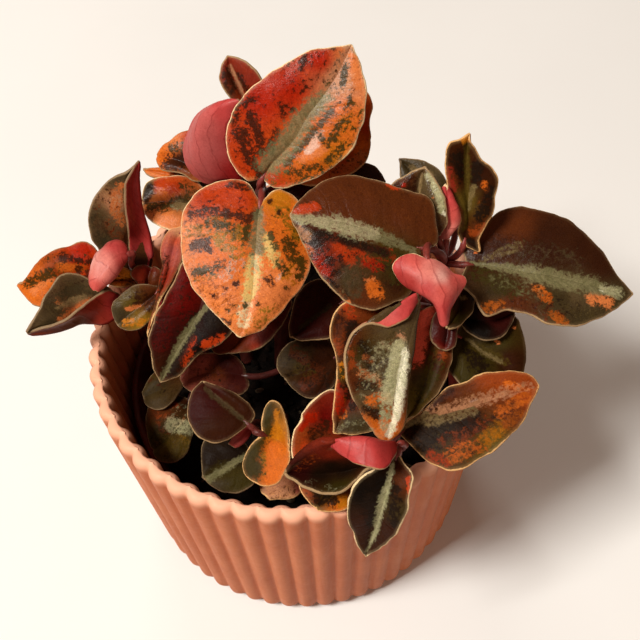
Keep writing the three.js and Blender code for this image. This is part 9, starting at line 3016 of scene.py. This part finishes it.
def upper_material(name, specular):
    t = Nodes(name)
    here, s, v, va, edge, mottle, gleam, slant, lateral, flow = leaf_parts(t)
    n_big = t.noise(here, 0.30, 4, 0.6)
    n_mid = t.noise(t.vec("ADD", here, (31, 7, 3)), 0.62, 6, 0.66, 0.35)
    n_fine = t.noise(t.vec("ADD", here, (3, 17, 9)), 1.35, 5, 0.68, 0.3)
    n_flow = t.noise(flow, 1.0, 4, 0.6)
    n_grain = t.noise(here, 5.5, 2, 0.6)
    base = t.attribute("base")[0]
    # soft change of tone over the blade, then small flecks
    col = t.mix(t.step(0.30, 0.72, n_big, 0.0, 0.55), base, t.mix(1.0, base, (1.22, 1.22, 0.95), "MULTIPLY"))
    fleck = t.mul(t.step(0.53, 0.60, t.add(t.mul(n_fine, 0.55), t.mul(n_mid, 0.45))), mottle)
    col = t.mix(t.mul(fleck, 0.50), col, t.mix(1.0, base, (0.42, 0.40, 0.38), "MULTIPLY"))
    fleck2 = t.mul(t.step(0.56, 0.62, t.noise(t.vec("ADD", here, (13, 41, 5)), 0.9, 5, 0.7, 0.5)), mottle)
    col = t.mix(t.mul(fleck2, 0.45), col, t.mix(1.0, base, (1.55, 1.65, 1.0), "MULTIPLY"))
    # marks, layer by layer, with torn edges
    for k, (amount_mid, amount_fine, amount_flow) in enumerate(((2.2, 2.3, 0.6), (2.0, 2.9, 0.6), (1.2, 1.9, 1.1)), 1):
        tonek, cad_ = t.attribute("mark%d" % k)
        f = t.mul(t.sub(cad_, 0.75), 2.0)
        jig = t.add(t.add(t.mul(t.sub(n_mid, 0.5), amount_mid), t.mul(t.sub(n_fine, 0.5), amount_fine)), t.mul(t.sub(n_flow, 0.5), amount_flow))
        m = t.step(-0.05, (0.50, 0.45, 0.60)[k - 1], t.add(f, jig))
        if k == 2:
            halo = t.step(-0.75, 0.35, t.add(f, t.mul(jig, 0.8)))
            col = t.mix(t.mul(halo, 0.6), col, t.mix(1.0, col, (0.66, 0.55, 0.42), "MULTIPLY"))
        if k == 3:
            # painted glints: pale specks lighten the band, more on glossier blades
            painted_glint = t.mul(t.step(0.48, 0.70, n_grain), gleam)
            tonek = t.mix(t.mul(t.step(0.46, 0.60, n_flow), 0.55), tonek, t.mix(1.0, tonek, (0.50, 0.52, 0.42), "MULTIPLY"))
            tonek = t.mix(t.mul(t.step(0.40, 0.62, n_fine), 0.5), tonek, t.mix(1.0, tonek, (0.60, 0.58, 0.50), "MULTIPLY"))
            tonek = t.mix(t.mul(painted_glint, 0.65), tonek, t.mix(1.0, tonek, (1.75, 1.65, 1.45), "MULTIPLY"))
        col = t.mix(t.mul(m, (0.92, 0.92, 0.88)[k - 1]), col, tonek)
    # fine speckle over all of it
    speck = t.noise(t.vec("ADD", here, (9, 2, 27)), 2.7, 4, 0.7)
    col = t.mix(t.step(0.50, 0.66, speck, 0.0, 0.42), col, t.mix(1.0, col, (0.55, 0.48, 0.38), "MULTIPLY"))
    col = t.mix(t.step(0.50, 0.34, speck, 0.0, 0.34), col, t.mix(1.0, col, (1.35, 1.50, 1.15), "MULTIPLY"))
    # midrib and side veins
    rib = t.step(0.22, 0.05, va)
    col = t.mix(t.mul(rib, 0.35), col, t.mix(1.0, col, (0.45, 0.42, 0.36), "MULTIPLY"))
    lat = t.mul(t.step(0.20, 0.05, lateral), t.step(0.4, 1.5, va))
    col = t.mix(t.mul(lat, 0.16), col, t.mix(1.0, col, (0.5, 0.45, 0.4), "MULTIPLY"))
    # grain of the skin
    col = t.mix(t.step(0.42, 0.66, n_grain, 0.0, 0.16), col, t.mix(1.0, col, (1.45, 1.4, 1.3), "MULTIPLY"))
    # pale margin
    torn = t.add(edge, t.mul(t.sub(t.noise(here, 1.6, 3, 0.6), 0.5), 0.42))
    rimtone = t.attribute("rimtone")[0]
    near = t.step(1.0, 0.35, torn)
    col = t.mix(t.mul(near, 0.10), col, rimtone)
    col = t.mix(t.mul(t.step(0.35, 0.17, torn), 0.97), col, rimtone)
    t.set(t.bsdf.inputs["Base Color"], col)
    rough = t.add(t.step(0.32, 0.68, n_grain, 0.36, 0.62), t.mul(gleam, -0.24))
    rough = t.add(rough, t.step(0.5, 0.2, edge, 0.0, 0.10))
    t.set(t.bsdf.inputs["Roughness"], rough)
    t.bsdf.inputs["Specular IOR Level"].default_value = specular
    pebble = t.cells(here, 2.6).outputs["Distance"]
    height = t.add(t.mul(pebble, 0.5), t.mul(n_grain, 0.5))
    veins = t.add(t.mul(t.step(0.55, 0.0, lateral), t.mul(t.step(0.3, 1.2, va), -0.5)), t.mul(t.step(0.5, 0.0, va), -0.4))
    nrm = t.bump(t.add(height, t.mul(n_fine, 0.9)), 0.70, 0.00009)
    nrm = t.bump(veins, 0.5, 0.00012, nrm)
    t.set(t.bsdf.inputs["Normal"], nrm)
    return t.mat


def under_material():
    t = Nodes("leaf_under")
    here, s, v, va, edge, mottle, gleam, slant, lateral, flow = leaf_parts(t)
    base = t.attribute("base")[0]
    n_big = t.noise(here, 0.35, 4, 0.6)
    n_fine = t.noise(here, 1.5, 4, 0.65, 0.3)
    n_grain = t.noise(here, 5.0, 2, 0.6)
    col = t.mix(t.step(0.35, 0.7, n_big, 0.0, 0.6), base, t.mix(1.0, base, (1.28, 1.35, 1.35), "MULTIPLY"))
    col = t.mix(t.mul(t.step(0.5, 0.66, n_fine), 0.35), col, t.mix(1.0, base, (0.74, 0.55, 0.55), "MULTIPLY"))
    net = t.cells(t.vec("ADD", here, t.vec("SCALE", flow, 0.15)), 0.85, "DISTANCE_TO_EDGE").outputs["Distance"]
    col = t.mix(t.mul(t.step(0.07, 0.01, net), 0.10), col, t.mix(1.0, base, (0.55, 0.3, 0.3), "MULTIPLY"))
    lat = t.mul(t.mul(t.step(0.24, 0.07, lateral), t.step(0.2, 1.0, va)), t.step(0.34, 0.56, n_big, 0.15, 1.0))
    rib = t.mul(t.step(0.45, 0.18, va), t.step(0.1, 0.6, slant))
    col = t.mix(t.mul(t.math("MAXIMUM", lat, rib), 0.5), col, t.mix(1.0, base, (0.50, 0.22, 0.24), "MULTIPLY"))
    col = t.mix(t.step(0.42, 0.66, n_grain, 0.0, 0.22), col, t.mix(1.0, col, (1.35, 1.5, 1.5), "MULTIPLY"))
    rimtone = t.attribute("rimtone")[0]
    torn = t.add(edge, t.mul(t.sub(t.noise(here, 1.6, 3, 0.6), 0.5), 0.40))
    col = t.mix(t.mul(t.step(0.30, 0.14, torn), 0.85), col, rimtone)
    t.set(t.bsdf.inputs["Base Color"], col)
    t.set(t.bsdf.inputs["Roughness"], t.step(0.3, 0.7, n_grain, 0.34, 0.5))
    t.bsdf.inputs["Specular IOR Level"].default_value = 0.18
    height = t.add(t.mul(n_grain, 0.6), t.mul(n_fine, 0.9))
    nrm = t.bump(height, 0.5, 0.00008)
    vein = t.math("MAXIMUM", t.mul(t.step(0.6, 0.0, lateral), 0.5), t.mul(t.step(0.8, 0.0, va), t.step(0.1, 0.6, slant)))
    nrm = t.bump(vein, 0.4, 0.00016, nrm)
    t.set(t.bsdf.inputs["Normal"], nrm)
    return t.mat


def stem_material():
    t = Nodes("stem_skin")
    here = t.place()
    base = t.attribute("base")[0]
    n1 = t.noise(here, 0.45, 4, 0.6)
    n2 = t.noise(here, 2.6, 4, 0.65)
    col = t.mix(t.step(0.38, 0.66, n1), base, t.mix(1.0, base, (0.55, 0.62, 0.50), "MULTIPLY"))
    col = t.mix(t.mul(t.step(0.5, 0.62, n2), 0.5), col, t.mix(1.0, base, (1.5, 1.5, 1.35), "MULTIPLY"))
    t.set(t.bsdf.inputs["Base Color"], col)
    t.set(t.bsdf.inputs["Roughness"], t.step(0.3, 0.7, n2, 0.36, 0.55))
    t.set(t.bsdf.inputs["Normal"], t.bump(t.add(n2, t.mul(n1, 0.5)), 0.5, 0.00015))
    return t.mat


def pot_material():
    t = Nodes("cover_pot_plastic")
    here = t.place()
    n1 = t.noise(here, 0.05, 4, 0.6)
    n2 = t.noise(here, 0.9, 4, 0.6)
    n3 = t.noise(here, 6.0, 3, 0.6)
    sep = t.node("ShaderNodeSeparateXYZ")
    t.set(sep.inputs[0], here)
    streak = t.node("ShaderNodeCombineXYZ")
    t.set(streak.inputs[0], sep.outputs[0])
    t.set(streak.inputs[1], sep.outputs[1])
    t.set(streak.inputs[2], t.mul(sep.outputs[2], 0.06))
    n4 = t.noise(streak.outputs[0], 0.55, 4, 0.6)
    a, b, c = linear((223, 133, 89)), linear((212, 120, 77)), linear((231, 149, 106))
    col = t.mix(t.step(0.35, 0.65, n1), tuple(a), tuple(b))
    col = t.mix(t.mul(t.step(0.45, 0.68, n4), 0.35), col, tuple(c))
    col = t.mix(t.mul(t.step(0.50, 0.72, n2), 0.18), col, tuple(linear((202, 122, 92))))
    # painted light: the top of the rim is painted paler, where the light from above falls on it
    col = t.mix(t.step(70.5, 74.2, sep.outputs[2], 0.0, 0.85), col, tuple(linear((251, 190, 160))))
    # patchy darker tone towards the bottom
    low = t.step(7.0, 1.0, sep.outputs[2])
    col = t.mix(t.mul(low, t.step(0.4, 0.7, n2, 0.05, 0.35)), col, tuple(linear((176, 110, 84))))
    t.set(t.bsdf.inputs["Base Color"], col)
    t.set(t.bsdf.inputs["Roughness"], t.step(0.3, 0.7, n2, 0.44, 0.58))
    t.bsdf.inputs["Specular IOR Level"].default_value = 0.16
    t.set(t.bsdf.inputs["Normal"], t.bump(t.add(t.mul(n3, 0.4), n2), 0.35, 0.00008))
    return t.mat


def liner_material():
    t = Nodes("growing_pot_plastic")
    here = t.place()
    n1 = t.noise(here, 0.12, 4, 0.6)
    n2 = t.noise(here, 1.6, 4, 0.65)
    col = t.mix(t.step(0.35, 0.65, n1), tuple(linear((96, 24, 14))), tuple(linear((70, 16, 10))))
    col = t.mix(t.mul(t.step(0.55, 0.72, n2), 0.5), col, tuple(linear((96, 56, 36))))
    t.set(t.bsdf.inputs["Base Color"], col)
    t.set(t.bsdf.inputs["Roughness"], t.step(0.3, 0.7, n2, 0.36, 0.6))
    t.set(t.bsdf.inputs["Normal"], t.bump(n2, 0.4, 0.0001))
    return t.mat


def mix_material(name, dark, light, third, size):
    t = Nodes(name)
    here = t.place()
    n1 = t.noise(here, 0.5 / size, 5, 0.7)
    n2 = t.noise(here, 2.4 / size, 5, 0.7)
    cell = t.cells(here, 1.3 / size)
    col = t.mix(t.step(0.35, 0.65, n1), tuple(linear(dark)), tuple(linear(light)))
    col = t.mix(t.mul(t.step(0.58, 0.66, n2), 0.7), col, tuple(linear(third)))
    col = t.mix(t.mul(t.step(0.1, 0.6, cell.outputs["Distance"]), 0.35), col, tuple(linear(dark)))
    t.set(t.bsdf.inputs["Base Color"], col)
    t.set(t.bsdf.inputs["Roughness"], t.step(0.3, 0.7, n2, 0.7, 0.95))
    t.bsdf.inputs["Specular IOR Level"].default_value = 0.10
    t.set(t.bsdf.inputs["Normal"], t.bump(t.add(n2, n1), 0.9, 0.0004))
    return t.mat


def floor_material():
    t = Nodes("pale_floor")
    here = t.place()
    n = t.noise(here, 0.01, 3, 0.5)
    col = t.mix(t.step(0.3, 0.7, n), (0.86, 0.86, 0.855), (0.88, 0.88, 0.875))
    t.set(t.bsdf.inputs["Base Color"], col)
    t.set(t.bsdf.inputs["Roughness"], t.step(0.3, 0.7, n, 0.86, 0.92))
    return t.mat


MAT = {
    "leaf_upper": upper_material("leaf_upper", 0.16),
    "leaf_upper_dull": upper_material("leaf_upper_dull", 0.05),
    "leaf_under": under_material(),
    "stem": stem_material(),
    "cover_pot": pot_material(),
    "growing_pot": liner_material(),
    "mix": mix_material("potting_mix_surface", (11, 7, 5), (24, 15, 10), (46, 30, 20), 1.0),
    "crumb": mix_material("mix_crumb", (14, 9, 6), (34, 22, 14), (62, 42, 28), 0.7),
    "grain": mix_material("mix_grain", (74, 62, 48), (112, 100, 82), (138, 126, 106), 0.5),
}

# ------------------------------------------------------------------ the object
build_cover_pot()
build_growing_pot()
build_mix()
for i, (name, branches) in enumerate(STEMS.items()):
    build_stem(name, branches, i)
for i, (name, leaf) in enumerate(LEAVES.items()):
    build_blade(name, leaf, i)

# ------------------------------------------------------------------ floor, light, camera
mesh = bpy.data.meshes.new("floor")
mesh.from_pydata([(-3, -3, 0), (3, -3, 0), (3, 3, 0), (-3, 3, 0)], [], [(0, 1, 2, 3)])
floor = bpy.data.objects.new("floor", mesh)
bpy.context.scene.collection.objects.link(floor)
mesh.materials.append(floor_material())

world = bpy.data.worlds.new("studio")
world.use_nodes = True
world.node_tree.nodes["Background"].inputs[0].default_value = (1.0, 0.66, 0.46, 1)
world.node_tree.nodes["Background"].inputs[1].default_value = 0.15
bpy.context.scene.world = world


def lamp(name, at, look, size, power, tint):
    data = bpy.data.lights.new(name, "AREA")
    data.shape = "RECTANGLE"
    data.size, data.size_y = size
    data.energy = power
    data.color = tint
    obj = bpy.data.objects.new(name, data)
    obj.location = at
    obj.rotation_mode = "QUATERNION"
    obj.rotation_quaternion = (Vector(look) - Vector(at)).to_track_quat("-Z", "Y")
    bpy.context.scene.collection.objects.link(obj)
    return obj


lamp("key", (-0.76, -0.38, 1.32), (0, 0, 0.07), (0.40, 0.40), 27.2, (1.0, 0.955, 0.88))
back_lamp = lamp("back", (-0.25, 1.15, 0.95), (0, 0, 0.08), (0.5, 0.3), 3.5, (1.0, 0.90, 0.80))
back_lamp.visible_glossy = False
# a weak low light from the front, so that the pot's side isn't lost in shade
front_lamp = lamp("front", (0.22, -1.25, 0.22), (0, 0, 0.04), (0.7, 0.35), 3.0, (1.0, 0.86, 0.72))
front_lamp.visible_glossy = False
floor.visible_diffuse = False

cam_data = bpy.data.cameras.new("camera")
cam_data.sensor_width = 36
cam_data.lens = 50.654
cam_data.dof.use_dof = False
cam_data.clip_start, cam_data.clip_end = 0.01, 20
camera = bpy.data.objects.new("camera", cam_data)
e, r = math.radians(54.473), math.radians(-3.102)
back = Vector((0, -math.cos(e), math.sin(e)))
right0, up0 = Vector((1, 0, 0)), Vector((0, math.sin(e), math.cos(e)))
right = math.cos(r) * right0 + math.sin(r) * up0
up = -math.sin(r) * right0 + math.cos(r) * up0
spot = (back * 289.24 + right0 * 7.162 + up0 * 44.814) * MM
camera.matrix_world = Matrix(((right.x, up.x, back.x, spot.x), (right.y, up.y, back.y, spot.y), (right.z, up.z, back.z, spot.z), (0, 0, 0, 1)))
bpy.context.scene.collection.objects.link(camera)
bpy.context.scene.camera = camera
bpy.context.scene.view_settings.view_transform = "Standard"
bpy.context.scene.view_settings.look = "None"
